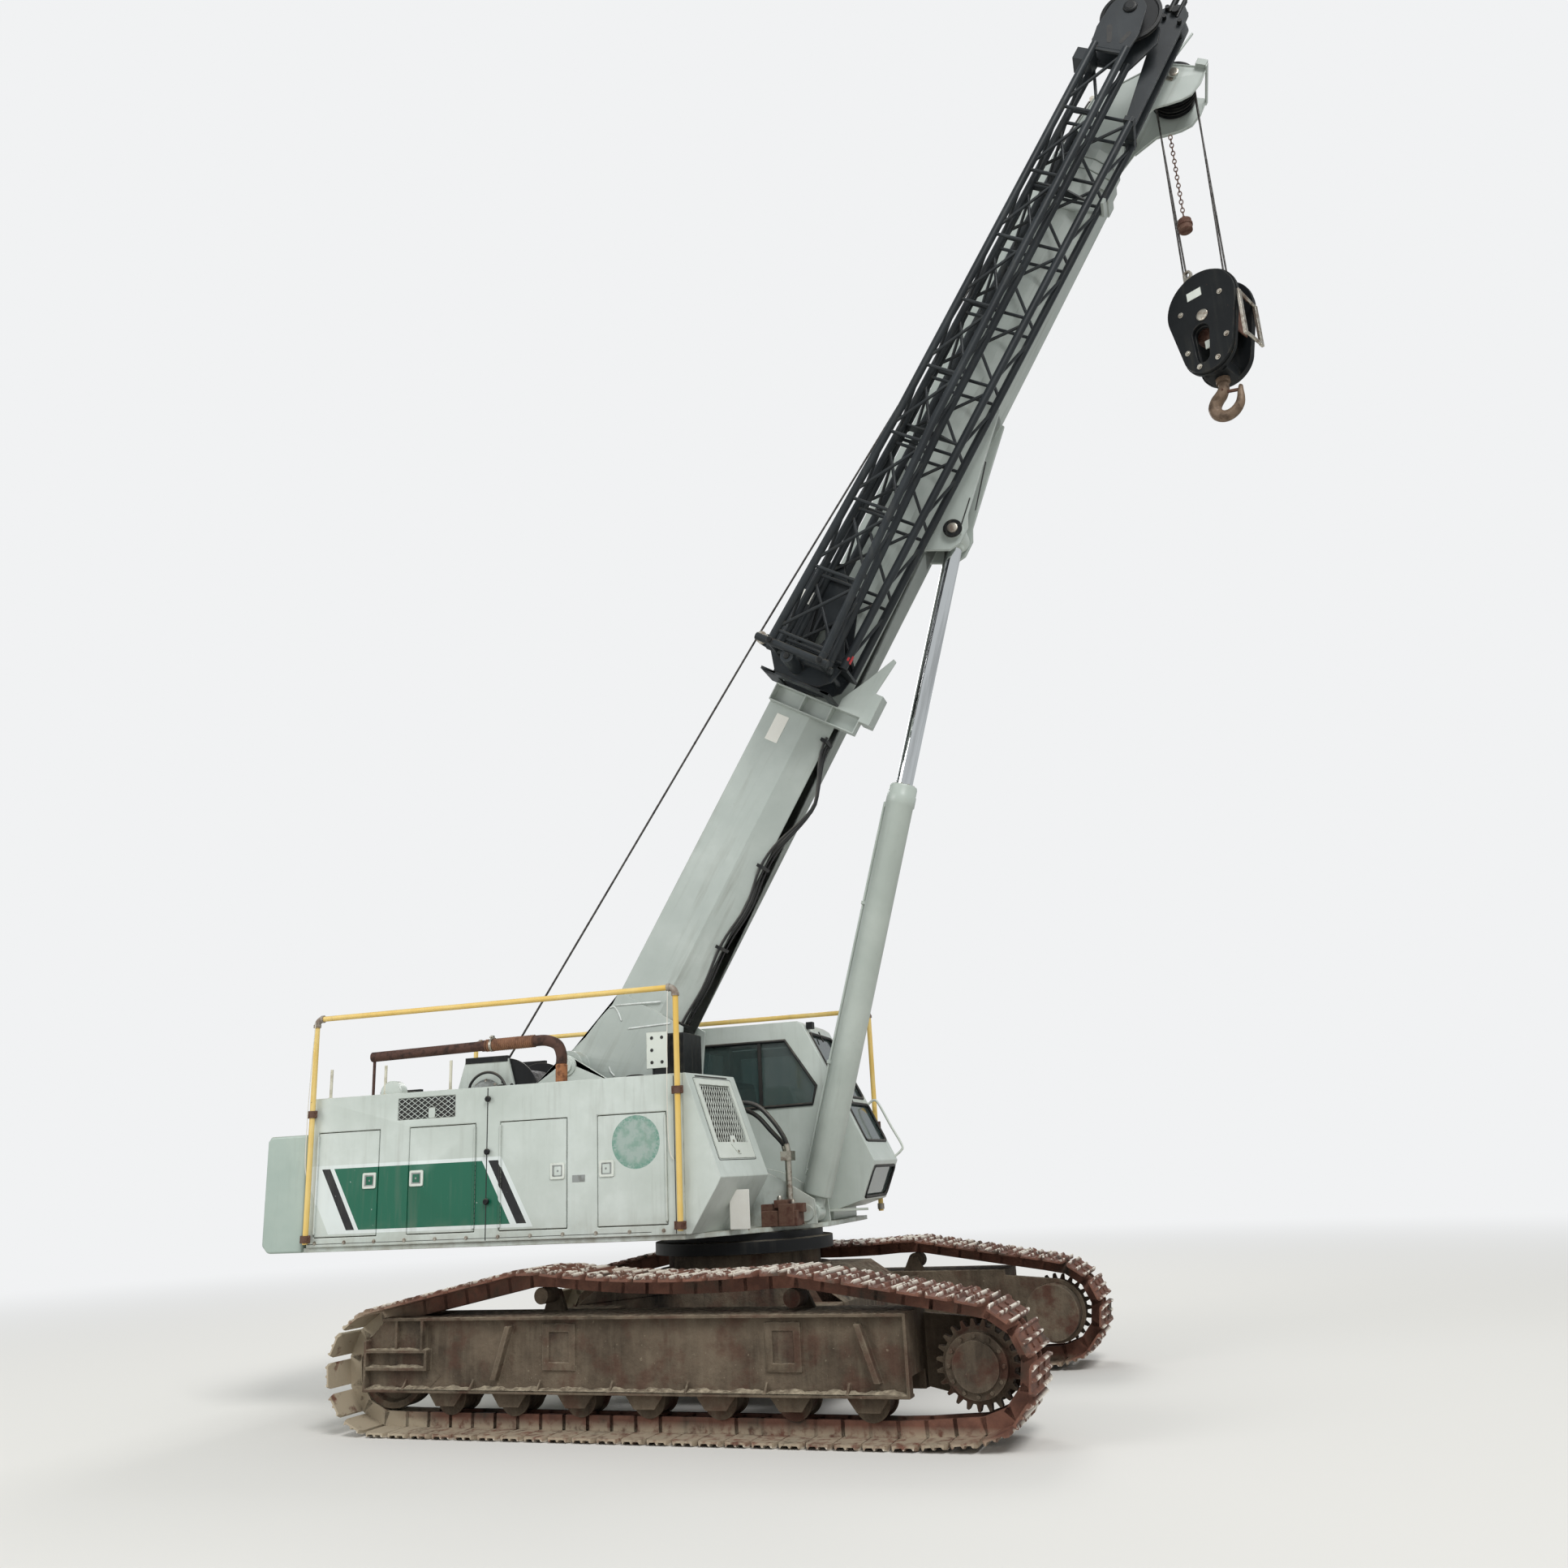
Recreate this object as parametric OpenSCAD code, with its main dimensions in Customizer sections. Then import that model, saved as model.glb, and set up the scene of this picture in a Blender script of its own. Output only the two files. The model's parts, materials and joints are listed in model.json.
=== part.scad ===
// Telescopic boom crawler crane, stored with the boom raised and the jib stowed beside it
// X runs forward along the boom, Y to the left, Z up, with the tracks standing on Z = 0

/* [Stance] */
// Place of the slewing axis behind the middle of the whole crane
slew_back = 697; // [500:1:900]
// Turn of the upper works against the tracks, in degrees
swing_now = 3.6; // [0:0.1:8]
// Boom angle above the horizontal, in degrees
boom_angle = 59; // [40:1:70]

/* [Tracks] */
// Middle of one track to the middle of the crane
track_y = 1613; // [1500:1:1750]
// Width of a shoe
shoe_w = 700; // [500:10:760]
// Pitch of the chain that the shoes are spaced by
shoe_pitch = 190; // [170:1:215]
// Thickness of a shoe's plate
shoe_t = 12; // [8:1:18]
// Height of a grouser above the shoe's plate
grouser_h = 26; // [14:1:34]
// Height of a chain link
link_h = 104; // [90:1:120]
// Width of the chain
link_w = 180; // [150:1:220]
// Idler axle behind the slewing axis
idler_x = -2195; // [-2300:5:-2100]
// Pitch radius of the chain round the idler
idler_r = 355; // [330:1:380]
// Sprocket axle ahead of the slewing axis
sprocket_x = 2290; // [2200:5:2400]
// Pitch radius of the chain round the sprocket
sprocket_r = 345; // [320:1:370]
// Lift of the sprocket above the lower run
sprocket_lift = 30; // [0:1:60]
// Number of teeth of a sprocket
sprocket_teeth = 23; // [19:2:27]
// Sag of the chain between the two carrier rollers
chain_sag = 55; // [20:1:90]
// Radius of a carrier roller
carrier_r = 72; // [60:1:75]
// Radius of a lower roller
roller_r = 105; // [85:1:115]
// Number of lower rollers
roller_count = 7; // [5:1:8]
// Spacing of the lower rollers
roller_gap = 540; // [400:5:560]

/* [Undercarriage] */
// Outer face of a track frame from the middle of its track
frame_out = 258; // [230:1:290]
// Inner face of a track frame from the middle of its track
frame_in = 248; // [230:1:280]
// Rear end of a track frame
frame_x0 = -2350; // [-2400:5:-2300]
// Front end of a track frame
frame_x1 = 1885; // [1800:5:1890]
// Bottom of a track frame's side plates
frame_z0 = 292; // [270:1:310]
// Top of a track frame
frame_z1 = 804; // [760:1:830]
// Depth of the bays between the frame's flanges and its side plate
frame_bay = 62; // [40:1:90]
// Plate thickness of the track frames
frame_t = 22; // [14:1:30]
// Top of the carbody
carbody_z1 = 960; // [900:5:1000]
// Radius of the slewing ring
ring_r = 740; // [600:5:760]

/* [Deck] */
// Underside of the deck plate
deck_z0 = 1264; // [1240:1:1300]
// Thickness of the deck plate
deck_t = 36; // [20:1:50]
// Rear end of the deck
deck_x0 = -3400; // [-3500:10:-3300]
// Half width of the upper works
body_y = 1270; // [1200:5:1300]
// Length of the counterweight
weight_l = 400; // [300:10:500]
// Top of the counterweight
weight_z1 = 2200; // [2000:10:2300]
// Half the space between the boom's two support plates
cheek_y = 440; // [420:1:460]
// Thickness of a support plate
cheek_t = 28; // [18:1:34]

/* [Engine house] */
// Rear end of the engine house
house_x0 = -3363; // [-3380:1:-3300]
// Front end of the engine house
house_x1 = -25; // [-60:1:0]
// Top of the engine house
house_z1 = 2488; // [2440:1:2540]
// Inner side of the engine house
house_in_y = 520; // [500:5:600]
// Thickness of the house's walls
house_t = 30; // [15:1:40]
// Thickness of a service door
door_t = 26; // [18:1:36]
// Gap round a service door
door_gap = 6; // [4:1:10]
// Bottom of the service doors
door_z0 = 1380; // [1350:1:1400]
// Top of the service doors
door_z1 = 2200; // [2150:1:2230]
// Top of the tank house on the left side
tank_z1 = 2300; // [2200:10:2400]
// Radius of the exhaust pipe
pipe_r = 42; // [30:1:55]

/* [Cab] */
// Right side of the cab
cab_y0 = 335; // [330:1:360]
// Left side of the cab
cab_y1 = 1250; // [1200:1:1260]
// Rear wall of the cab
cab_x0 = -560; // [-600:5:-520]
// Roof of the cab
cab_z1 = 2995; // [2900:5:3050]
// Thickness of the cab's walls
cab_t = 45; // [30:1:60]
// Thickness of the glass
glass_t = 8; // [5:1:10]

/* [Rails] */
// Radius of the rails' pipe
rail_r = 24; // [18:1:30]
// Middle of the rails from the crane's middle
rail_y = 1312; // [1310:1:1330]
// Height of the top rails
rail_z = 3149; // [3100:1:3200]

/* [Boom] */
// Boom foot pin behind the slewing axis
foot_x = -1410; // [-1450:1:-1380]
// Height of the boom foot pin
foot_z = 2680; // [2650:1:2720]
// Radius of the boom foot pin
foot_pin_r = 62; // [50:1:70]
// Half width of the base section
base_half = 272; // [260:1:285]
// Top face of the base section below the foot pin's level
base_top = 40; // [20:1:60]
// Depth of the base section
base_deep = 645; // [620:1:670]
// Front end of the base section from the foot pin
base_len = 9580; // [9400:10:9700]
// Wall thickness of the sections
wall_t = 9; // [6:1:10]
// Room between one section and the next
slip = 20; // [14:1:24]
// Thin running gap of wear pads, pins and rods
running = 0.3; // [0.2:0.05:0.4]
// Length that each inner section shows at the front
step_out = 140; // [110:5:170]
// Half width of the boom head
head_half = 205; // [195:1:230]
// Radius of the head sheaves
head_r = 205; // [180:1:215]

/* [Lift cylinder] */
// Foot pin of the cylinder ahead of the slewing axis
lift_x = 617; // [590:1:640]
// Height of the cylinder's foot pin
lift_z = 1385; // [1375:1:1400]
// Lug pin on the boom, along the boom from its foot pin
lug_along = 5830; // [5750:5:5900]
// Lug pin below the level of the boom's foot pin
lug_drop = 845; // [830:1:870]
// Radius of the barrel
barrel_r = 121; // [110:1:130]
// Length of the barrel from its foot pin
barrel_l = 3690; // [3650:5:3700]
// Radius of the rod
rod_r = 76; // [65:1:85]
// Radius of the cylinder's pins
lift_pin_r = 50; // [40:1:55]

/* [Hook] */
// Middle of the hook block below the head sheaves' axle
block_drop = 2713; // [2500:1:2900]
// Width of the hook block
block_w = 680; // [600:5:720]
// Height of the hook block
block_h = 1040; // [980:5:1080]
// Thickness of the hook block
block_t = 320; // [260:5:340]
// Turn of the hook block about its ropes, in degrees
block_turn = -30; // [-40:1:0]
// Radius of the hoist rope
rope_r = 9; // [7:0.5:11]

/* [Jib] */
// Rear end of the stowed jib along the boom
jib_x0 = 4130; // [4100:10:4300]
// Front end of the jib's lattice along the boom
jib_x1 = 10350; // [10300:10:10500]
// Radius of the jib's corner tubes
chord_r = 36; // [26:1:40]
// Radius of the jib's lacing
lace_r = 15; // [10:1:20]
// Number of bays in the jib's lattice
jib_bays = 9; // [7:1:11]
// Radius of the jib's sheave
jib_sheave_r = 280; // [230:5:300]

/* [Hidden] */
$fn = 48;
sides = [-1, 1];

// Faces of a track frame from the crane's middle
frame_out_y = track_y + frame_out;
frame_in_y = track_y - frame_in;
// Heights of the parts of a shoe outward from the chain's pitch line
link_out = link_h / 2;
plate_out = link_out + shoe_t;
tip_out = plate_out + grouser_h;
idler_z = tip_out + idler_r;
sprocket_z = tip_out + sprocket_r + sprocket_lift;
// Carrier rollers, as distance ahead of the slewing axis and height of the pitch line over them
carriers = [[-930, 1050], [1040, 1010]];
// Where the lower run starts to climb to the sprocket
climb_x = 1850;
roller_x0 = -1660;
roller_z = tip_out + link_out + roller_r;

// Paint, as the colours of the real finishes
paint = "#C3CAC6";
pale = "#A9BDBD";
mud = "#4A3F33";
rust = "#6B4A3A";
charcoal = "#2E3234";
yellow = "#D9B24A";
black = "#17191A";
steel = "#C9CCCE";
hook_brown = "#7A5A3A";

// Place of the whole crane, its undercarriage and its boom
module upper() {
  translate([-slew_back, 0, 0]) children();
}
module under() {
  translate([-slew_back, 0, 0]) rotate([0, 0, -swing_now]) children();
}
module boom() {
  upper() translate([foot_x, 0, foot_z]) rotate([0, -boom_angle, 0]) children();
}
module lift() {
  upper() translate([lift_x, 0, lift_z]) rotate([0, -lift_angle, 0]) children();
}

// Where a point of the boom, given along and below, stands in the upright frame
function on_boom(along, below) = [
  foot_x + along * cos(boom_angle) + below * sin(boom_angle),
  foot_z + along * sin(boom_angle) - below * cos(boom_angle)];
lug_at = on_boom(lug_along, lug_drop);
lift_angle = atan2(lug_at.y - lift_z, lug_at.x - lift_x);
lift_len = norm(lug_at - [lift_x, lift_z]);

// Round bar along Y, from one width to another
module bar_y(r, y0, y1) {
  translate([0, y0, 0]) rotate([-90, 0, 0]) cylinder(r = r, h = y1 - y0);
}
// Outline in X and Z, made as thick as the distance between two widths
module slab(y0, y1) {
  translate([0, y1, 0]) rotate([90, 0, 0]) linear_extrude(y1 - y0) children();
}
// Box from its lowest to its highest corner
module block(a, b) {
  translate(a) cube(b - a);
}
// Round tube or bar from one point to another, turned about its own line by a twist
module rod_between(a, b, r, twist = 0) {
  d = b - a;
  turn = atan2(d.y, d.x);
  tilt = acos(d.z / norm(d));
  translate(a) rotate([0, tilt, turn]) rotate([0, 0, twist]) cylinder(r = r, h = norm(d));
}

// Tracks
// Points of a round stretch about a centre
function arc(c, r, a0, a1, n) = [for (i = [0:n]) let(a = a0 + (a1 - a0) * i / n)
  c + r * [cos(a), sin(a)]];
// Direction of the line from a point that just touches a circle, on the side of the given sign
function touch(p, c, r, side) = atan2(c.y - p.y, c.x - p.x) + side * asin(r / norm(c - p));
sprocket_c = [sprocket_x, sprocket_z];
idler_c = [idler_x, idler_z];
climb_p = [climb_x, tip_out];
low_touch = touch(climb_p, sprocket_c, sprocket_r, -1) - 90;
high_touch = touch(carriers[1], sprocket_c, sprocket_r, 1) + 90;
mirrored = function(p) [-p.x, p.y];
rear_touch = 90 - touch(mirrored(carriers[0]), mirrored(idler_c), idler_r, 1);
sag_steps = 6;
sagging = [for (i = [0:sag_steps]) let(t = i / sag_steps)
  carriers[1] * (1 - t) + carriers[0] * t - [0, 4 * chain_sag * t * (1 - t)]];
loop_points = concat(
  arc(sprocket_c, sprocket_r, low_touch, high_touch, 24),
  sagging,
  arc(idler_c, idler_r, rear_touch, 270, 24),
  [climb_p]);
loop_n = len(loop_points);
loop_seg = [for (i = [0:loop_n - 1]) norm(loop_points[(i + 1) % loop_n] - loop_points[i])];
loop_sum = [for (i = 0, s = 0; i <= loop_n; s = s + (i < loop_n ? loop_seg[i] : 0), i = i + 1) s];
loop_len = loop_sum[loop_n];
shoe_n = round(loop_len / shoe_pitch);
pitch_now = loop_len / shoe_n;
// Point of the loop at a distance along it
function spot(s) = let(i = max([for (k = [0:loop_n - 1]) if (loop_sum[k] <= s) k]))
  loop_points[i] + (s - loop_sum[i]) / loop_seg[i] * (loop_points[(i + 1) % loop_n] - loop_points[i]);
joints = [for (i = [0:shoe_n - 1]) spot(i * pitch_now)];
function link_dir(i) = let(d = joints[(i + 1) % shoe_n] - joints[i % shoe_n]) d / norm(d);
function link_up(i) = let(d = link_dir(i)) [d.y, -d.x];
function joint_up(i) = let(u = link_up(i) + link_up(i + shoe_n - 1)) u / norm(u);
// One shoe with three grousers, as the share of the pitch and the height above the pitch line
shoe_profile = [
  [0.02, link_out + 2], [0.05, tip_out], [0.16, plate_out],
  [0.43, plate_out], [0.50, tip_out], [0.57, plate_out],
  [0.84, plate_out], [0.95, tip_out], [0.98, link_out + 2]];
function line_at(out) = [for (i = [0:shoe_n - 1]) joints[i] + out * joint_up(i)];
// Distance from a point to a stretch between two others
function reach(c, a, b) = let(t = max(0, min(1, (c - a) * (b - a) / ((b - a) * (b - a)))))
  norm(c - a - t * (b - a));
chain_bed = line_at(-link_out);
// Largest radius of a wheel about a point that the chain's inner side still clears
function under_chain(c) = -running + min([for (i = [0:shoe_n - 1])
  reach(c, chain_bed[i], chain_bed[(i + 1) % shoe_n])]);
module loop_line(out) {
  polygon(line_at(out));
}
module track() {
  color(rust) {
    slab(-shoe_w / 2, shoe_w / 2) difference() {
      polygon([for (i = [0:shoe_n - 1], q = shoe_profile)
        joints[i] + q.x * pitch_now * link_dir(i) + q.y * link_up(i)]);
      loop_line(link_out - 2);
    }
    slab(-link_w / 2, link_w / 2) difference() {
      loop_line(link_out - 1);
      loop_line(-link_out);
    }
  }
}
module track_left() {
  under() translate([0, track_y, 0]) track();
}
module track_right() {
  under() translate([0, -track_y, 0]) track();
}

// Sprocket with its drive housing, as seen from the outer side
tooth_h = 44;
root_r = under_chain(sprocket_c);
hub_r = 205;
drive_r = 225;
module sprocket() {
  color(mud) translate([sprocket_x, 0, sprocket_z]) {
    slab(-30, 30) polygon([for (i = [0:sprocket_teeth - 1], q = [[-0.3, 0], [-0.12, 1], [0.12, 1], [0.3, 0]])
      let(a = 360 * (i + q.x) / sprocket_teeth) (root_r - tooth_h + q.y * tooth_h) * [cos(a), sin(a)]]);
    bar_y(hub_r, -60, 95);
    bar_y(hub_r - 50, 94, 120);
    for (i = [0:11]) rotate([0, 30 * i, 0]) translate([hub_r - 24, 0, 0]) bar_y(13, 94, 108);
    bar_y(drive_r, -420, -59);
  }
}
module sprocket_left() {
  under() translate([0, track_y, 0]) sprocket();
}
module sprocket_right() {
  under() mirror([0, 1, 0]) translate([0, track_y, 0]) sprocket();
}

// Idler, with a rim that the chain's links run on
idler_rim = under_chain(idler_c);
module idler() {
  color(mud) translate([idler_x, 0, idler_z]) {
    rotate([90, 0, 0]) rotate_extrude() polygon([
      [0, -120], [85, -120], [85, -30], [idler_rim - 60, -22], [idler_rim - 45, -85], [idler_rim, -85],
      [idler_rim, 85], [idler_rim - 45, 85], [idler_rim - 60, 22], [85, 30], [85, 120], [0, 120]]);
    bar_y(45, frame_in_y + yoke_t - track_y + running, web_y - frame_t - track_y - running);
  }
}
module idler_left() {
  under() translate([0, track_y, 0]) idler();
}
module idler_right() {
  under() mirror([0, 1, 0]) translate([0, track_y, 0]) idler();
}

// Lower rollers and carrier rollers of one track
module rollers() {
  color(rust) {
    for (i = [0:roller_count - 1]) translate([roller_x0 + i * roller_gap, 0, roller_z]) {
      bar_y(roller_r - running, -70, 70);
      bar_y(roller_r + 18, -112, -92);
      bar_y(roller_r + 18, 92, 112);
      bar_y(roller_r - 20, -112, 112);
      bar_y(38, -skirt_y + running, web_y - frame_t - track_y - running);
    }
    for (c = carriers) translate([c.x, 0, c.y - link_out - carrier_r]) {
      bar_y(under_chain([c.x, c.y - link_out - carrier_r]), -95, 80);
      bar_y(34, -160, -94);
      translate([0, -140, 0]) slab(-20, 20) polygon([[-40, 30], [40, 30], [95, frame_z1 - c.y + link_out + carrier_r],
        [-95, frame_z1 - c.y + link_out + carrier_r]]);
    }
  }
}
module rollers_left() {
  under() translate([0, track_y, 0]) rollers();
}
module rollers_right() {
  under() mirror([0, 1, 0]) translate([0, track_y, 0]) rollers();
}

// Track frame: a box above the rollers, two skirts beside them, flanges and ribs outside
web_y = frame_out_y - frame_bay;
yoke_t = 40;
skirt_y = 150;
hanger_z = 195;
belly_z = 415;
idler_room = -1780;
frame_chamfer = 160;
// Slanted ribs, as the distance ahead of the slewing axis at the bottom and at the top
slant_ribs = [[-1230, -1110], [1660, 1540]];
// Framed windows, as their rear and front edges
windows = [[-840, -570], [880, 1140]];
gussets = [-2000, -1420, -860, -280, 300, 880, 1460];
module track_frame() {
  color(mud) {
    difference() {
      union() {
        block([idler_room, frame_in_y, belly_z], [frame_x1, web_y, frame_z1 - frame_t]);
        block([idler_room, frame_in_y, frame_z0], [frame_x1, track_y - skirt_y, belly_z + 1]);
        slab(web_y - frame_t, web_y) polygon([[frame_x0, frame_z0], [frame_x1, frame_z0],
          [frame_x1, frame_z1], [frame_x0 + frame_chamfer, frame_z1], [frame_x0, frame_z1 - frame_chamfer]]);
        slab(frame_in_y, frame_in_y + yoke_t) polygon([[frame_x0, frame_z0], [idler_room + 1, frame_z0],
          [idler_room + 1, frame_z1 - frame_t], [frame_x0 + frame_chamfer, frame_z1 - frame_t],
          [frame_x0, frame_z1 - frame_chamfer]]);
        block([frame_x0 + frame_chamfer, frame_in_y, frame_z1 - frame_t], [frame_x1, frame_out_y, frame_z1]);
        block([frame_x0, web_y - 90, frame_z0], [frame_x1, frame_out_y, frame_z0 + frame_t]);
      }
      block([idler_room - 500, track_y - skirt_y, frame_z0 - 1], [frame_x1 + 1, track_y + skirt_y, belly_z]);
      block([frame_x0 - 1, track_y - 125, belly_z - 1], [idler_room, track_y + 125, frame_z1 + 1]);
    }
    // Hangers of the lower rollers' shafts, on both sides of the chain
    for (i = [0:roller_count - 1], y = [track_y - skirt_y - frame_t, web_y - frame_t])
      translate([roller_x0 + i * roller_gap, 0, 0]) slab(y, y + frame_t)
        polygon([[-150, frame_z0 + 1], [-80, hanger_z], [80, hanger_z], [150, frame_z0 + 1]]);
    // Plate that carries the drive housing
    difference() {
      slab(frame_in_y, frame_in_y + yoke_t) union() {
        polygon([[frame_x1 - 60, frame_z0 + 20], [sprocket_x, sprocket_z - drive_r - 35],
          [sprocket_x, sprocket_z + drive_r + 35], [frame_x1 - 60, frame_z1 - 40]]);
        translate(sprocket_c) circle(r = drive_r + 35);
      }
      translate([sprocket_x, 0, sprocket_z]) bar_y(drive_r + running, frame_in_y - 1, frame_in_y + yoke_t + 1);
    }
    block([frame_x1 - frame_t, web_y - 1, frame_z0], [frame_x1, frame_out_y, frame_z1]);
    block([frame_x0, web_y - 1, frame_z0], [frame_x0 + frame_t, frame_out_y, frame_z1 - frame_chamfer]);
    // Bays of the idler's slide, with a shelf and uprights
    block([frame_x0, web_y - 1, 560], [-1790, frame_out_y, 560 + frame_t]);
    block([frame_x0, web_y - 1, 440], [-1790, frame_out_y, 440 + frame_t]);
    block([-1812, web_y - 1, 440], [-1790, frame_out_y, 582]);
    block([-2090, web_y - 1, 581], [-2068, frame_out_y - 20, frame_z1 - 1]);
    block([-1850, web_y - 1, 581], [-1828, frame_out_y, frame_z1 - 1]);
    for (r = slant_ribs) slab(web_y - 1, frame_out_y) polygon([[r[0] - 14, 380], [r[0] + 30, 380],
      [r[1] + 30, 740], [r[1] - 14, 740]]);
    for (w = windows) slab(web_y - 1, web_y + 14) difference() {
      polygon([[w[0], 440], [w[1], 440], [w[1], 750], [w[0], 750]]);
      polygon([[w[0] + 55, 495], [w[1] - 55, 495], [w[1] - 55, 695], [w[0] + 55, 695]]);
    }
    for (x = gussets) translate([x, 0, 0]) rotate([0, 0, 90]) slab(-9, 9)
      polygon([[web_y - 1, frame_z0], [frame_out_y, frame_z0 + frame_t - 1], [web_y - 1, frame_z0 + 90]]);
  }
}
module track_frame_left() {
  under() track_frame();
}
module track_frame_right() {
  under() mirror([0, 1, 0]) track_frame();
}

// Carbody with two cross beams and the pedestal under the slewing ring
beam_x = 900;
beam_w = 420;
beam_z0 = 470;
beam_z1 = 770;
pedestal_z1 = 1110;
module carbody() {
  color(mud) under() {
    for (s = sides) translate([s * beam_x, 0, 0])
      block([-beam_w / 2, -frame_in_y, beam_z0], [beam_w / 2, frame_in_y, beam_z1]);
    slab(-820, 820) polygon([[-1130, 520], [1130, 520], [1130, 770], [840, carbody_z1],
      [-840, carbody_z1], [-1130, 770]]);
    translate([0, 0, carbody_z1 - 1]) cylinder(r = ring_r - 20, h = 31);
    translate([0, 0, carbody_z1]) cylinder(r = ring_r - 110, h = pedestal_z1 - carbody_z1);
  }
}
module slew_ring() {
  color(black) under() translate([0, 0, pedestal_z1]) difference() {
    union() {
      cylinder(r = ring_r - 80, h = deck_z0 - running - pedestal_z1);
      cylinder(r = ring_r, h = 95);
    }
    translate([0, 0, -1]) cylinder(r = ring_r - 230, h = deck_z0 - pedestal_z1 + 2);
  }
}

// Deck, with the boom's support plates and the lift cylinder's lugs
deck_z1 = deck_z0 + deck_t;
lug_y = 190;
lug_t = 28;
deck_outline = [[deck_x0, -body_y + 20], [-40, -body_y + 20], [720, 60], [760, cab_y1], [deck_x0, cab_y1]];
// Support plate, as distance ahead of the slewing axis and height
cheek_outline = [[-2450, deck_z1 - 1], [-2380, 1640], [-1740, 2520], [foot_x - 40, foot_z + 85],
  [foot_x - 3, foot_z + 95], [foot_x + 40, foot_z + 80], [-1000, 2530], [-620, 1700], [-620, deck_z1 - 1]];
lug_outline = [[-420, deck_z1 - 1], [-420, 1900], [285, 1715], [397, 1664], [lift_x + 71, lift_z + 107],
  [lift_x + 85, lift_z - 74], [lift_x + 85, deck_z1 - 1]];
// Arched opening under each lug, from the cylinder's foot pin and the deck
lug_arch = [[-357, -2], [-87, -2], [-87, 90], [-130, 150], [-217, 178], [-290, 168], [-347, 120]];
module deck() {
  color(paint) upper() {
    difference() {
      translate([0, 0, deck_z0]) linear_extrude(deck_t) polygon(deck_outline);
      translate([0, 0, deck_z0 - 1]) cylinder(r = 200, h = deck_t + 2);
    }
    for (s = sides) {
      difference() {
        slab(s > 0 ? cheek_y : -cheek_y - cheek_t, s > 0 ? cheek_y + cheek_t : -cheek_y)
          polygon(cheek_outline);
        translate([foot_x, 0, foot_z]) bar_y(foot_pin_r, s * cheek_y - 60, s * cheek_y + 60);
      }
      difference() {
        slab(s > 0 ? lug_y : -lug_y - lug_t, s > 0 ? lug_y + lug_t : -lug_y) polygon(lug_outline);
        translate([lift_x, 0, deck_z1]) slab(s * lug_y - 60, s * lug_y + 60) polygon(lug_arch);
      }
      translate([lift_x, 0, lift_z]) bar_y(64, s > 0 ? lug_y + lug_t - 1 : -lug_y - lug_t - 10,
        s > 0 ? lug_y + lug_t + 10 : -lug_y - lug_t + 1);
      translate([foot_x, 0, foot_z]) bar_y(foot_pin_r + 26,
        s > 0 ? cheek_y + cheek_t - 1 : -cheek_y - cheek_t - 14, s > 0 ? cheek_y + cheek_t + 14 : -cheek_y - cheek_t + 1);
      translate([lift_x, 0, lift_z]) bar_y(lift_pin_r, s > 0 ? 108 : -lug_y - 1, s > 0 ? lug_y + 1 : -108);
    }
    translate([foot_x, 0, foot_z]) bar_y(foot_pin_r, -cheek_y - cheek_t - 40, cheek_y + cheek_t + 40);
    block([-650, -cheek_y - 1, deck_z1 - 1], [-622, cheek_y + 1, 1700]);
    block([-1740, -cheek_y - 1, deck_z1 - 1], [-1712, cheek_y + 1, 1600]);
  }
}

// Counterweight slab behind the deck, with its two lifting lugs
weight_lug_t = 60;
weight_bore_r = 28;
module counterweight() {
  x1 = deck_x0;
  x0 = deck_x0 - weight_l;
  color(pale) upper() {
    slab(-body_y, body_y) polygon([[x0, deck_z0 + 60], [x0 + 60, deck_z0], [x1, deck_z0], [x1, weight_z1],
      [x0 + 30, weight_z1], [x0, weight_z1 - 40]]);
    for (y = [-cheek_y, cheek_y - weight_lug_t]) difference() {
      slab(y, y + weight_lug_t) polygon([[x1 - 260, weight_z1 - 1], [x1 - 215, weight_z1 + 120],
        [x1 - 85, weight_z1 + 120], [x1 - 40, weight_z1 - 1]]);
      translate([x1 - 150, 0, weight_z1 + 65]) bar_y(weight_bore_r, y - 1, y + weight_lug_t + 1);
    }
  }
}

// Service doors, as rear edge, front edge and side of the hinge
doors = [[-3290, -2710, -1], [-2420, -1820, 1], [-1590, -1010, -1], [-740, -170, 1]];
vent = [-2540, -2010, 2270, 2440];
module engine_house() {
  color(paint) upper() difference() {
    block([house_x0, -body_y, deck_z1], [house_x1, -house_in_y, house_z1]);
    block([house_x0 + house_t, -body_y + house_t, deck_z1 - 1],
      [house_x1 - house_t, -house_in_y - house_t, house_z1 - house_t]);
    for (d = doors) block([d[0] - door_gap, -body_y - 1, door_z0 - door_gap],
      [d[1] + door_gap, -body_y + house_t + 1, door_z1 + door_gap]);
    block([vent[0], -body_y - 1, vent[2]], [vent[1], -body_y + 12, vent[3]]);
    translate([-1240, -900, house_z1 - house_t - 1]) cylinder(r = pipe_r + running, h = house_t + 2);
  }
}
hinge_r = 9;
module service_door(d) {
  hinge_x = d[2] < 0 ? d[0] : d[1];
  mid = (d[0] + d[1]) / 2;
  latch_x = d[2] < 0 ? d[1] - 60 : d[0] + 60;
  color(paint) upper() {
    block([d[0], -body_y, door_z0], [d[1], -body_y + door_t, door_z1]);
    block([latch_x - 45, -body_y - 8, 1760], [latch_x + 45, -body_y + 1, 1850]);
    translate([hinge_x, -body_y - hinge_r + 2, door_z0 + 20]) cylinder(r = hinge_r, h = door_z1 - door_z0 - 40);
  }
}
module service_door_1() {
  service_door(doors[0]);
}
module service_door_2() {
  service_door(doors[1]);
}
module service_door_3() {
  service_door(doors[2]);
}
module service_door_4() {
  service_door(doors[3]);
}
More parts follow.
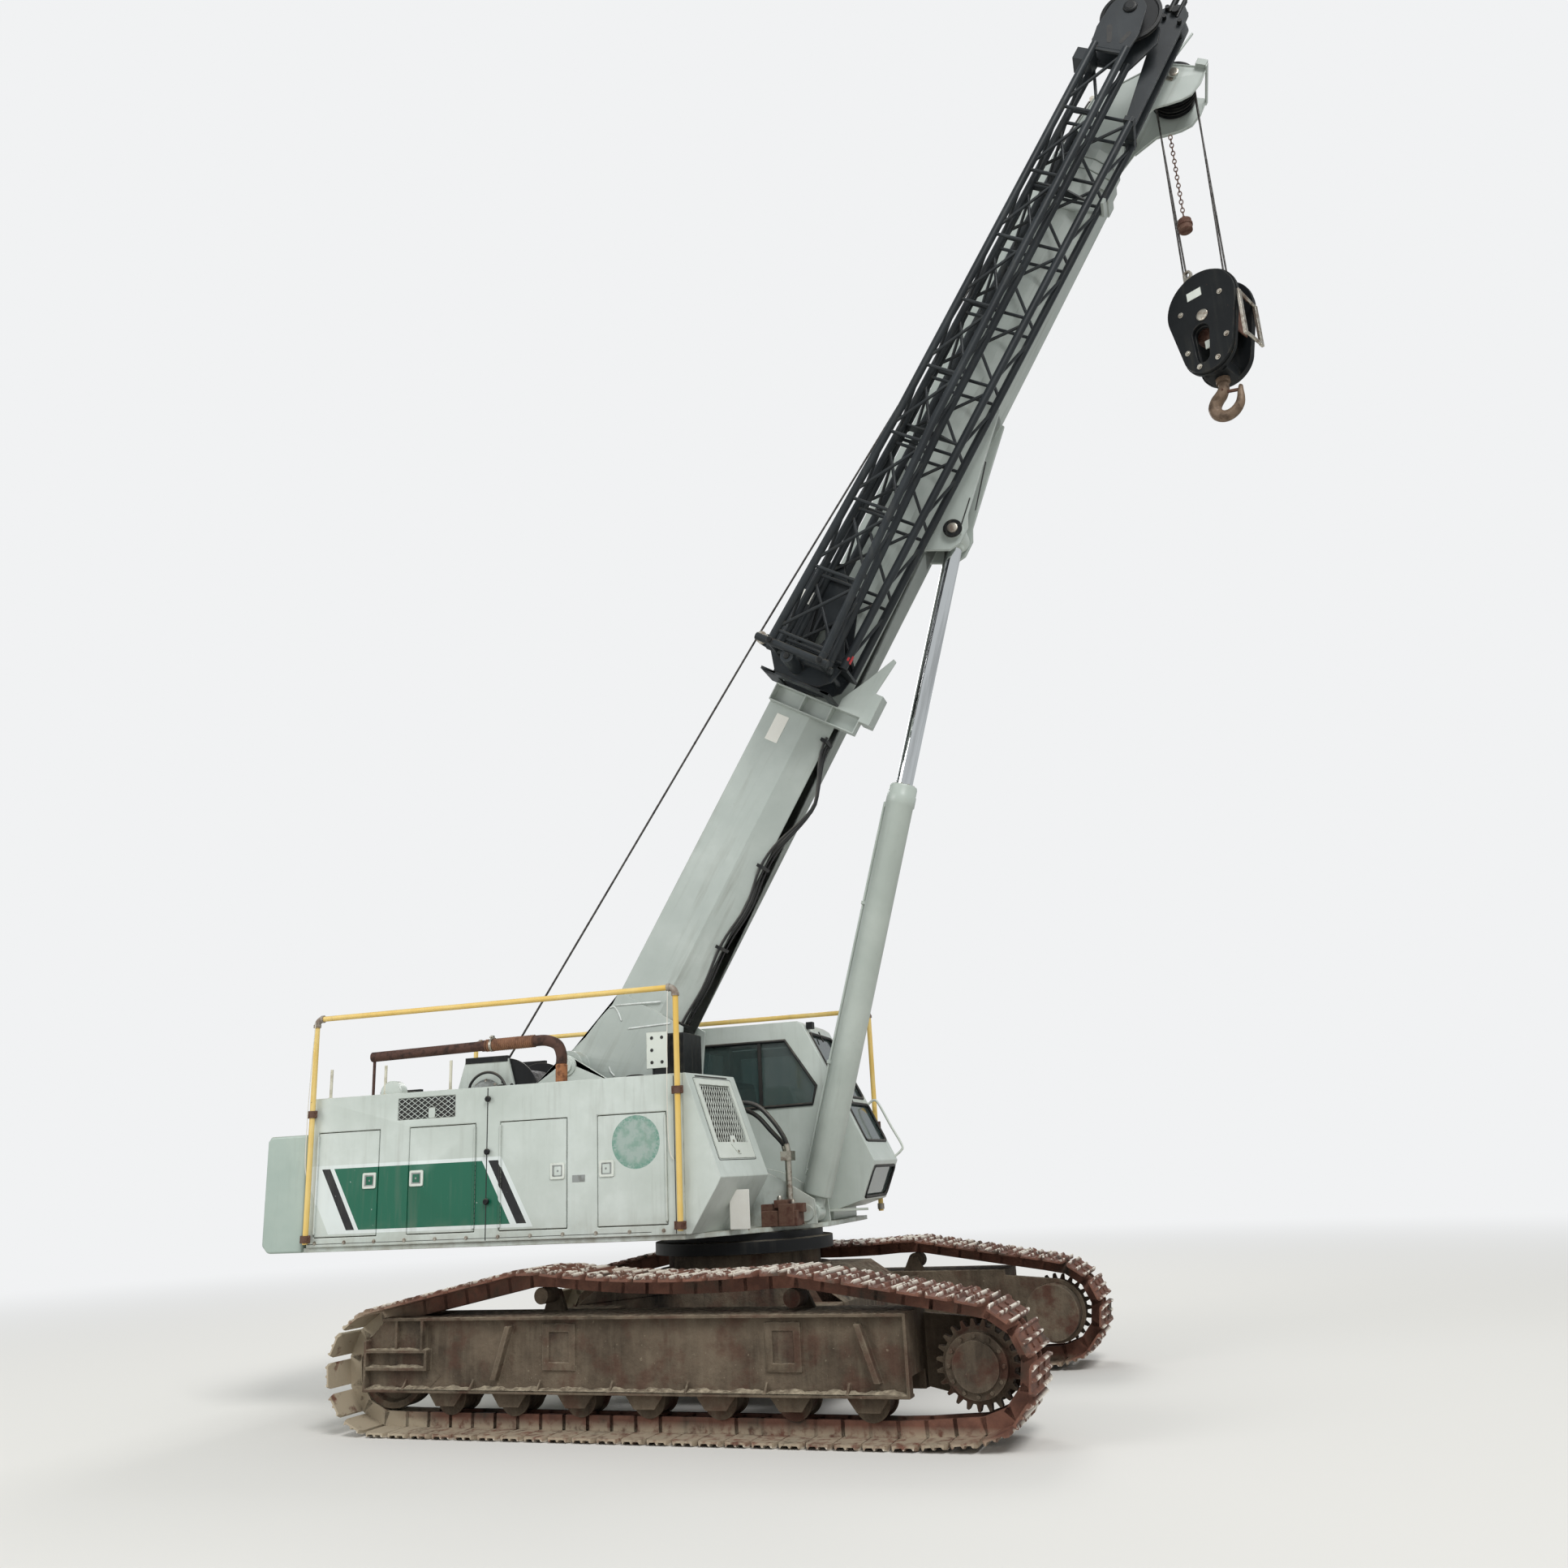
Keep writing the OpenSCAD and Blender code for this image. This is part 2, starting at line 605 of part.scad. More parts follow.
module engine() {
  color(black) upper() block([-2650, -1120, deck_z1], [-1500, -640, 2150]);
}
module tank_house() {
  color(paint) upper() {
    block([house_x0, house_in_y, deck_z1], [-640, cab_y1, tank_z1]);
    translate([-1200, 900, tank_z1 - 1]) cylinder(r = 70, h = 60);
  }
}

// Slanted cowl with a mesh front, which stands further ahead on the cab's side
cowl_front = [270, 1700];
cowl_skew = 105;
function cowl_outline(ahead) = [[house_x1, deck_z1], [20 + ahead, deck_z1], [245 + ahead, 1650],
  [cowl_front.x + ahead, cowl_front.y], [ahead, house_z1], [house_x1, house_z1]];
cowl_in_y = -430;
mesh_deep = 40;
cowl_tilt = atan2(cowl_front.x, house_z1 - cowl_front.y);
module nose_cowl() {
  near = cowl_outline(0);
  far = cowl_outline(cowl_skew);
  n = len(near);
  wide = cowl_in_y + body_y;
  turn = atan2(cowl_skew, wide);
  color(paint) upper() difference() {
    polyhedron([for (p = near) [p.x, -body_y, p.y], for (p = far) [p.x, cowl_in_y, p.y]],
      [[for (i = [n - 1:-1:0]) i], [for (i = [0:n - 1]) n + i],
      for (i = [0:n - 1]) [i, (i + 1) % n, n + (i + 1) % n, n + i]]);
    translate([0, -body_y, house_z1]) rotate([0, 0, -turn]) rotate([0, -cowl_tilt, 0])
      block([-mesh_deep, 165, -560], [30, wide / cos(turn) - 165, -90]);
  }
}
module oil_cooler() {
  color(black) upper() {
    block([-480, -720, house_z1], [-220, -310, house_z1 + 372]);
    block([-550, -728, house_z1 + 92], [-360, -719, house_z1 + 392]);
    block([-510, -700, house_z1], [-479, -330, house_z1 + 340]);
  }
}
module exhaust() {
  y = -900;
  run = [[-3060, y, 2840], [-1480, y, 2865], [-1300, y, 2835], [-1240, y, 2740], [-1240, y, 2440]];
  color(rust) upper() {
    for (i = [0:len(run) - 2]) rod_between(run[i], run[i + 1], i == 1 ? pipe_r + 6 : pipe_r);
    for (i = [1:len(run) - 2]) translate(run[i]) sphere(r = pipe_r + (i < 3 ? 12 : 5));
    block([-3070, y - 8, house_z1], [-3050, y + 8, 2800]);
  }
}

// Winches behind the boom foot, as distance ahead of the slewing axis and height of the axle
winches = [[-2080, 2470], [-2950, 2230]];
flange_r = 330;
drum_r = 230;
drum_y = 330;
axle_r = 55;
module winch_frames() {
  color(paint) upper() for (w = winches, s = sides) {
    y0 = s > 0 ? drum_y + 12 : -drum_y - 42;
    difference() {
      slab(y0, y0 + 30) polygon([[w.x - 400, deck_z1], [w.x - 445, w.y + 96], [w.x - 372, w.y + 345],
        [w.x + 42, w.y + 340], [w.x + 107, w.y + 106], [w.x + 300, deck_z1]]);
      translate([w.x, 0, w.y]) bar_y(axle_r + running, y0 - 1, y0 + 31);
    }
  }
}
module drum(w) {
  color(hook_brown) upper() translate([w.x, 0, w.y]) {
    bar_y(drum_r, -drum_y + 5, drum_y - 5);
    for (s = sides) bar_y(flange_r, s * drum_y - 12, s * drum_y + 7);
    bar_y(axle_r, -drum_y - 60, drum_y + 60);
  }
}
module main_drum() {
  drum(winches[0]);
}
module second_drum() {
  drum(winches[1]);
}

// Guard rails of yellow pipe, with the face that their clamps sit on
module rail(x0, x1, y, face, clamp_z) {
  z0 = 1330;
  low = min(face, y);
  high = max(face, y);
  color(yellow) upper() {
    for (x = [x0, x1]) {
      translate([x, y, z0]) cylinder(r = rail_r, h = rail_z - z0);
      translate([x, y, rail_z]) sphere(r = rail_r + 3);
      for (z = clamp_z) block([x - 20, low, z], [x + 20, high, z + 60]);
    }
    rod_between([x0, y, rail_z], [x1, y, rail_z], rail_r);
  }
}
module rail_right() {
  rail(-3340, -48, -rail_y, -body_y, [1340, 2330]);
}
module rail_left() {
  rail(-3340, 880, rail_y, cab_y1, [1520, 2060]);
}

// Cab, as distance ahead of the slewing axis and height
cab_z0 = 1390;
cab_outline = [[cab_x0, cab_z0], [750, cab_z0], [950, 1450], [1080, 1770], [840, 2280], [500, 2960],
  [450, cab_z1], [cab_x0, cab_z1]];
side_window = [[-460, 2830], [330, 2830], [600, 2420], [560, 2270], [-60, 2260], [-460, 2180]];
door_outline = [[-470, 1460], [300, 1460], [620, 1900], [620, 2350], [330, 2850], [-470, 2850]];
door_window = [[-390, 2150], [540, 2150], [540, 2330], [290, 2770], [-390, 2770]];
cab_hinge_r = 12;
hinge_zs = [1650, 2600];
// Front windows as their two ends along the cab's outline and their inset from the cab's sides:
// lower window, windscreen, roof window
front_windows = [[[960, 1475], [1062, 1725], 56], [[1000, 1940], [846, 2268], 70],
  [[818, 2324], [535, 2890], 90]];
// Strip under a line of the outline, between two depths
module strip(ends, in0, in1) {
  d = (ends[1] - ends[0]) / norm(ends[1] - ends[0]);
  inward = [-d.y, d.x];
  polygon([ends[0] + in0 * inward, ends[1] + in0 * inward, ends[1] + in1 * inward, ends[0] + in1 * inward]);
}
// The two ends of a line, each moved inward
function shortened(ends, by) = let(u = by * (ends[1] - ends[0]) / norm(ends[1] - ends[0]))
  [ends[0] + u, ends[1] - u];
module cab_shell() {
  color(paint) upper() {
    difference() {
      slab(cab_y0, cab_y1) polygon(cab_outline);
      slab(cab_y0 + cab_t, cab_y1 - cab_t) offset(delta = -cab_t) polygon(cab_outline);
      slab(cab_y0 - 1, cab_y0 + cab_t + 1) polygon(side_window);
      slab(cab_y1 - cab_t - 1, cab_y1 + 1) offset(delta = door_gap) polygon(door_outline);
      for (w = front_windows) slab(cab_y0 + w[2], cab_y1 - w[2]) strip(w, -5, cab_t + 5);
      block([cab_x0 - 1, cab_y0 + 120, 2200], [cab_x0 + cab_t + 1, cab_y1 - 120, 2800]);
    }
    // Lower halves of the door's hinges
    for (z = hinge_zs) {
      translate([door_outline[0].x, cab_y1 + cab_hinge_r, z - 40]) cylinder(r = cab_hinge_r, h = 40 - running);
      block([door_outline[0].x - 50, cab_y1 - 1, z - 40], [door_outline[0].x, cab_y1 + cab_hinge_r, z - running]);
    }
    block([cab_x0, cab_y0 + 60, deck_z1], [cab_x0 + 120, cab_y1 - 60, cab_z0 + 1]);
    block([560, cab_y0 + 60, deck_z1], [680, cab_y1 - 60, cab_z0 + 1]);
  }
}
// Panes set in the middle of the walls, as one bent strip in front and flat ones elsewhere
module cab_glass() {
  color([0.2, 0.26, 0.27, 0.6]) upper() {
    slab(cab_y0 + 14, cab_y0 + 14 + glass_t) polygon(side_window);
    block([cab_x0 + 14, cab_y0 + 120, 2200], [cab_x0 + 14 + glass_t, cab_y1 - 120, 2800]);
    for (w = front_windows) slab(cab_y0 + w[2] + running, cab_y1 - w[2] - running)
      strip(shortened(w, running), 14, 14 + glass_t);
  }
}
module operator_seat() {
  y = (cab_y0 + cab_y1) / 2;
  floor_z = cab_z0 + cab_t;
  color(black) upper() {
    block([-150, y - 150, floor_z], [200, y + 150, floor_z + 320]);
    block([-220, y - 240, floor_z + 319], [290, y + 240, floor_z + 430]);
    slab(y - 230, y + 230) polygon([[-220, floor_z + 400], [-100, floor_z + 400], [-200, floor_z + 1080],
      [-300, floor_z + 1080]]);
    block([450, y - 260, floor_z], [640, y + 260, floor_z + 520]);
  }
}
module cab_door() {
  color(paint) upper() {
    difference() {
      slab(cab_y1 - cab_t, cab_y1) polygon(door_outline);
      slab(cab_y1 - cab_t - 1, cab_y1 + 1) polygon(door_window);
    }
    for (z = hinge_zs) {
      translate([door_outline[0].x, cab_y1 + cab_hinge_r, z]) cylinder(r = cab_hinge_r, h = 120);
      block([door_outline[0].x, cab_y1 - 1, z], [door_outline[0].x + 50, cab_y1 + cab_hinge_r, z + 120]);
    }
    block([430, cab_y1 - 1, 1990], [560, cab_y1 + 30, 2020]);
  }
}
module cab_door_glass() {
  color([0.2, 0.26, 0.27, 0.6]) upper()
    slab(cab_y1 - 14 - glass_t, cab_y1 - 14) polygon(door_window);
}

// Boom sections. Each one steps in from the last by its wall and the room between
step_in = wall_t + slip;
crease = 430;
module section_outline(n) {
  h = base_half - n * step_in;
  top = -base_top - n * step_in;
  low = -base_top - base_deep + n * step_in;
  mid = -base_top - crease + n * step_in * 0.4;
  low_h = h - 100 + n * step_in * 0.3;
  polygon([[-h, top], [h, top], [h, mid], [low_h, low], [-low_h, low], [-h, mid]]);
}
module along(x0, x1) {
  translate([x0, 0, 0]) rotate([90, 0, 90]) linear_extrude(x1 - x0) children();
}
module tube_section(n, x0, x1) {
  along(x0, x1) difference() {
    section_outline(n);
    offset(delta = -wall_t) section_outline(n);
  }
}
// Collar with a wear pad that the next section slides in
collar_l = 110;
module collar(n, x1) {
  along(x1 - collar_l, x1) difference() {
    offset(delta = 16) section_outline(n);
    offset(delta = running) section_outline(n + 1);
  }
}
// Rear end of each section from the boom's foot pin, the base section first
section_rear = [500, 640, 760, 880];
section_front = [for (n = [0:3]) base_len + n * step_out];
foot_outline = [[-120, -60], [-150, 40], [-110, 115], [-30, 150], [48, 136], [263, 54], [464, 16], [632, -34],
  [760, -base_top + 6], [760, -base_top - base_deep - 45], [420, -890], [230, -800], [20, -420], [-80, -190]];
boom_low = -base_top - base_deep;
lug_plate = [[5560, boom_low + 5], [5640, -900], [5740, -960], [5900, -960], [6020, -900], [7080, -720],
  [7080, boom_low + 5]];
lug_plate_y = 128;
lug_plate_t = 34;
module boom_base() {
  color(paint) boom() {
    difference() {
      union() {
        tube_section(0, section_rear[0] + 100, section_front[0] - collar_l + 1);
        collar(0, section_front[0]);
        for (s = sides) slab(s > 0 ? base_half - 12 : -base_half - 16, s > 0 ? base_half + 16 : -base_half + 12)
          polygon(foot_outline);
        bar_y(foot_pin_r + 70, -cheek_y + 6, cheek_y - 6);
        for (s = sides) slab(s > 0 ? lug_plate_y : -lug_plate_y - lug_plate_t,
          s > 0 ? lug_plate_y + lug_plate_t : -lug_plate_y) polygon(lug_plate);
      }
      bar_y(foot_pin_r + running, -cheek_y, cheek_y);
      translate([lug_along, 0, -lug_drop]) bar_y(lift_pin_r, -200, 200);
    }
    translate([lug_along, 0, -lug_drop]) bar_y(lift_pin_r, -lug_plate_y - lug_plate_t - 30,
      lug_plate_y + lug_plate_t + 30);
    for (s = sides) translate([lug_along, 0, -lug_drop]) bar_y(lift_pin_r + 35,
      s > 0 ? lug_plate_y + lug_plate_t - 1 : -lug_plate_y - lug_plate_t - 30,
      s > 0 ? lug_plate_y + lug_plate_t + 30 : -lug_plate_y - lug_plate_t + 1);
  }
}
module boom_middle_1() {
  color(paint) boom() {
    tube_section(1, section_rear[1], section_front[1] - collar_l + 1);
    collar(1, section_front[1]);
  }
}
module boom_middle_2() {
  color(paint) boom() {
    tube_section(2, section_rear[2], section_front[2] - collar_l + 1);
    collar(2, section_front[2]);
  }
}
// Boom head: two cheeks that hold the sheaves' axle, measured from the front of the last collar
head_x = section_front[3];
axle_at = [head_x + 814, -771];
head_outline = [[0, -100], [420, -150], [905, -600], [945, -1035], [900, -1045], [770, -1056], [640, -1030],
  [560, -960], [490, -860], [430, -760], [200, -640], [-10, -600]];
head_t = 24;
head_axle_r = 45;
// Bore for the pin of the jib when it is swung round
jib_pin_at = [head_x + 190, -215];
jib_pin_r = 30;
module boom_tip() {
  color(paint) boom() {
    tube_section(3, section_rear[3], head_x + 60);
    for (s = sides) difference() {
      slab(s > 0 ? head_half - head_t : -head_half, s > 0 ? head_half : -head_half + head_t)
        translate([head_x, 0]) polygon(head_outline);
      translate([jib_pin_at.x, 0, jib_pin_at.y]) bar_y(jib_pin_r, -head_half - 1, head_half + 1);
    }
    block([head_x + 30, -head_half + 1, -600], [head_x + 60, head_half - 1, -100]);
    translate([axle_at.x, 0, axle_at.y]) bar_y(head_axle_r, -head_half - 30, head_half + 30);
  }
}
// Sheave with a groove, turned about Y
groove = 30;
sheave_y = 40;
module sheave(bore) {
  rotate([90, 0, 0]) rotate_extrude() polygon([
    [bore, -24], [head_r, -24], [head_r, -18], [head_r - groove, -10], [head_r - groove, 10],
    [head_r, 18], [head_r, 24], [bore, 24]]);
}
module head_sheaves() {
  color(black) boom() translate([axle_at.x, 0, axle_at.y]) for (k = [-3, -1, 1, 3])
    translate([0, k * sheave_y, 0]) sheave(head_axle_r + running);
}
module cable_reel() {
  color(black) boom() translate([4800, 0, 180]) {
    bar_y(320, 300, 330);
    bar_y(320, 400, 430);
    bar_y(180, 329, 401);
    slab(base_half, 301) polygon([[-200, -420], [200, -420], [60, 60], [-60, 60]]);
  }
}

// Bracket on the base section that the jib's rear end is pinned to
bracket_x0 = 3690;
bracket_x1 = 3860;
bracket_t = 12;

// Jib of two lattices side by side, each of four corner tubes and lacing
// Stations, as place along the boom, upper and lower height, near and far side
outer_lattice = [[jib_x0, -100, -605, -750, -950], [6450, -186, -522, -750, -950],
  [jib_x1, -240, -540, -750, -950]];
inner_lattice = [[jib_x0, -170, -700, -350, -655], [jib_x1 - 450, -190, -780, -350, -655]];
function lattice_at(t, x) = let(k = len(t) > 2 && x > t[1][0] ? 1 : 0, a = t[k], b = t[k + 1])
  a + (b - a) * (x - a[0]) / (b[0] - a[0]);
function corner(t, x, up, out) = let(q = lattice_at(t, x)) [x, out ? q[4] : q[3], up ? q[1] : q[2]];
corners = [[true, false], [true, true], [false, true], [false, false]];
// Room along a corner tube between a diagonal's end and the rung beside it
lace_gap = 65;
// Bar between two corner tubes that ends inside their walls
module lacing(a, b, r) {
  u = (b - a) / norm(b - a);
  rod_between(a + u * chord_r / 2, b - u * chord_r / 2, r, 10, $fn = 6);
}
module lattice(t, bays) {
  bay = (t[len(t) - 1][0] - t[0][0]) / bays;
  for (c = corners, k = [0:len(t) - 2])
    rod_between(corner(t, t[k][0], c[0], c[1]), corner(t, t[k + 1][0], c[0], c[1]), chord_r, $fn = 12);
  for (i = [0:bays], c = [0:3]) {
    a = corners[c];
    b = corners[(c + 1) % 4];
    x = t[0][0] + i * bay + (i == 0 ? chord_r : 0) - (i == bays ? chord_r : 0);
    if (c % 2 == 1) lacing(corner(t, x, a[0], a[1]), corner(t, x, b[0], b[1]), lace_r);
    if (i < bays) lacing(corner(t, x + lace_gap, a[0], a[1]),
      corner(t, x + bay - lace_gap - (i == 0 ? chord_r : 0), b[0], b[1]), lace_r);
  }
}
// Plates of the jib's rear end, seen from the side
jib_rear = [[bracket_x1 + 2, 30], [jib_x0 + 20, 30], [jib_x0 + 370, -90], [jib_x0 + 370, -630], [jib_x0 + 20, -690],
  [bracket_x1 + 2, -690]];
jib_tip = [[jib_x1 - 60, -200], [jib_x1 + 100, -200], [jib_x1 + 200, -100], [jib_x1 + 423, -97], [jib_x1 + 500, -220],
  [jib_x1 + 510, -530], [jib_x1 + 440, -669], [jib_x1 + 280, -711], [jib_x1 + 40, -613], [jib_x1 - 60, -570]];
jib_prong = [[jib_x1 - 510, -820], [jib_x1 - 510, -720], [jib_x1 + 650, -545], [jib_x1 + 760, -530],
  [jib_x1 + 840, -600], [jib_x1 + 850, -720], [jib_x1 + 760, -795], [jib_x1 + 640, -800]];
module jib() {
  color(charcoal) boom() {
    lattice(outer_lattice, jib_bays);
    lattice(inner_lattice, jib_bays - 1);
    slab(-1004, -990) polygon(jib_rear);
    block([bracket_x1 + 1.2, -1003, -689], [bracket_x1 + 24, -318, 9]);
    block([bracket_x1 + 20, -340, -689], [jib_x0 + 1, -318, -120]);
    block([jib_x0 - 11, -1003, -742], [jib_x0 + 13, -306, -52]);
    for (p = [[jib_x0 - 140, -20], [jib_x0 - 190, -230]]) translate([p.x, 0, p.y]) bar_y(30, -1020, -960);
    // Plates that join the two lattices
    for (x = [6400, 9000]) {
      a = lattice_at(outer_lattice, x);
      b = lattice_at(inner_lattice, x);
      along(x - 9, x + 9) polygon([[a[3] - 8, a[1]], [b[4] + 8, b[1]], [b[4] + 8, b[2]], [a[3] - 8, a[2]]]);
    }
    for (y = [-950, -750]) slab(y - 12, y + 12) polygon(jib_tip);
    translate([jib_x1 + 424, 0, -392]) {
      bar_y(jib_sheave_r, -867, -833);
      bar_y(40, -975, -725);
    }
    block([jib_x1 - 180, -940, -275], [jib_x1 - 55, -760, -95]);
    block([jib_x1 - 500, -690, -815], [jib_x1 - 451, -316, -720]);
    for (y = [-600, -430]) slab(y - 15, y + 15) polygon(jib_prong);
    translate([jib_x1 + 760, 0, -665]) bar_y(34, -650, -380);
  }
}
// Front rest of the jib on the base section
rest_x = jib_x1 - 1220;
rest_l = 60;
rest_z = lattice_at(inner_lattice, rest_x + rest_l)[2] - chord_r - running;
module jib_carrier() {
  y0 = -base_half - 90;
  y1 = -base_half - 14;
  color(paint) boom() {
    // Channel up the side of the base section with its ribs
    block([bracket_x0, y1, -940], [bracket_x1, -base_half, -60]);
    for (x = [bracket_x0, bracket_x1 - bracket_t]) block([x, y0, -940], [x + bracket_t, y1 + 1, -60]);
    for (z = [-72, -380, -660, -940]) block([bracket_x0 + 1, y0, z], [bracket_x1 - 1, y1 + 1, z + bracket_t]);
    // Box and ramp plate below it
    block([bracket_x1 - 47, y0, -1040], [bracket_x1 + 244, -200, -939]);
    slab(y0, y0 + 16) polygon([[bracket_x1 - 10, -700], [bracket_x1 - 10, -945], [bracket_x1 + 240, -964],
      [bracket_x1 + 575, -1004], [bracket_x1 + 594, -969], [bracket_x1 + 332, -838], [bracket_x1 + 90, -700]]);
    // Arm under the near lower corner tube
    along(rest_x, rest_x + rest_l) polygon([[-base_half, -200], [-base_half, -460], [-290, rest_z - 30],
      [-480, rest_z - 30], [-480, rest_z], [-305, rest_z], [-300, -440], [-300, -200]]);
  }
}

// Lift cylinder
eye_r = 105;
foot_eye_r = 78;
barrel_x0 = 140;
rod_l = 3500;
module lift_rod() {
  color(steel) lift() difference() {
    union() {
      translate([lift_len - rod_l, 0, 0]) rotate([0, 90, 0]) cylinder(r = rod_r, h = rod_l - 60);
      translate([lift_len - rod_l, 0, 0]) rotate([0, 90, 0]) cylinder(r = barrel_r - 16 - running, h = 90);
      translate([lift_len, 0, 0]) bar_y(eye_r, -lug_plate_y + 6, lug_plate_y - 6);
    }
    translate([lift_len, 0, 0]) bar_y(lift_pin_r + running, -lug_plate_y, lug_plate_y);
  }
}
module lift_barrel() {
  color(paint) lift() {
    difference() {
      union() {
        translate([barrel_x0, 0, 0]) rotate([0, 90, 0]) cylinder(r = barrel_r, h = barrel_l - barrel_x0);
        rotate([0, 90, 0]) cylinder(r = foot_eye_r - 4, h = barrel_x0 + 10);
        bar_y(foot_eye_r, -100, 100);
      }
      translate([barrel_x0 + 30, 0, 0]) rotate([0, 90, 0]) cylinder(r = barrel_r - 16, h = barrel_l - barrel_x0 - 110);
      translate([barrel_l - 81, 0, 0]) rotate([0, 90, 0]) cylinder(r = rod_r + running, h = 82);
      bar_y(lift_pin_r + running, -101, 101);
    }
  }
}

// Hook block on its ropes, hanging straight down from the head sheaves
head_at = on_boom(axle_at.x, -axle_at.y);
block_at = head_at - [0, block_drop];
module hang() {
  upper() translate([block_at.x, 0, block_at.y]) children();
}
fall_x = head_r - groove + rope_r + running;
block_axle_z = 60;
// Place of a rope at the block, which hangs turned about the upright
function at_block(x, y) = [x * cos(block_turn) - y * sin(block_turn),
  x * sin(block_turn) + y * cos(block_turn), block_axle_z];
module hoist_ropes() {
  color(charcoal) hang() for (x = sides, y = sides)
    rod_between(at_block(x * fall_x, y * sheave_y), [x * fall_x, y * sheave_y, block_drop], rope_r);
}
block_foot_r = 250;
module cheek_side() {
  hull() {
    translate([0, block_h / 2 - block_w / 2]) circle(r = block_w / 2);
    translate([0, block_foot_r - block_h / 2]) circle(r = block_foot_r);
  }
}
module hook_block() {
  color(black) hang() rotate([0, 0, block_turn]) {
    for (s = sides) slab(s > 0 ? block_t / 2 - 40 : -block_t / 2, s > 0 ? block_t / 2 : -block_t / 2 + 40)
      cheek_side();
    translate([0, 0, block_axle_z]) {
      bar_y(50, -block_t / 2 - 20, block_t / 2 + 20);
      for (s = sides) translate([0, s * sheave_y, 0]) sheave(10);
    }
    block([-110, -block_t / 2 + 1, -block_h / 2], [110, block_t / 2 - 1, -block_h / 2 + 110]);
  }
}
// Hook with a round bowl, its tip drawn up beside the throat, and a square shank
bowl_z = -250;
bowl_r = 172;
hook_t = 100;
module hook() {
  color(hook_brown) hang() translate([0, 0, -block_h / 2 - running]) {
    translate([0, 0, -50]) cylinder(r = 62, h = 50);
    block([-42, -42, bowl_z + 96], [42, 42, -49]);
    translate([0, 0, bowl_z]) slab(-hook_t / 2, hook_t / 2) difference() {
      hull() {
        circle(r = bowl_r);
        translate([150, 120]) circle(r = 20);
      }
      hull() {
        translate([25, 10]) circle(r = 80);
        translate([70, 140]) circle(r = 55);
      }
    }
  }
}

carbody();
slew_ring();
track_frame_left();
track_frame_right();
track_left();
track_right();
sprocket_left();
sprocket_right();
idler_left();
idler_right();
rollers_left();
rollers_right();
deck();
counterweight();
engine_house();
tank_house();
engine();
nose_cowl();
oil_cooler();
exhaust();
winch_frames();
main_drum();
second_drum();
rail_right();
rail_left();
cab_shell();
cab_glass();
operator_seat();
cab_door();
cab_door_glass();
service_door_1();
service_door_2();
service_door_3();
service_door_4();
boom_base();
boom_middle_1();
boom_middle_2();
boom_tip();
head_sheaves();
cable_reel();
jib_carrier();
jib();
lift_rod();
lift_barrel();
hoist_ropes();
hook_block();
hook();
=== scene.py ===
"""Looks of a worn telescopic boom crawler crane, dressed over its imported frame.

Lengths are in metres. The upper works have X forward, Y left and Z up; the tracks stand 3.6 degrees
turned under them, and the boom rises at 59 degrees with the jib stowed beside it.
"""

import json
import logging
import math
from collections.abc import Iterable, Sequence
from dataclasses import dataclass
from enum import Enum

import bmesh
import bpy
import numpy as np
from mathutils import Matrix, Vector

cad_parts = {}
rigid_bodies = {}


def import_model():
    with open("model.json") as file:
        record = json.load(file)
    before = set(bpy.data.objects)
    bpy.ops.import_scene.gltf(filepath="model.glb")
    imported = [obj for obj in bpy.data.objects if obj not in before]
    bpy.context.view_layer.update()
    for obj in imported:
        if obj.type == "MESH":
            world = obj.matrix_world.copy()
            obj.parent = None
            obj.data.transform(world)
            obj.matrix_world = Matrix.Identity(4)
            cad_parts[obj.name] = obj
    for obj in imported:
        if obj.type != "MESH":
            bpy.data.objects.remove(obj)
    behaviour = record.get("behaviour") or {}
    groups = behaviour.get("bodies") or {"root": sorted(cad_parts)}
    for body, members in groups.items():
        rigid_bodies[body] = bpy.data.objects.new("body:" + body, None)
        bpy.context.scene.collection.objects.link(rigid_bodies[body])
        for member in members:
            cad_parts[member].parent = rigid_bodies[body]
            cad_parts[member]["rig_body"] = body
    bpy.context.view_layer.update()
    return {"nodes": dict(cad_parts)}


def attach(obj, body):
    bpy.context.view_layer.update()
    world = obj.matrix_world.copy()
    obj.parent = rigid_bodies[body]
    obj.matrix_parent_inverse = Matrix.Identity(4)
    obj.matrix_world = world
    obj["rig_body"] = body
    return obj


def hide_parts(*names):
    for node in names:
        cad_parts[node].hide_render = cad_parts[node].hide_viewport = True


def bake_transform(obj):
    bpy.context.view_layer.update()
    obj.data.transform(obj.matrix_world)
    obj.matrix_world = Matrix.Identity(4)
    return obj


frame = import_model()

log = logging.getLogger("crane")
Points = Sequence[Sequence[float]] | np.ndarray
Tree = bpy.types.NodeTree
Node = bpy.types.Node
Socket = bpy.types.NodeSocket
Thing = bpy.types.Object


class Hue(Enum):
    """sRGB colours of the crane's finishes."""

    COAT = "B4BCB4"
    CHALK = "CBD2CC"
    PALE = "9AA9A0"
    GRIME = "6F6C60"
    MUD = "66594A"
    CLAY = "A89C86"
    SOIL = "40362B"
    RUST = "5E4335"
    OLD_RUST = "4A2A20"
    CHARCOAL = "1C2023"
    BLACK = "0C0E10"
    SOOT = "24211F"
    YELLOW = "D8B255"
    GREEN = "085C44"
    FADED_GREEN = "7F9A8D"
    STEEL = "B9BBBA"
    FLOOR = "D9D7D2"


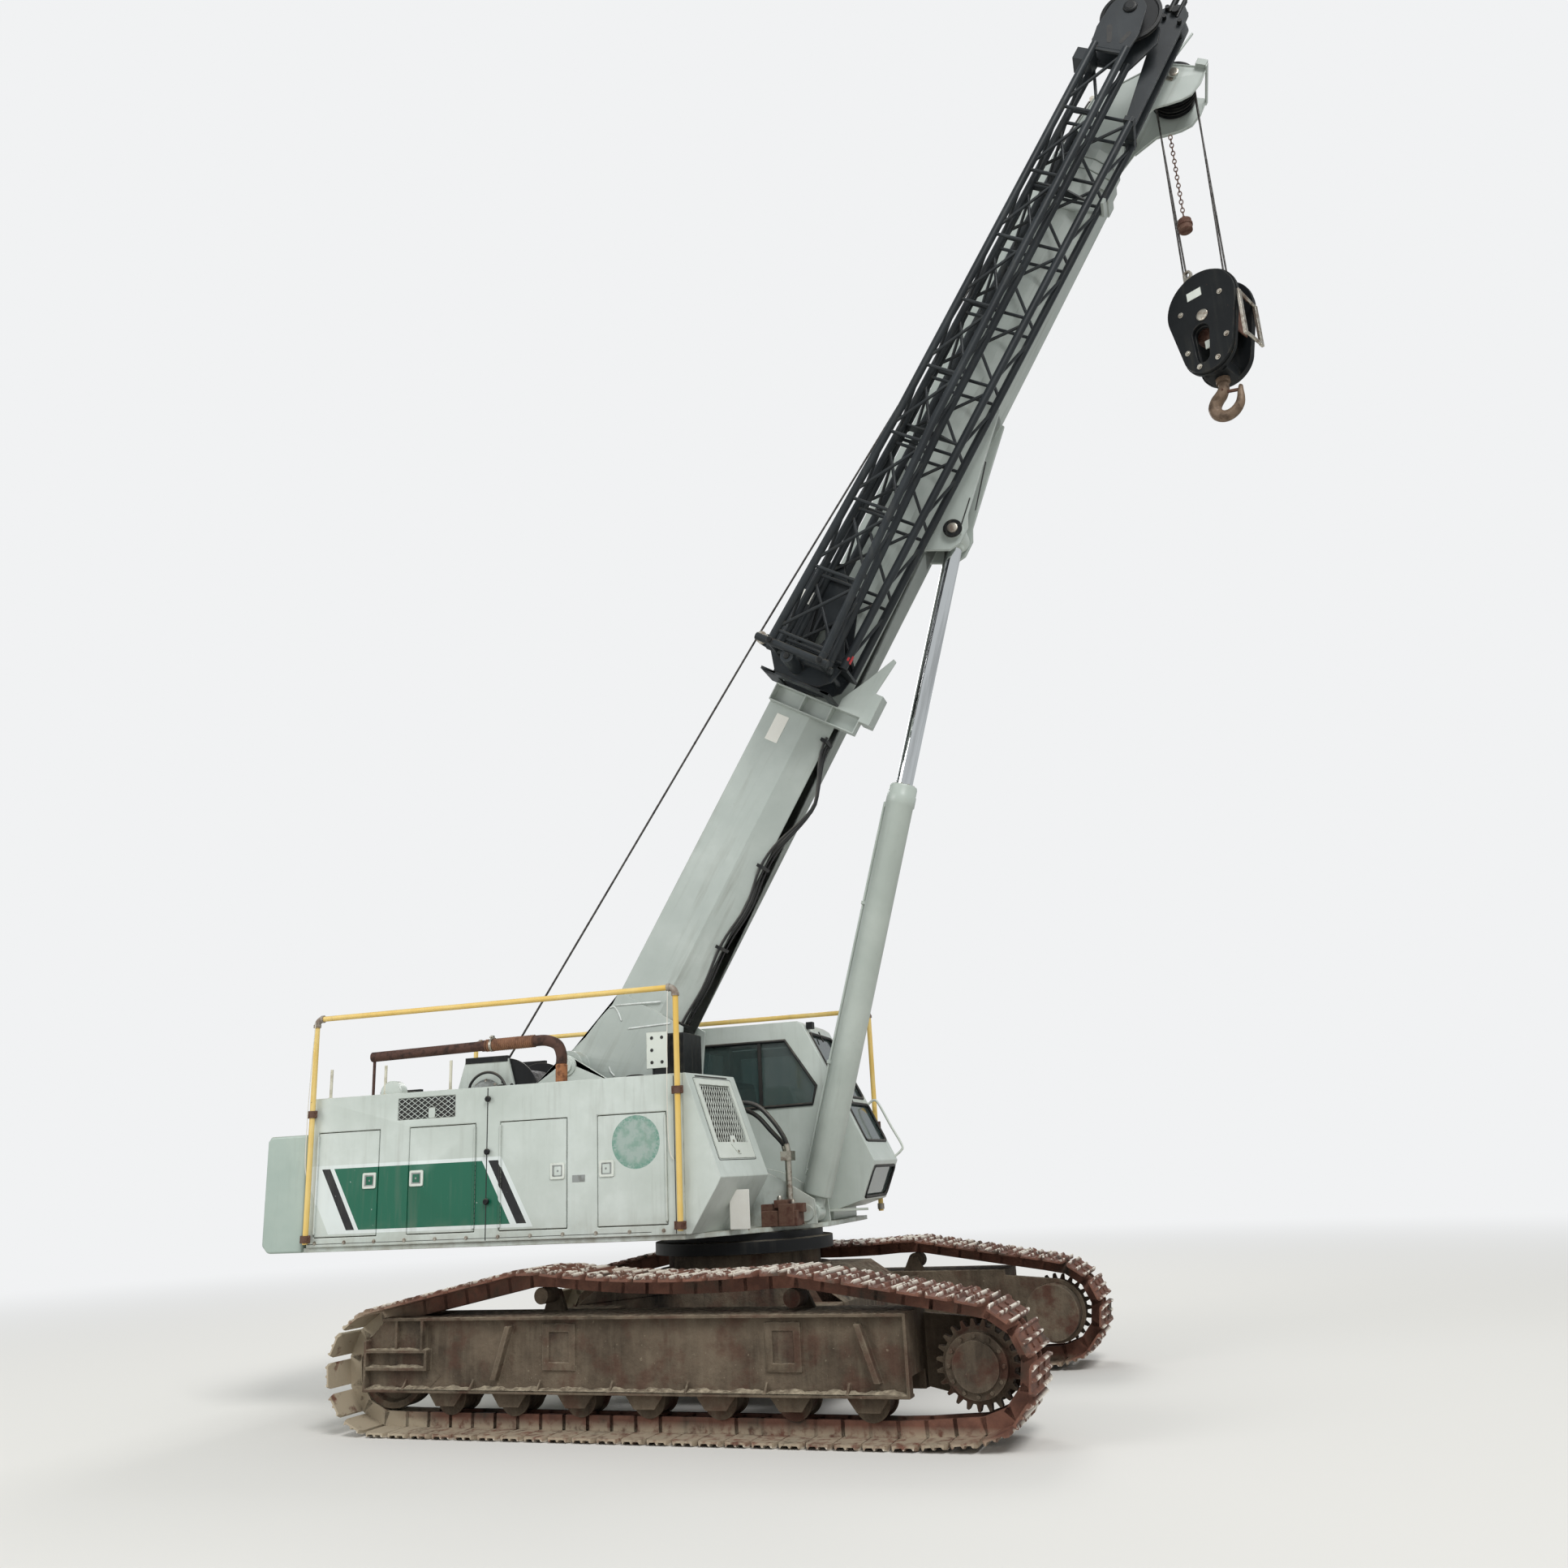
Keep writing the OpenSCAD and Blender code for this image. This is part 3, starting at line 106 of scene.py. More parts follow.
def linear(hue: Hue | str) -> tuple[float, float, float, float]:
    """Turns an sRGB hex colour into the linear colour that shaders take.

    Args:
        hue: A member of Hue or six hex digits.

    Returns:
        Red, green, blue and an alpha of 1.
    """
    digits = hue.value if isinstance(hue, Hue) else hue
    parts = [int(digits[i : i + 2], 16) / 255 for i in (0, 2, 4)]
    return (*[c / 12.92 if c <= 0.04045 else ((c + 0.055) / 1.055) ** 2.4 for c in parts], 1.0)


# ---------------------------------------------------------------- places


@dataclass(frozen=True)
class Place:
    """A local frame: the place of its origin and its three unit axes as columns."""

    origin: tuple[float, float, float]
    axes: np.ndarray

    def put(self, points: Points) -> np.ndarray:
        """Returns local points in the crane's own frame: each is turned by the axes, then moved."""
        return np.asarray(points, float) @ self.axes.T + np.array(self.origin)


def turned(axis: str, degrees: float) -> np.ndarray:
    """Returns the matrix of a turn about one axis.

    Args:
        axis: "X", "Y" or "Z".
        degrees: The turn, positive by the right hand.

    Returns:
        A 3 by 3 matrix.
    """
    return np.array(Matrix.Rotation(math.radians(degrees), 3, axis))


FULL = 2 * np.pi
# The sky and the far floor as the camera sees them.
BACKDROP = "F1F2F3"
# Solid profiles end a hair off their axis, so that their caps stay closed.
HAIR = 1e-4
# Points nearer to each other than this become one.
MERGE = 2e-5
# Degrees between two faces past which their edge is sharp.
SHARP = 38.0
# How far the slewing axis lies behind the middle of the crane's frame.
SLEW_BACK = 0.697
BOOM_ANGLE = 59.0
LIFT_ANGLE = 73.815
UPPER = Place((-SLEW_BACK, 0.0, 0.0), np.eye(3))
TRACKS = Place((-SLEW_BACK, 0.0, 0.0), turned("Z", -3.6))
BOOM = Place((-1.41 - SLEW_BACK, 0.0, 2.68), turned("Y", -BOOM_ANGLE))
LIFT = Place((0.617 - SLEW_BACK, 0.0, 1.385), turned("Y", -LIFT_ANGLE))
HANG = Place((4.1235, 0.0, 8.8393), np.eye(3))
BLOCK = Place(HANG.origin, turned("Z", -30))
CRANE = Place((0, 0, 0), np.eye(3))
PLACES = {
    None: CRANE,
    "hook_line": CRANE,
    "hook_block": BLOCK,
    "boom_base": BOOM,
    "boom_tip": BOOM,
    "lift_barrel": LIFT,
    "lift_rod": LIFT,
    "undercarriage": TRACKS,
}


# ---------------------------------------------------------------- shapes


class Shape:
    """Closed shells gathered for one piece, as points and faces."""

    def __init__(self) -> None:
        """Starts with nothing."""
        self.points: list[np.ndarray] = []
        self.faces: list[tuple[int, ...]] = []
        self.count = 0

    def add(self, points: np.ndarray, faces: Iterable[Sequence[int]]) -> "Shape":
        """Adds points and the faces that use them.

        Args:
            points: Points as rows of three numbers.
            faces: Index tuples or arrays of index rows, counted from the first of these points.

        Returns:
            The shape itself.
        """
        shift = self.count
        for face in faces:
            if isinstance(face, np.ndarray) and face.ndim == 2:
                self.faces.extend(map(tuple, (face + shift).tolist()))
            else:
                self.faces.append(tuple(int(i) + shift for i in face))
        self.points.append(np.asarray(points, float).reshape(-1, 3))
        self.count += len(self.points[-1])
        return self

    def join(self, other: "Shape") -> "Shape":
        """Adds a copy of another shape and returns this one."""
        return self.add(np.vstack(other.points), other.faces)


def wrapped(rows: int, columns: int) -> np.ndarray:
    """Quads between rows of points where each row closes on itself.

    Args:
        rows: Number of rows.
        columns: Points in each row.

    Returns:
        Index rows of four.
    """
    r, c = np.meshgrid(np.arange(rows - 1), np.arange(columns), indexing="ij")
    n = (c + 1) % columns
    quads = stack(r * columns + c, r * columns + n, (r + 1) * columns + n, (r + 1) * columns + c)
    return quads.reshape(-1, 4)


def stack(*columns: np.ndarray | float) -> np.ndarray:
    """Returns arrays and single numbers side by side, along a new last axis."""
    return np.stack(np.broadcast_arrays(*columns), -1)


def unit(vectors: np.ndarray) -> np.ndarray:
    """Returns rows of vectors, each divided by its length."""
    return vectors / np.linalg.norm(vectors, axis=1)[:, None]


def run_along(path: np.ndarray) -> np.ndarray:
    """Returns the length of a path from its start to each of its points."""
    return np.concatenate([[0], np.cumsum(np.linalg.norm(np.diff(path, axis=0), axis=1))])


def smooth_line(points: Points, steps: int = 8) -> np.ndarray:
    """Runs a Catmull-Rom curve through points: each span is the cubic whose ends aim at the neighbours.

    Args:
        points: At least two points of three numbers.
        steps: Points made for each span.

    Returns:
        The curve's points as rows.
    """
    p = np.asarray(points, float)
    p = np.vstack([2 * p[0] - p[1], p, 2 * p[-1] - p[-2]])
    t = np.linspace(0, 1, steps, endpoint=False)[None, :, None]
    a, b, c, d = (p[i : len(p) - 3 + i, None, :] for i in range(4))
    span = 0.5 * (2 * b + (c - a) * t + (2 * a - 5 * b + 4 * c - d) * t**2 + (3 * b - a - 3 * c + d) * t**3)
    return np.vstack([span.reshape(-1, 3), p[-2]])


def tube(path: Points, radius: float | np.ndarray, sides: int = 12,
         lobes: tuple[int, float, float] = (0, 0.0, 1.0)) -> Shape:
    """Carries a circle along a path: point = path + r (cos a * normal + sin a * binormal), with capped ends.

    The normal is square to the tangent and to the direction that the path turns towards least.

    Args:
        path: Points of the centre line.
        radius: One radius, or one for each point.
        sides: Points round the circle.
        lobes: Number of strands, share of the radius they stand out by, metres they take to go round.

    Returns:
        The closed tube.
    """
    p = np.asarray(path, float)
    tangent = unit(np.gradient(p, axis=0))
    least = np.linalg.svd(tangent)[2][-1]
    normal = unit(np.cross(tangent, least))
    binormal = np.cross(tangent, normal)
    turn = FULL * np.arange(sides) / sides
    r = np.broadcast_to(np.asarray(radius, float), (len(p),))[:, None]
    if lobes[0]:
        run = run_along(p)[:, None]
        r = r * (1 - lobes[1] * (1 - np.abs(np.cos(lobes[0] / 2 * (turn[None, :] + FULL * run / lobes[2])))))
    ring = r[..., None] * (np.cos(turn)[None, :, None] * normal[:, None]
                           + np.sin(turn)[None, :, None] * binormal[:, None])
    last = (len(p) - 1) * sides
    ends = [tuple(range(sides))[::-1], tuple(range(last, last + sides))]
    return Shape().add((p[:, None] + ring).reshape(-1, 3), [wrapped(len(p), sides), *ends])


def bars(starts: Points, ends: Points, radius: float | np.ndarray, sides: int = 10) -> Shape:
    """Straight round bars, all worked out at once: each point = end + r (cos a * u + sin a * v).

    Args:
        starts: First ends as rows.
        ends: Second ends as rows.
        radius: One radius, or one for each bar.
        sides: Points round each bar.

    Returns:
        The closed bars.
    """
    a, b = np.atleast_2d(np.asarray(starts, float)), np.atleast_2d(np.asarray(ends, float))
    along = unit(b - a)
    helper = np.where(np.abs(along[:, 2:3]) < 0.9, np.array([[0.0, 0.0, 1.0]]), np.array([[1.0, 0.0, 0.0]]))
    u = unit(np.cross(along, helper))
    v = np.cross(along, u)
    turn = FULL * (np.arange(sides) + 0.5) / sides
    r = np.broadcast_to(np.asarray(radius, float), (len(a),))[:, None, None]
    ring = r * (np.cos(turn)[None, :, None] * u[:, None] + np.sin(turn)[None, :, None] * v[:, None])
    points = np.stack([a[:, None] + ring, b[:, None] + ring], 1)
    made = Shape()
    caps = [tuple(range(sides))[::-1], tuple(range(sides, 2 * sides))]
    template = [*map(tuple, wrapped(2, sides).tolist()), *caps]
    for k in range(len(a)):
        made.add(points[k], template)
    return made


def turned_shape(profile: Points, centre: Sequence[float], axis: str = "Y", segments: int = 48) -> Shape:
    """Turns a profile of radius and place along an axis about that axis, with capped ends.

    Args:
        profile: Radius and place along the axis, in order.
        centre: Where the axis's zero is.
        axis: "X", "Y" or "Z".
        segments: Points round.

    Returns:
        The closed shape.
    """
    line = np.asarray(profile, float)
    turn = FULL * np.arange(segments) / segments
    r, h = line[:, :1], line[:, 1:] * np.ones((1, segments))
    c, s = r * np.cos(turn), r * np.sin(turn)
    order = {"X": (h, c, s), "Y": (s, h, c), "Z": (c, s, h)}[axis]
    points = np.stack(order, -1).reshape(-1, 3) + np.array(centre, float)
    last = (len(line) - 1) * segments
    if np.allclose(line[0], line[-1]):
        back = wrapped(2, segments)
        back = np.where(back < segments, back + last - segments, back - segments)
        return Shape().add(points[:last], [wrapped(len(line) - 1, segments), back])
    caps = [tuple(range(segments))[::-1], tuple(range(last, last + segments))]
    return Shape().add(points, [wrapped(len(line), segments), *caps])


def plug(profile: Points, centre: Sequence[float], axis: str = "Y", segments: int = 48) -> Shape:
    """Turns a profile into a solid piece: its ends are carried in, square to the axis, to a hair from it."""
    first, last = profile[0], profile[-1]
    return turned_shape([(HAIR, first[1]), *profile, (HAIR, last[1])], centre, axis, segments)


def hoop(profile: Points, centre: Sequence[float], axis: str = "Y", segments: int = 48) -> Shape:
    """Turns a profile into a ring: its last corner is joined back to its first."""
    return turned_shape([*profile, profile[0]], centre, axis, segments)


def prism(outline: Points, low: float, high: float, plane: str = "XZ") -> Shape:
    """Makes a flat outline thick: one copy of it at each end of the third axis, and walls between.

    Args:
        outline: Corners in the plane.
        low: Place of one end on the third axis.
        high: Place of the other end.
        plane: "XZ", "XY" or "YZ".

    Returns:
        The closed prism.
    """
    flat = np.asarray(outline, float)
    n = len(flat)
    a, b = flat[:, 0], flat[:, 1]
    ends = []
    for level in (low, high):
        c = np.full(n, level)
        ends.append(np.stack({"XZ": (a, c, b), "XY": (a, b, c), "YZ": (c, a, b)}[plane], -1))
    return Shape().add(np.vstack(ends), [wrapped(2, n), tuple(range(n))[::-1], tuple(range(n, 2 * n))])


def boxes(lows: Points, highs: Points) -> Shape:
    """Boxes from their lowest to their highest corners, all at once.

    Args:
        lows: Lowest corners as rows.
        highs: Highest corners as rows.

    Returns:
        The closed boxes.
    """
    lo, hi = np.atleast_2d(np.asarray(lows, float)), np.atleast_2d(np.asarray(highs, float))
    pick = np.array([[0, 0, 0], [1, 0, 0], [1, 1, 0], [0, 1, 0], [0, 0, 1], [1, 0, 1], [1, 1, 1], [0, 1, 1]])
    points = lo[:, None] + pick[None] * (hi - lo)[:, None]
    sides = np.array([[0, 3, 2, 1], [4, 5, 6, 7], [0, 1, 5, 4], [1, 2, 6, 5], [2, 3, 7, 6], [3, 0, 4, 7]])
    faces = (sides[None] + 8 * np.arange(len(lo))[:, None, None]).reshape(-1, 4)
    return Shape().add(points.reshape(-1, 3), [faces])


def bolts(centres: Points, out: Sequence[float], radius: float = 0.012, height: float = 0.009) -> Shape:
    """Hexagon heads on round washers, standing out from a face.

    Args:
        centres: Where each sits on the face.
        out: Direction away from the face.
        radius: Half the width over corners of a head.
        height: Height of a head.

    Returns:
        The closed heads and washers.
    """
    c, d = np.atleast_2d(np.asarray(centres, float)), np.asarray(out, float)
    d = d / np.linalg.norm(d)
    made = bars(c - d * 0.002, c + d * height, radius, 6)
    return made.join(bars(c - d * 0.002, c + d * height * 0.3, radius * 1.45, 12))


def ring_of(centre: Sequence[float], radius: float, count: int, y: float, offset: float = 0.0) -> np.ndarray:
    """Places on a circle in the XZ plane: centre + radius (cos a, sin a) for evenly spaced a."""
    a = FULL * (np.arange(count) + offset) / count
    return stack(centre[0] + radius * np.cos(a), y, centre[1] + radius * np.sin(a))


def expanded_metal(origin: Sequence[float], across: Sequence[float], up: Sequence[float],
                   size: tuple[float, float], cell: tuple[float, float], strand: float,
                   lean: float = 0.0) -> Shape:
    """A sheet of nested diamonds, each a frame between its outer corners and its hole, cut off at the edges.

    Args:
        origin: Lower corner of the sheet.
        across: Unit direction of its width.
        up: Unit direction of its height.
        size: Width and height.
        cell: Width and height of one diamond.
        strand: Share of a diamond that its metal takes, from its edge inward.
        lean: Width gained for each metre of height.

    Returns:
        The open sheet, one layer thick.
    """
    w, h = cell
    k = np.arange(-1 - int(2 * abs(lean) * size[1] / w), 2 * int(size[0] / w) + 4)
    m = np.arange(-1, 2 * int(size[1] / h) + 4)
    ki, mi = (g.ravel() for g in np.meshgrid(k, m, indexing="ij"))
    keep = (ki + mi) % 2 == 0
    middle = stack(ki[keep] * w / 2 + lean * mi[keep] * h / 2, mi[keep] * h / 2)
    inside = ((middle > -np.array(cell) * 0.45) & (middle < np.array(size) + np.array(cell) * 0.45)).all(1)
    middle = middle[inside]
    corner = np.array([[w / 2, 0], [lean * h / 2, h / 2], [-w / 2, 0], [-lean * h / 2, -h / 2]])
    flat = np.concatenate([middle[:, None] + corner, middle[:, None] + corner * (1 - strand)], 1)
    flat = np.clip(flat, 0, np.array(size))
    points = np.array(origin) + flat[..., :1] * np.array(across) + flat[..., 1:] * np.array(up)
    side = np.array([[i, (i + 1) % 4, 4 + (i + 1) % 4, 4 + i] for i in range(4)])
    faces = (side[None] + 8 * np.arange(len(middle))[:, None, None]).reshape(-1, 4)
    return Shape().add(points.reshape(-1, 3), [faces])


def hull_outline(circles: Sequence[tuple[float, float, float]], count: int = 64) -> np.ndarray:
    """Outline of a band stretched round circles: in each direction n, the furthest circle gives c + r n.

    Args:
        circles: Centre and radius of each.
        count: Points round, the same for every outline that is joined to this one.

    Returns:
        The points as rows of two.
    """
    a = FULL * np.arange(count) / count
    n = stack(np.cos(a), np.sin(a))
    c = np.asarray(circles, float)
    reach = n @ c[:, :2].T + c[:, 2]
    best = reach.argmax(1)
    return c[best, :2] + c[best, 2:] * n


def frame_plate(outer: np.ndarray, inner: np.ndarray, low: float, high: float, plane: str = "XZ") -> Shape:
    """A plate with a hole: walls along two outlines of equal count, and quads between them on both faces.

    Args:
        outer: Outer corners.
        inner: Corners of the hole, matched to the outer ones.
        low: Place of one face on the third axis.
        high: Place of the other face.
        plane: "XZ", "XY" or "YZ".

    Returns:
        The closed plate.
    """
    outer, inner = np.asarray(outer, float), np.asarray(inner, float)
    n = len(outer)
    rings = []
    for line, level in ((outer, low), (outer, high), (inner, high), (inner, low)):
        a, b, c = line[:, 0], line[:, 1], np.full(n, level)
        rings.append(np.stack({"XZ": (a, c, b), "XY": (a, b, c), "YZ": (c, a, b)}[plane], -1))
    i = np.arange(n)
    j = (i + 1) % n
    faces = np.vstack([stack(k * n + i, k * n + j, (k + 1) % 4 * n + j, (k + 1) % 4 * n + i)
                       for k in range(4)])
    return Shape().add(np.vstack(rings), [faces])


def oblong(x0: float, z0: float, x1: float, z1: float, radius: float = 0.0, steps: int = 4) -> np.ndarray:
    """Outline of a rectangle whose corners are quarter circles of one radius."""
    a = np.linspace(0, np.pi / 2, steps)
    corners = []
    right, left, top, bottom = x1 - radius, x0 + radius, z1 - radius, z0 + radius
    for k, (x, z) in enumerate(((right, top), (left, top), (left, bottom), (right, bottom))):
        turn = a + k * np.pi / 2
        corners.append(stack(x + radius * np.cos(turn), z + radius * np.sin(turn)))
    return np.vstack(corners)


def rope(path: Points, radius: float = 0.009, spacing: float = 0.02) -> Shape:
    """Six-strand wire rope: a tube whose radius dips between strands that go round every 12 radii.

    Args:
        path: Points of the centre line.
        radius: Radius over the strands.
        spacing: Metres between rings.

    Returns:
        The closed rope.
    """
    p = np.asarray(path, float)
    run = run_along(p)
    s = np.linspace(0, run[-1], max(2, int(run[-1] / spacing)))
    even = np.stack([np.interp(s, run, p[:, k]) for k in range(3)], -1)
    return tube(even, radius, 18, (6, 0.2, radius * 12))


def eye(centre: tuple[float, float], radius: float, bore: float, half: float) -> Shape:
    """Ring about a pin that lies along Y."""
    c = 0.006
    return hoop([(bore, -half), (radius - c, -half), (radius, -half + c), (radius, half - c),
                 (radius - c, half), (bore, half)], (centre[0], 0, centre[1]))


def pin_cap(x: float, z: float, y: float, out: int, radius: float, height: float) -> Shape:
    """Rounded cap on a pin's end, standing out from a face along Y."""
    h = out * height
    return plug([(radius, y), (radius, y + h * 0.6), (radius * 0.9, y + h * 0.92), (radius * 0.75, y + h)],
                (x, 0, z))


# ---------------------------------------------------------------- finishes


class Layers:
    """A node tree, with the layers that every finish is built from."""

    def __init__(self, tree: Tree, shader: Node | None = None) -> None:
        """Starts on an empty tree.

        Args:
            tree: The node tree of a material or a world.
            shader: The Principled shader that a finish sets.
        """
        self.tree, self.shader = tree, shader
        self.where: Socket | None = None

    def put(self, socket: Socket, value: object) -> None:
        """Links a socket to another one, or sets its value; a colour may be a Hue or six hex digits."""
        if isinstance(value, Socket):
            self.tree.links.new(value, socket)
        else:
            socket.default_value = linear(value) if isinstance(value, (Hue, str)) else value

    def set(self, name: str, value: object) -> None:
        """Links or sets one of the shader's sockets."""
        self.put(self.shader.inputs[name], value)

    def add(self, kind: str, inputs: dict | None = None, **settings: object) -> Node:
        """Adds a shader node, sets it and links it.

        Args:
            kind: The node's type name without its first word.
            inputs: Values or output sockets by the input's name or number.
            **settings: The node's own properties.

        Returns:
            The node.
        """
        made = self.tree.nodes.new(f"ShaderNode{kind}")
        for name, value in settings.items():
            setattr(made, name, value)
        for key, value in (inputs or {}).items():
            self.put(made.inputs[key], value)
        return made

    def ramp(self, value: Socket, low: float = 0.0, high: float = 1.0, start: float = 0.0,
             end: float = 1.0) -> Socket:
        """Carries a value between two levels to one between a start and an end, and holds it outside."""
        levels = {"Value": value, "From Min": low, "From Max": high, "To Min": start, "To Max": end}
        return self.add("MapRange", levels).outputs[0]

    def patches(self, size_mm: float, low: float, high: float, detail: float = 4.0,
                stretch: tuple[float, float, float] = (1, 1, 1), where: Socket | None = None) -> Socket:
        """Soft-edged patches: noise of one real size, cut between two levels.

        Args:
            size_mm: Size of a patch.
            low: Noise level where a patch starts.
            high: Noise level where it is full.
            detail: Finer layers in the noise.
            stretch: How much the pattern is drawn together along each axis.
            where: Coordinates in metres, or None for the finish's own.

        Returns:
            A socket from 0 to 1.
        """
        drawn = self.add("Mapping", {"Vector": where or self.where, "Scale": stretch}).outputs[0]
        noise = {"Vector": drawn, "Scale": 1000 / size_mm, "Detail": detail, "Roughness": 0.6}
        return self.ramp(self.add("TexNoise", noise).outputs[0], low, high)

    def over(self, below: object, above: object, share: object) -> Socket:
        """Lays one colour over another by a share from 0 to 1; each may be a socket."""
        return self.add("Mix", {0: share, 6: below, 7: above}, data_type="RGBA").outputs[2]

    def times(self, a: object, b: object, operation: str = "MULTIPLY") -> Socket:
        """Joins two numbers by one operation, clamped to 0 to 1."""
        return self.add("Math", {0: a, 1: b}, operation=operation, use_clamp=True).outputs[0]

    def edges(self, reach_mm: float) -> Socket:
        """How near a sharp edge is: 1 less the dot product of the true normal and a rounded one."""
        rounded = self.add("Bevel", {"Radius": reach_mm / 1000}, samples=4)
        true = self.add("NewGeometry")
        dot = self.add("VectorMath", {0: rounded.outputs[0], 1: true.outputs["Normal"]},
                       operation="DOT_PRODUCT")
        return self.ramp(dot.outputs["Value"], 0.995, 0.8)

    def tops(self, low: float = 0.5, high: float = 0.95) -> Socket:
        """How far a face looks up, from 0 at one level of the normal's Z to 1 at another."""
        normal = self.add("NewGeometry").outputs["Normal"]
        return self.ramp(self.add("SeparateXYZ", {0: normal}).outputs[2], low, high)

    def relief(self, *heights: tuple[Socket, float]) -> None:
        """Stacks bumps, each a height socket and its depth in millimetres, on the shader's normal."""
        below = None
        for height, depth in heights:
            inputs = {"Height": height, "Distance": depth / 1000, "Strength": 1.0}
            if below:
                inputs["Normal"] = below
            below = self.add("Bump", inputs).outputs[0]
        self.set("Normal", below)


@dataclass(frozen=True)
class Finish:
    """A surface finish and the record's slot that it goes with; each kind below fills in its own shader."""

    name: str
    slot: str = "paint"

    def material(self) -> bpy.types.Material:
        """Returns the material, made on its first use."""
        found = bpy.data.materials.get(self.name)
        if found:
            return found
        made = bpy.data.materials.new(self.name)
        made.use_nodes = True
        made.node_tree.nodes.clear()
        mix = Layers(made.node_tree)
        mix.shader = mix.add("BsdfPrincipled")
        mix.add("OutputMaterial", {"Surface": mix.shader.outputs[0]})
        self.dress(mix)
        return made

    def dress(self, mix: Layers) -> None:
        """Sets the sockets of the shader in the layers given."""
        raise NotImplementedError


@dataclass(frozen=True)
class WeatheredPaint(Finish):
    """Enamel sprayed on steel plate, chalked by the sun, with rain streaks, chips and splashed mud."""

    coat: Hue | str = Hue.COAT
    chalk: Hue | str = Hue.CHALK
    gloss: float = 0.36
    streak: float = 0.35
    tilt: float = 0.0
    chips: float = 0.35
    grime: float = 0.5
    splash: float = 0.0
    livery: bool = False
    specular: float = 0.5

    def bands(self, mix: Layers, where: Socket, colour: Socket, worn: Socket) -> Socket:
        """Paints the slanted band, its two stripes and the round sun-bleached patch on the engine house.

        Each bar keeps x + BAR_LEAN (z - BAR_LEVEL) between two values, and z between two heights.

        Args:
            mix: The layers.
            where: Coordinates in metres.
            colour: The paint underneath.
            worn: Where the bands have chipped off.

        Returns:
            The colour socket.
        """
        parts = mix.add("SeparateXYZ", {0: where})
        lean = mix.add("Math", {0: parts.outputs[2], 1: BAR_LEAN, 2: parts.outputs[0]},
                       operation="MULTIPLY_ADD")
        for low, high, bottom, top, hue in LIVERY:
            across = (low + high) / 2 + BAR_LEAN * BAR_LEVEL - SLEW_BACK
            bar = mix.add("Math", {0: lean.outputs[0], 1: across, 2: (high - low) / 2}, operation="COMPARE")
            tall = mix.add("Math", {0: parts.outputs[2], 1: (bottom + top) / 2, 2: (top - bottom) / 2},
                            operation="COMPARE")
            inside = mix.times(bar.outputs[0], tall.outputs[0])
            colour = mix.over(colour, hue, mix.times(inside, worn))
        centred = mix.add("Mapping", {"Vector": where, "Location": (0.42 + SLEW_BACK, 0, -1.99),
                                      "Scale": (1, 0, 1)})
        far = mix.add("VectorMath", {0: centred.outputs[0]}, operation="LENGTH")
        disc = mix.add("Math", {0: far.outputs["Value"], 1: 0.2}, operation="LESS_THAN")
        bleached = mix.over(Hue.FADED_GREEN, "98A8A0", mix.patches(85, 0.4, 0.56, 6, where=where))
        rim = mix.ramp(far.outputs["Value"], 0.15, 0.18)
        bleached = mix.over(bleached, "648F7F", mix.times(rim, mix.patches(16, 0.4, 0.6, 3, where=where)))
        return mix.over(colour, bleached, disc.outputs[0])

    def dress(self, mix: Layers) -> None:
        """Sets the shader: colour from the layers, roughness from the dirt, relief from the spray."""
        object_space = mix.add("TexCoord").outputs["Object"]
        tilt = (0, math.radians(self.tilt), 0)
        mix.where = mix.add("Mapping", {"Vector": object_space, "Rotation": tilt}).outputs[0]
        run = (0.07, 1.0, 1.0) if self.tilt else (1.0, 1.0, 0.07)
        colour = mix.over(self.coat, self.chalk, mix.patches(900, 0.36, 0.66, 5))
        mottle = mix.patches(120, 0.35, 0.75, 6)
        colour = mix.over(colour, self.coat, mix.times(mottle, 0.5))
        worn = mix.times(1.0, mix.patches(35, 0.7, 0.74, 8), "SUBTRACT")
        if self.livery:
            colour = self.bands(mix, object_space, colour, worn)
        streaks = mix.patches(60, 0.52, 0.8, 6, run)
        film = mix.times(streaks, mix.patches(700, 0.4, 0.6))
        colour = mix.over(colour, Hue.GRIME, mix.times(film, self.streak))
        near = mix.edges(16)
        settled = mix.times(near, mix.patches(90, 0.42, 0.62, 6))
        colour = mix.over(colour, Hue.GRIME, mix.times(settled, self.grime))
        dust = mix.times(mix.tops(), mix.patches(260, 0.3, 0.6, 6))
        colour = mix.over(colour, Hue.CLAY, mix.times(dust, 0.4))
        spots = mix.patches(22, 0.685, 0.71, 8)
        cluster = mix.patches(420, 0.52, 0.62)
        flakes = mix.times(spots, cluster)
        rubbed = mix.times(near, mix.patches(30, 0.6, 0.66, 8))
        rust = mix.times(mix.times(flakes, rubbed, "ADD"), self.chips)
        colour = mix.over(colour, Hue.RUST, rust)
        if self.splash:
            height = mix.add("SeparateXYZ", {0: object_space}).outputs[2]
            low = mix.ramp(height, self.splash, self.splash - 0.35)
            mud = mix.times(low, mix.patches(160, 0.42, 0.6, 8))
            colour = mix.over(colour, "8C8777", mix.times(mud, 0.55))
        mix.set("Base Color", colour)
        dull = mix.times(film, rust, "ADD")
        mix.set("Roughness", mix.ramp(dull, start=self.gloss, end=min(0.9, self.gloss + 0.35)))
        mix.set("Specular IOR Level", self.specular)
        waves = mix.patches(420, 0.2, 0.8, 2)
        peel = mix.patches(5, 0.2, 0.8, 2)
        mix.relief((waves, 2.0), (peel, 0.05), (mix.times(1.0, rust, "SUBTRACT"), 0.5))


BAR_LEAN = 0.53
BAR_LEVEL = 1.67
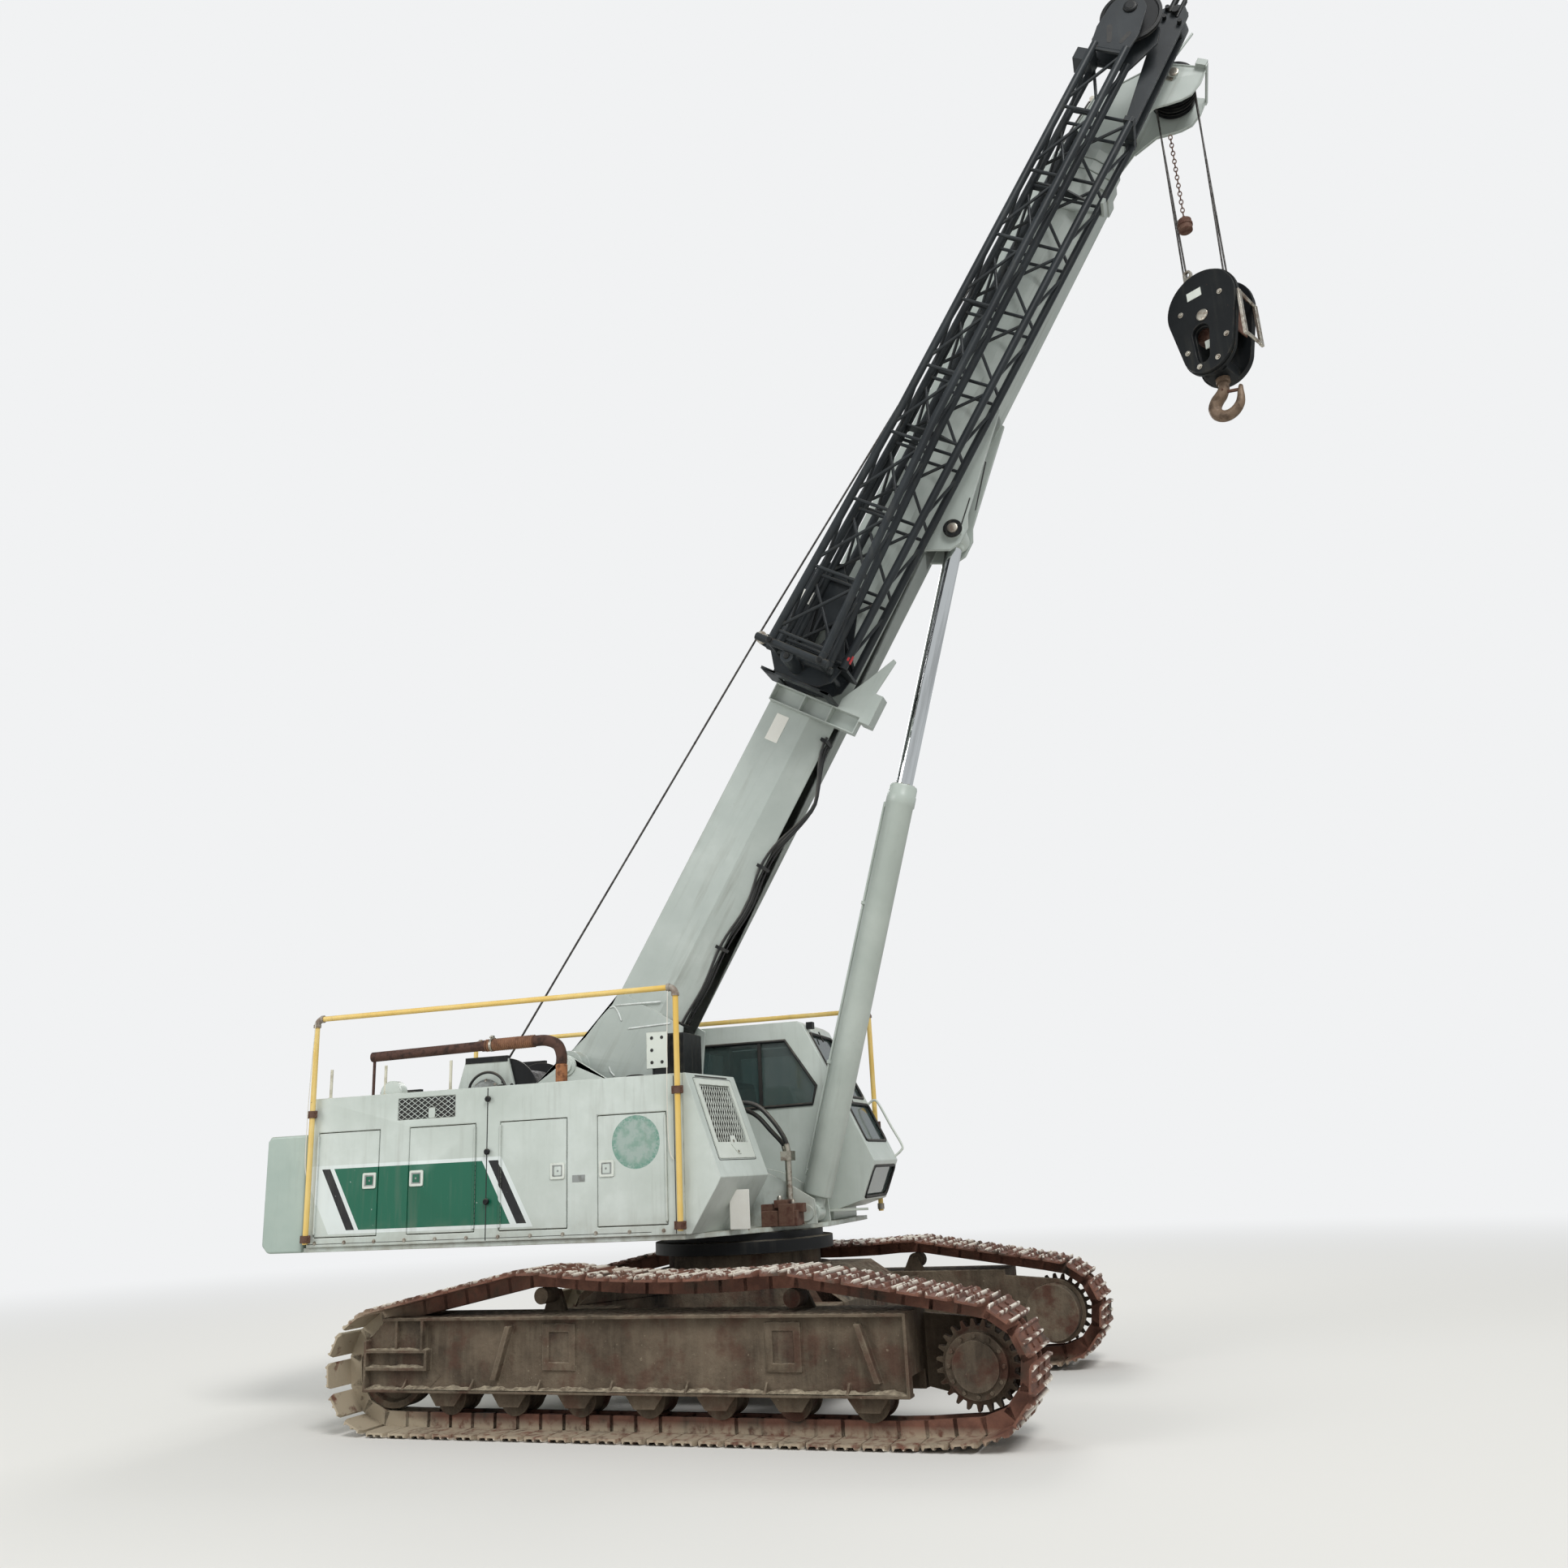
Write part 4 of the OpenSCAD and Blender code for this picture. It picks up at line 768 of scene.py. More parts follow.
# Rear and front edge at BAR_LEVEL, bottom, top and colour of each bar.
LIVERY = [
    (-3.3, -1.44, 1.4, 1.94, "D3DAD7"),
    (-3.117, -3.038, 1.427, 1.912, Hue.BLACK),
    (-3.0, -1.625, 1.427, 1.912, Hue.GREEN),
    (-1.568, -1.482, 1.427, 1.912, Hue.BLACK),
]


@dataclass(frozen=True)
class EarthySteel(Finish):
    """Painted steel under years of mud: dark soil, pale clay on ledges and edges, rust between."""

    slot: str = "mud_frame"
    dark: Hue | str = Hue.SOIL
    pale: Hue | str = Hue.CLAY
    rust: float = 0.5
    clay: float = 0.6
    relief_mm: float = 3.0

    def dress(self, mix: Layers) -> None:
        """Sets the shader's sockets from soil, rust and clay layers."""
        mix.where = mix.add("TexCoord").outputs["Object"]
        colour = mix.over(self.dark, Hue.MUD, mix.patches(420, 0.34, 0.62, 8))
        runs = mix.patches(70, 0.45, 0.72, 8, (1.0, 1.0, 0.12))
        colour = mix.over(colour, "6E6353", mix.times(runs, 0.65))
        rust = mix.patches(260, 0.5, 0.62, 8)
        colour = mix.over(colour, Hue.OLD_RUST, mix.times(rust, self.rust))
        crumbs = mix.patches(45, 0.4, 0.62, 8)
        ledge = mix.times(mix.tops(0.4, 0.9), crumbs)
        edge = mix.times(mix.edges(14), mix.patches(120, 0.4, 0.62, 8))
        pale = mix.times(mix.times(ledge, edge, "ADD"), self.clay)
        spatter = mix.times(mix.patches(28, 0.66, 0.7, 8), 0.5 * self.clay)
        colour = mix.over(colour, self.pale, mix.times(pale, spatter, "ADD"))
        mix.set("Base Color", colour)
        mix.set("Roughness", 0.86)
        mix.set("Specular IOR Level", 0.3)
        lumps = mix.patches(34, 0.3, 0.7, 8)
        mix.relief((crumbs, self.relief_mm), (lumps, 1.2))


@dataclass(frozen=True)
class TrackSteel(Finish):
    """Rolled boron-steel track shoes: brown rust, grouser tips rubbed bright, clay packed on by the idler."""

    slot: str = "rust_track"

    def dress(self, mix: Layers) -> None:
        """Sets the shader's sockets; the attribute "worn" is 1 at the grousers' tips."""
        mix.where = mix.add("TexCoord").outputs["Object"]
        colour = mix.over("5B3A2D", "7A5140", mix.patches(130, 0.36, 0.64, 8))
        colour = mix.over(colour, Hue.SOIL, mix.patches(260, 0.52, 0.66, 8))
        worn = mix.add("Attribute", attribute_name="worn").outputs["Fac"]
        rubbed = mix.times(worn, mix.patches(150, 0.47, 0.53, 4))
        along = mix.add("SeparateXYZ", {0: mix.where}).outputs
        rear = mix.ramp(along[0], -2.584, -2.984)
        low = mix.ramp(along[2], 0.95, 0.75)
        packed = mix.times(mix.times(rear, low), mix.patches(110, 0.3, 0.44, 8))
        ground = mix.ramp(along[2], 0.11, 0.05)
        dusty = mix.times(ground, mix.patches(60, 0.34, 0.52, 8))
        colour = mix.over(colour, "A79A84", mix.times(packed, mix.times(dusty, 0.8), "ADD"))
        colour = mix.over(colour, "E2DACB", rubbed)
        mix.set("Base Color", colour)
        mix.set("Roughness", mix.ramp(rubbed, start=0.78, end=0.42))
        pits = mix.patches(16, 0.3, 0.7, 8)
        mix.relief((packed, 5.0), (pits, 0.8))


@dataclass(frozen=True)
class BareMetal(Finish):
    """Bare metal with a grease or rust film: chrome plate, worn steel, wire rope, forged hook."""

    slot: str = "drum_steel"
    metal: Hue | str = Hue.STEEL
    film: Hue | str = Hue.SOOT
    shine: float = 0.25
    filmed: float = 0.3
    metallic: float = 1.0
    grain_mm: float = 60
    tilt: float = 0.0
    relief_mm: float = 0.1

    def dress(self, mix: Layers) -> None:
        """Sets the shader's sockets; the film lies in long runs where the metal is tilted."""
        mix.where = mix.add("TexCoord").outputs["Object"]
        if self.tilt:
            tilt = (0, math.radians(self.tilt), 0)
            mix.where = mix.add("Mapping", {"Vector": mix.where, "Rotation": tilt}).outputs[0]
        stretch = (0.04, 1.0, 1.0) if self.tilt else (1.0, 1.0, 1.0)
        film = mix.times(mix.patches(self.grain_mm, 0.46, 0.62, 8, stretch), self.filmed)
        mix.set("Base Color", mix.over(self.metal, self.film, film))
        mix.set("Metallic", self.metallic)
        mix.set("Roughness", mix.ramp(film, start=self.shine, end=min(0.95, self.shine + 0.5)))
        mix.relief((mix.patches(self.grain_mm / 3, 0.3, 0.7, 6), self.relief_mm))


@dataclass(frozen=True)
class Moulded(Finish):
    """Rubber or plastic with a fine dull grain and a film of dust."""

    slot: str = "black_steel"
    hue: Hue | str = Hue.BLACK
    rough: float = 0.6
    dust: float = 0.25
    grain_mm: float = 3.0

    def dress(self, mix: Layers) -> None:
        """Sets the shader's sockets from the grain and the dust on upward faces."""
        mix.where = mix.add("TexCoord").outputs["Object"]
        dust = mix.times(mix.times(mix.tops(-0.2, 0.9), mix.patches(90, 0.3, 0.65, 8)), self.dust)
        mix.set("Base Color", mix.over(self.hue, Hue.CLAY, dust))
        mix.set("Roughness", self.rough)
        mix.relief((mix.patches(self.grain_mm, 0.3, 0.7, 3), 0.15))


@dataclass(frozen=True)
class TintedGlass(Finish):
    """Laminated safety glass with a grey-green tint and a haze of dust."""

    slot: str = "glass"

    def dress(self, mix: Layers) -> None:
        """Sets the shader's sockets; dust dulls the gloss in patches."""
        mix.where = mix.add("TexCoord").outputs["Object"]
        haze = mix.patches(240, 0.35, 0.75, 8, (1.0, 1.0, 0.5))
        mix.set("Base Color", mix.over("6F8583", "8E9A94", haze))
        mix.set("Roughness", mix.ramp(haze, start=0.02, end=0.12))
        mix.set("Transmission Weight", 0.8)
        mix.set("IOR", 1.5)


@dataclass(frozen=True)
class StudioFloor(Finish):
    """Pale matt paper that turns into the backdrop's white from 7 to 26 metres away, so no horizon shows."""

    def dress(self, mix: Layers) -> None:
        """Sets the shader; far off, and to the camera alone, the paper is the backdrop's white."""
        mix.where = mix.add("TexCoord").outputs["Object"]
        far = mix.add("VectorMath", {0: mix.where}, operation="LENGTH").outputs["Value"]
        fade = mix.add("MapRange", {"Value": far, "From Min": 7.0, "From Max": 26.0},
                       interpolation_type="SMOOTHSTEP")
        seen = mix.add("LightPath").outputs["Is Camera Ray"]
        mix.set("Emission Strength", mix.times(fade.outputs[0], seen))
        mix.set("Emission Color", BACKDROP)
        ground = mix.over(Hue.FLOOR, (0.0, 0.0, 0.0, 1.0), mix.times(fade.outputs[0], seen))
        mix.set("Base Color", ground)
        mix.set("Roughness", 0.9)
        mix.set("Specular IOR Level", 0.0)


PAINT = WeatheredPaint("faded_enamel_on_plate")
HOUSE_PAINT = WeatheredPaint("faded_enamel_with_band", livery=True, splash=1.5)
DECK_PAINT = WeatheredPaint("faded_enamel_on_deck", streak=0.5, chips=0.7, grime=0.8, splash=1.75)
BOOM_PAINT = WeatheredPaint(
    "faded_enamel_on_boom", coat="A2AAA4", chalk="B3BAB4", tilt=BOOM_ANGLE, streak=0.5)
LIFT_PAINT = WeatheredPaint(
    "faded_enamel_on_barrel", coat="A9B2AA", chalk="BAC2BA", tilt=LIFT_ANGLE, streak=0.3)
PALE_PAINT = WeatheredPaint("blue_grey_enamel", coat=Hue.PALE, chalk="ABB8AE", streak=0.25)
WHITE_PAINT = WeatheredPaint("white_enamel", coat="C6CCC2", chalk="D9DDD5", streak=0.25)
YELLOW_PAINT = WeatheredPaint(
    "chipped_yellow_paint", slot="yellow_pipe", coat=Hue.YELLOW, chalk="E4CB86", chips=1.0, grime=0.3,
    gloss=0.5)
JIB_PAINT = WeatheredPaint(
    "charcoal_enamel", slot="jib_paint", coat=Hue.CHARCOAL, chalk="2C3134", gloss=0.42, specular=0.3,
    streak=0.15, chips=0.5, grime=0.3)
BLACK_PAINT = WeatheredPaint(
    "black_enamel", slot="black_steel", coat=Hue.BLACK, chalk="1C1E1F", gloss=0.45, specular=0.25, streak=0.2,
    chips=0.5, grime=0.35)
FRAME_MUD = EarthySteel("mud_over_steel")
# Painted shade: a dark soil finish for the sheets in the track frames' pockets, where the chain above shades
# them.
POCKET_SHADE = EarthySteel("painted_pocket_shade", dark="211B15", rust=0.35, clay=0.1)
DRY_CLAY = EarthySteel("dry_clay_crust", dark="8C8270", rust=0.05, clay=1.0, relief_mm=6.0)
ROLLER_MUD = EarthySteel("rusty_rollers", dark="2A231D", rust=0.8, clay=0.35)
CARBODY_MUD = EarthySteel("soil_over_carbody", dark="2A2622", clay=0.35)
SHOE_STEEL = TrackSteel("rusty_track_shoes")
EXHAUST_RUST = BareMetal(
    "rusted_exhaust_steel", slot="exhaust_rust", metal="4E3227", film="2C1F1A", shine=0.75, filmed=0.8,
    metallic=0.0, relief_mm=0.6)
CHROME = BareMetal("chromed_rod", metal="EDEFEF", film="4A4A48", shine=0.05, filmed=0.3, grain_mm=45,
                   tilt=LIFT_ANGLE, relief_mm=0.02)
PIN_STEEL = BareMetal("worn_pin_steel", metal="B7B2A6", film=Hue.RUST, shine=0.35, filmed=0.6)
ROPE_STEEL = BareMetal("greased_wire_rope", slot="rope", metal="45423F", film="1F1D1B", shine=0.5, filmed=0.7,
                       metallic=0.2, grain_mm=40)
HOOK_STEEL = BareMetal("forged_hook_steel", slot="hook_steel", metal="74604E", film="453629", shine=0.55,
                       filmed=0.7, metallic=0.2, grain_mm=90, relief_mm=0.5)
RUSTY_CASTING = BareMetal(
    "rusty_casting", metal=Hue.RUST, film=Hue.OLD_RUST, shine=0.8, filmed=0.8, metallic=0.0, relief_mm=1.0)
# Black rubber for gaskets, seams and gaps; the same dark finish is painted shade behind meshes and in holes
# and slots.
RUBBER_AND_SHADE = Moulded("weathered_rubber_and_painted_shade")
HOSE_RUBBER = Moulded("hydraulic_hose", hue="1B1C1D", rough=0.45, dust=0.35)
VINYL = Moulded("seat_vinyl", hue="1E2022", rough=0.5, grain_mm=1.2)
NOTICE_WHITE = Moulded("white_notice_board", slot="paint", hue="E3E2DA", rough=0.5, dust=0.5)
WELD_WHITE = WeatheredPaint("enamel_over_weld", coat=Hue.CHALK, chalk="E6EAE8", grime=0.7, chips=0.2)
BLOCK_BLACK = WeatheredPaint(
    "scuffed_black_enamel", slot="black_steel", coat="0E1113", chalk="1A1D1F", gloss=0.5, streak=0.2,
    chips=1.0, grime=0.4, specular=0.2)
GREY_ZINC = BareMetal("dull_zinc", metal="8F9390", film="54504A", shine=0.55, filmed=0.6, metallic=0.3)
FLEX_RUST = BareMetal("flexible_exhaust_steel", slot="exhaust_rust", metal="8A6248", film="50352A", shine=0.7,
                      filmed=0.6, metallic=0.0, grain_mm=80, relief_mm=0.3)
RED_PAINT = WeatheredPaint(
    "red_enamel", slot="jib_paint", coat="A32329", chalk="B4383A", chips=0.6, grime=0.4)
CORD_WHITE = Moulded("thin_white_cord", slot="rope", hue="D5D2C8", rough=0.8)
GLASS = TintedGlass("tinted_safety_glass")


# ---------------------------------------------------------------- making pieces

# The CAD's own points are rounded, so they are merged at a wider distance, and faces this flat become one.
CAD_MERGE = 5e-5
FLAT = 0.6


def dress(target: Thing, finish: Finish) -> None:
    """Gives an object one finish."""
    target.data.materials.clear()
    target.data.materials.append(finish.material())


def smooth(mesh: bpy.types.Mesh, angle: float) -> None:
    """Shades a mesh smooth, but for edges sharper than an angle in degrees."""
    mesh.polygons.foreach_set("use_smooth", np.ones(len(mesh.polygons), bool))
    mesh.set_sharp_from_angle(angle=math.radians(angle))


def round_edges(target: Thing, width: float, segments: int = 2) -> None:
    """Adds a bevel to an object's sharp edges.

    Args:
        target: The object.
        width: Width of the rounding in metres.
        segments: Steps across it.
    """
    bevel = target.modifiers.new("rounded edges", "BEVEL")
    bevel.width, bevel.segments = width, segments
    bevel.limit_method, bevel.angle_limit = "ANGLE", math.radians(SHARP)
    bevel.use_clamp_overlap, bevel.harden_normals = False, True


def make(name: str, shape: Shape, finish: Finish, body: str | None = "upper", place: Place | None = None,
         slot: str = "", bevel: float = 0.0, sharp: float = SHARP, replaces: Sequence[str] = (),
         worn: np.ndarray | None = None, solid: float = 0.0) -> Thing:
    """Turns a shape into a finished piece that rides on a body.

    Args:
        name: The piece's name.
        shape: Its shells in the local frame.
        finish: Its finish.
        body: The CAD body it moves with, or None for a piece that rides on no body.
        place: The local frame, or None for the body's own.
        slot: The record's material slot, or nothing for the finish's own; not used.
        bevel: Rounding of its edges in metres, or 0.
        sharp: Angle in degrees past which an edge stays sharp.
        replaces: CAD nodes that it stands for.
        worn: Wear of each point from 0 to 1, for shapes that are already clean.
        solid: Thickness in metres given to an open sheet, or 0.

    Returns:
        The object.
    """
    place = place or PLACES.get(body, UPPER)
    mesh = bpy.data.meshes.new(name)
    mesh.from_pydata(place.put(np.vstack(shape.points)), [], shape.faces)
    if worn is None:
        clean = bmesh.new()
        clean.from_mesh(mesh)
        bmesh.ops.remove_doubles(clean, verts=clean.verts, dist=MERGE)
        if not solid:
            bmesh.ops.recalc_face_normals(clean, faces=clean.faces)
        clean.to_mesh(mesh)
        clean.free()
    else:
        mesh.attributes.new("worn", "FLOAT", "POINT").data.foreach_set("value", worn.astype(np.float32))
    smooth(mesh, sharp)
    made = bpy.data.objects.new(name, mesh)
    bpy.context.scene.collection.objects.link(made)
    if solid:
        wall = made.modifiers.new("sheet", "SOLIDIFY")
        wall.thickness, wall.offset = solid, 0.0
    if bevel:
        round_edges(made, bevel)
    dress(made, finish)
    if body:
        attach(made, body)
    slot or finish.slot
    if replaces:
        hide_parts(*replaces)
    log.info("%s: %d faces on %s", name, len(mesh.polygons), body)
    return made


def round_node(node: str, finish: Finish, width: float = 0.004) -> Thing:
    """Replaces a flat-sided CAD node by a merged copy of it with rounded edges.

    Args:
        node: The CAD node.
        finish: The finish of the copy.
        width: Rounding of its edges in metres.

    Returns:
        The copy.
    """
    source = frame["nodes"][node]
    mesh = source.data.copy()
    clean = bmesh.new()
    clean.from_mesh(mesh)
    bmesh.ops.remove_doubles(clean, verts=clean.verts, dist=CAD_MERGE)
    bmesh.ops.dissolve_limit(clean, angle_limit=math.radians(FLAT), verts=clean.verts, edges=clean.edges)
    clean.to_mesh(mesh)
    clean.free()
    smooth(mesh, SHARP)
    made = bpy.data.objects.new(f"{node}_dressed", mesh)
    bpy.context.scene.collection.objects.link(made)
    round_edges(made, width)
    dress(made, finish)
    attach(made, source["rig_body"])
    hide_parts(node)
    return made


def lay_cord(name: str, line: np.ndarray, radius: float, sides: int, body: str = "upper",
             finish: Finish = HOSE_RUBBER) -> None:
    """Args:
        name: The piece's name.
        line: Its centre line in its body's frame.
        radius: Its radius in metres.
        sides: Points round it.
        body: The CAD body it moves with.
        finish: Its finish.
    """
    made = make(name, tube(line, radius, sides), finish, body)
    path = PLACES.get(body, UPPER).put(line)


# ---------------------------------------------------------------- undercarriage


@dataclass(frozen=True)
class TrackRun:
    """One track chain with its shoes, and the steelwork that it runs round.

    Sizes are in metres in the undercarriage's frame, with the pitch line as the loop's own line.
    """

    name: str
    y: float
    shoe_w: float = 0.7
    pitch: float = 0.19
    sprocket: tuple[float, float, float] = (2.29, 0.465, 0.345)
    idler: tuple[float, float, float] = (-2.195, 0.445, 0.355)
    carriers: tuple[tuple[float, float], ...] = ((-0.93, 1.05), (1.04, 1.01))
    climb: tuple[float, float] = (1.85, 0.09)
    sag: float = 0.055

    @staticmethod
    def touch(point: Sequence[float], circle: Sequence[float], side: int) -> float:
        """Returns the angle of the line from a point that touches a circle: the centre's -+ asin(r / d)."""
        d = np.array(circle[:2]) - np.array(point)
        return math.atan2(d[1], d[0]) + side * math.asin(circle[2] / math.hypot(*d))

    def loop(self) -> np.ndarray:
        """Returns the pitch line: sprocket arc, parabola over the carriers, idler arc, then the ground."""
        right = math.pi / 2
        low = self.touch(self.climb, self.sprocket, -1) - right
        high = self.touch(self.carriers[1], self.sprocket, 1) + right
        back = (-self.idler[0], self.idler[1], self.idler[2])
        rear = right - self.touch((-self.carriers[0][0], self.carriers[0][1]), back, 1)
        t = np.linspace(0, 1, 7)[:, None]
        droop = np.hstack([0 * t, 4 * self.sag * t * (1 - t)])
        top = np.array(self.carriers[1]) * (1 - t) + np.array(self.carriers[0]) * t - droop
        arcs = []
        for (x, z, r), a0, a1 in ((self.sprocket, low, high), (self.idler, rear, 3 * right)):
            a = np.linspace(a0, a1, 25)
            arcs.append(stack(x + r * np.cos(a), z + r * np.sin(a)))
        return np.vstack([arcs[0], top, arcs[1], [self.climb]])

    def joints(self) -> np.ndarray:
        """Returns the chain's pins, evenly spaced along the loop."""
        line = self.loop()
        closed = np.vstack([line, line[:1]])
        run = run_along(closed)
        count = round(run[-1] / self.pitch)
        s = np.arange(count) * run[-1] / count
        return stack(np.interp(s, run, closed[:, 0]), np.interp(s, run, closed[:, 1]))

    def shoe(self) -> tuple[Shape, np.ndarray]:
        """Returns one shoe with its two links and four bolts, and the wear of its points.

        Its points are share of the pitch, Y and height above the pitch line.
        """
        profile = np.array([(0.03, 0.052), (0.025, 0.066), (0.045, 0.086), (0.075, 0.09), (0.105, 0.087),
                            (0.155, 0.066), (0.42, 0.065), (0.462, 0.086), (0.5, 0.09), (0.538, 0.086),
                            (0.58, 0.065), (0.845, 0.066), (0.895, 0.087), (0.925, 0.09), (0.955, 0.086),
                            (0.975, 0.066), (0.97, 0.052)])
        half = self.shoe_w / 2
        stations = np.array([-half, -half + 0.045, half - 0.045, half])
        narrow = np.array([0.8, 1.0, 1.0, 0.8])
        n = len(profile)
        s = 0.5 + (profile[None, :, 0] - 0.5) * narrow[:, None]
        drop = np.where(profile[None, :, 1] > 0.07, np.array([0.01, 0, 0, 0.01])[:, None], 0)
        points = stack(s, stations[:, None] * np.ones((1, n)), profile[None, :, 1] - drop).reshape(-1, 3)
        made = Shape().add(points, [wrapped(4, n), tuple(range(n))[::-1], tuple(range(3 * n, 4 * n))])
        worn = (points[:, 2] > 0.079).astype(float)
        low = np.array([(-0.07, y - 0.016, -0.048) for y in (-0.075, 0.075)])
        high = np.array([(1.07, y + 0.016, 0.0525) for y in (-0.075, 0.075)])
        extra = boxes(low, high)
        heads = [(share, y, 0.063) for share in (0.29, 0.71) for y in (-0.105, 0.105)]
        for share, y, level in heads:
            a = FULL * np.arange(6) / 6
            ring = stack(share + 0.085 * np.cos(a), y + 0.016 * np.sin(a), level)
            extra.add(np.vstack([ring, ring + (0, 0, 0.014)]), [wrapped(2, 6), tuple(range(6, 12))])
        made.join(extra)
        return made, np.concatenate([worn, np.zeros(extra.count)])

    def build(self) -> Thing:
        """Lays a shoe on every pitch: point = pin + share * (next pin - pin) + height * outward."""
        pins = self.joints()
        following = np.roll(pins, -1, axis=0)
        along = following - pins
        out = stack(along[:, 1], -along[:, 0]) / np.linalg.norm(along, axis=1)[:, None]
        shoe, worn = self.shoe()
        local = np.vstack(shoe.points)
        flat = pins[:, None] + local[None, :, :1] * along[:, None] + local[None, :, 2:] * out[:, None]
        y = np.broadcast_to(self.y + local[None, :, 1], flat.shape[:2])
        points = stack(flat[..., 0], y, flat[..., 1])
        track = Shape()
        for one in points:
            track.add(one, shoe.faces)
        return make(f"{self.name}_chain", track, SHOE_STEEL, "undercarriage", sharp=30, replaces=[self.name],
                    worn=np.tile(worn, len(pins)))


@dataclass(frozen=True)
class FrameSoil:
    """Soil on a track frame's outer side: painted shade in its pockets, dry clay crusts along its ledges."""

    name: str
    side: int
    web: float = 1.809
    face: float = 1.871

    def crust(self, x0: float, x1: float, z: float, height: float, seed: float) -> Shape:
        """Builds a ridge of clay on a ledge.

        Along X its height swells with a sum of three sines; outward it falls from web to lip.

        Args:
            x0: Rear end.
            x1: Front end.
            z: Top of the ledge.
            height: Greatest height.
            seed: Phase of the sines.

        Returns:
            A closed shell.
        """
        x = np.linspace(x0, x1, max(12, round((x1 - x0) / 0.022)))
        swell = (0.55 + 0.22 * np.sin(19 * x + seed) + 0.15 * np.sin(47 * x + 2 * seed)
                 + 0.08 * np.sin(118 * x + 3 * seed))
        swell[[0, -1]] = 0.05
        out = np.array([0.0, 0.0, 0.25, 0.6, 0.97, 0.97])
        up = np.array([-0.1, 1.0, 0.85, 0.42, 0.1, -0.1])
        y = self.web - 0.002 + (self.face - self.web) * out[None] * (0.9 + 0.1 * swell[:, None])
        points = np.stack(np.broadcast_arrays(x[:, None], self.side * y,
                                              z + height * np.maximum(swell, 0.12)[:, None] * up[None]), -1)
        last = len(out) * (len(x) - 1)
        return Shape().add(points, [wrapped(len(x), len(out)), tuple(range(6))[::-1],
                                    tuple(range(last, last + 6))])

    def build(self) -> None:
        """Builds the pockets' painted shade and the ledges' crusts."""
        low, high = sorted((self.side * (self.web - 0.002), self.side * (self.web + 0.003)))
        # Painted shade: thin dark sheets on the pockets' floors stand in for the chain's shade.
        pocket_shade_sheets = prism([(-2.328, 0.583), (-2.092, 0.583), (-2.092, 0.78), (-2.195, 0.78), (-2.328, 0.648)], low,
                     high)
        pocket_shade_sheets.join(prism([(-2.066, 0.583), (-1.852, 0.583), (-1.852, 0.78), (-2.066, 0.78)], low, high))
        pocket_shade_sheets.join(prism([(-2.328, 0.463), (-1.813, 0.463), (-1.813, 0.559), (-2.328, 0.559)], low, high))
        pocket_shade_sheets.join(prism([(-2.328, 0.315), (-1.8, 0.315), (-1.7, 0.4), (-1.75, 0.438), (-2.328, 0.438)], low,
                        high))
        for rear, front in ((-0.84, -0.57), (0.88, 1.14)):
            pocket_shade_sheets.join(prism([(rear + 0.056, 0.496), (front - 0.056, 0.496), (front - 0.056, 0.694),
                             (rear + 0.056, 0.694)], low, high))
        make(f"{self.name}_painted_pocket_shade", pocket_shade_sheets, POCKET_SHADE, "undercarriage")
        dry = self.crust(-2.34, 1.875, 0.314, 0.03, 0.4).join(self.crust(-2.33, -1.815, 0.462, 0.022, 1.9))
        dry.join(self.crust(-2.33, -1.8, 0.582, 0.016, 3.1))
        make(f"{self.name}_clay_crust", dry, DRY_CLAY, "undercarriage", sharp=60)


# ---------------------------------------------------------------- upper works


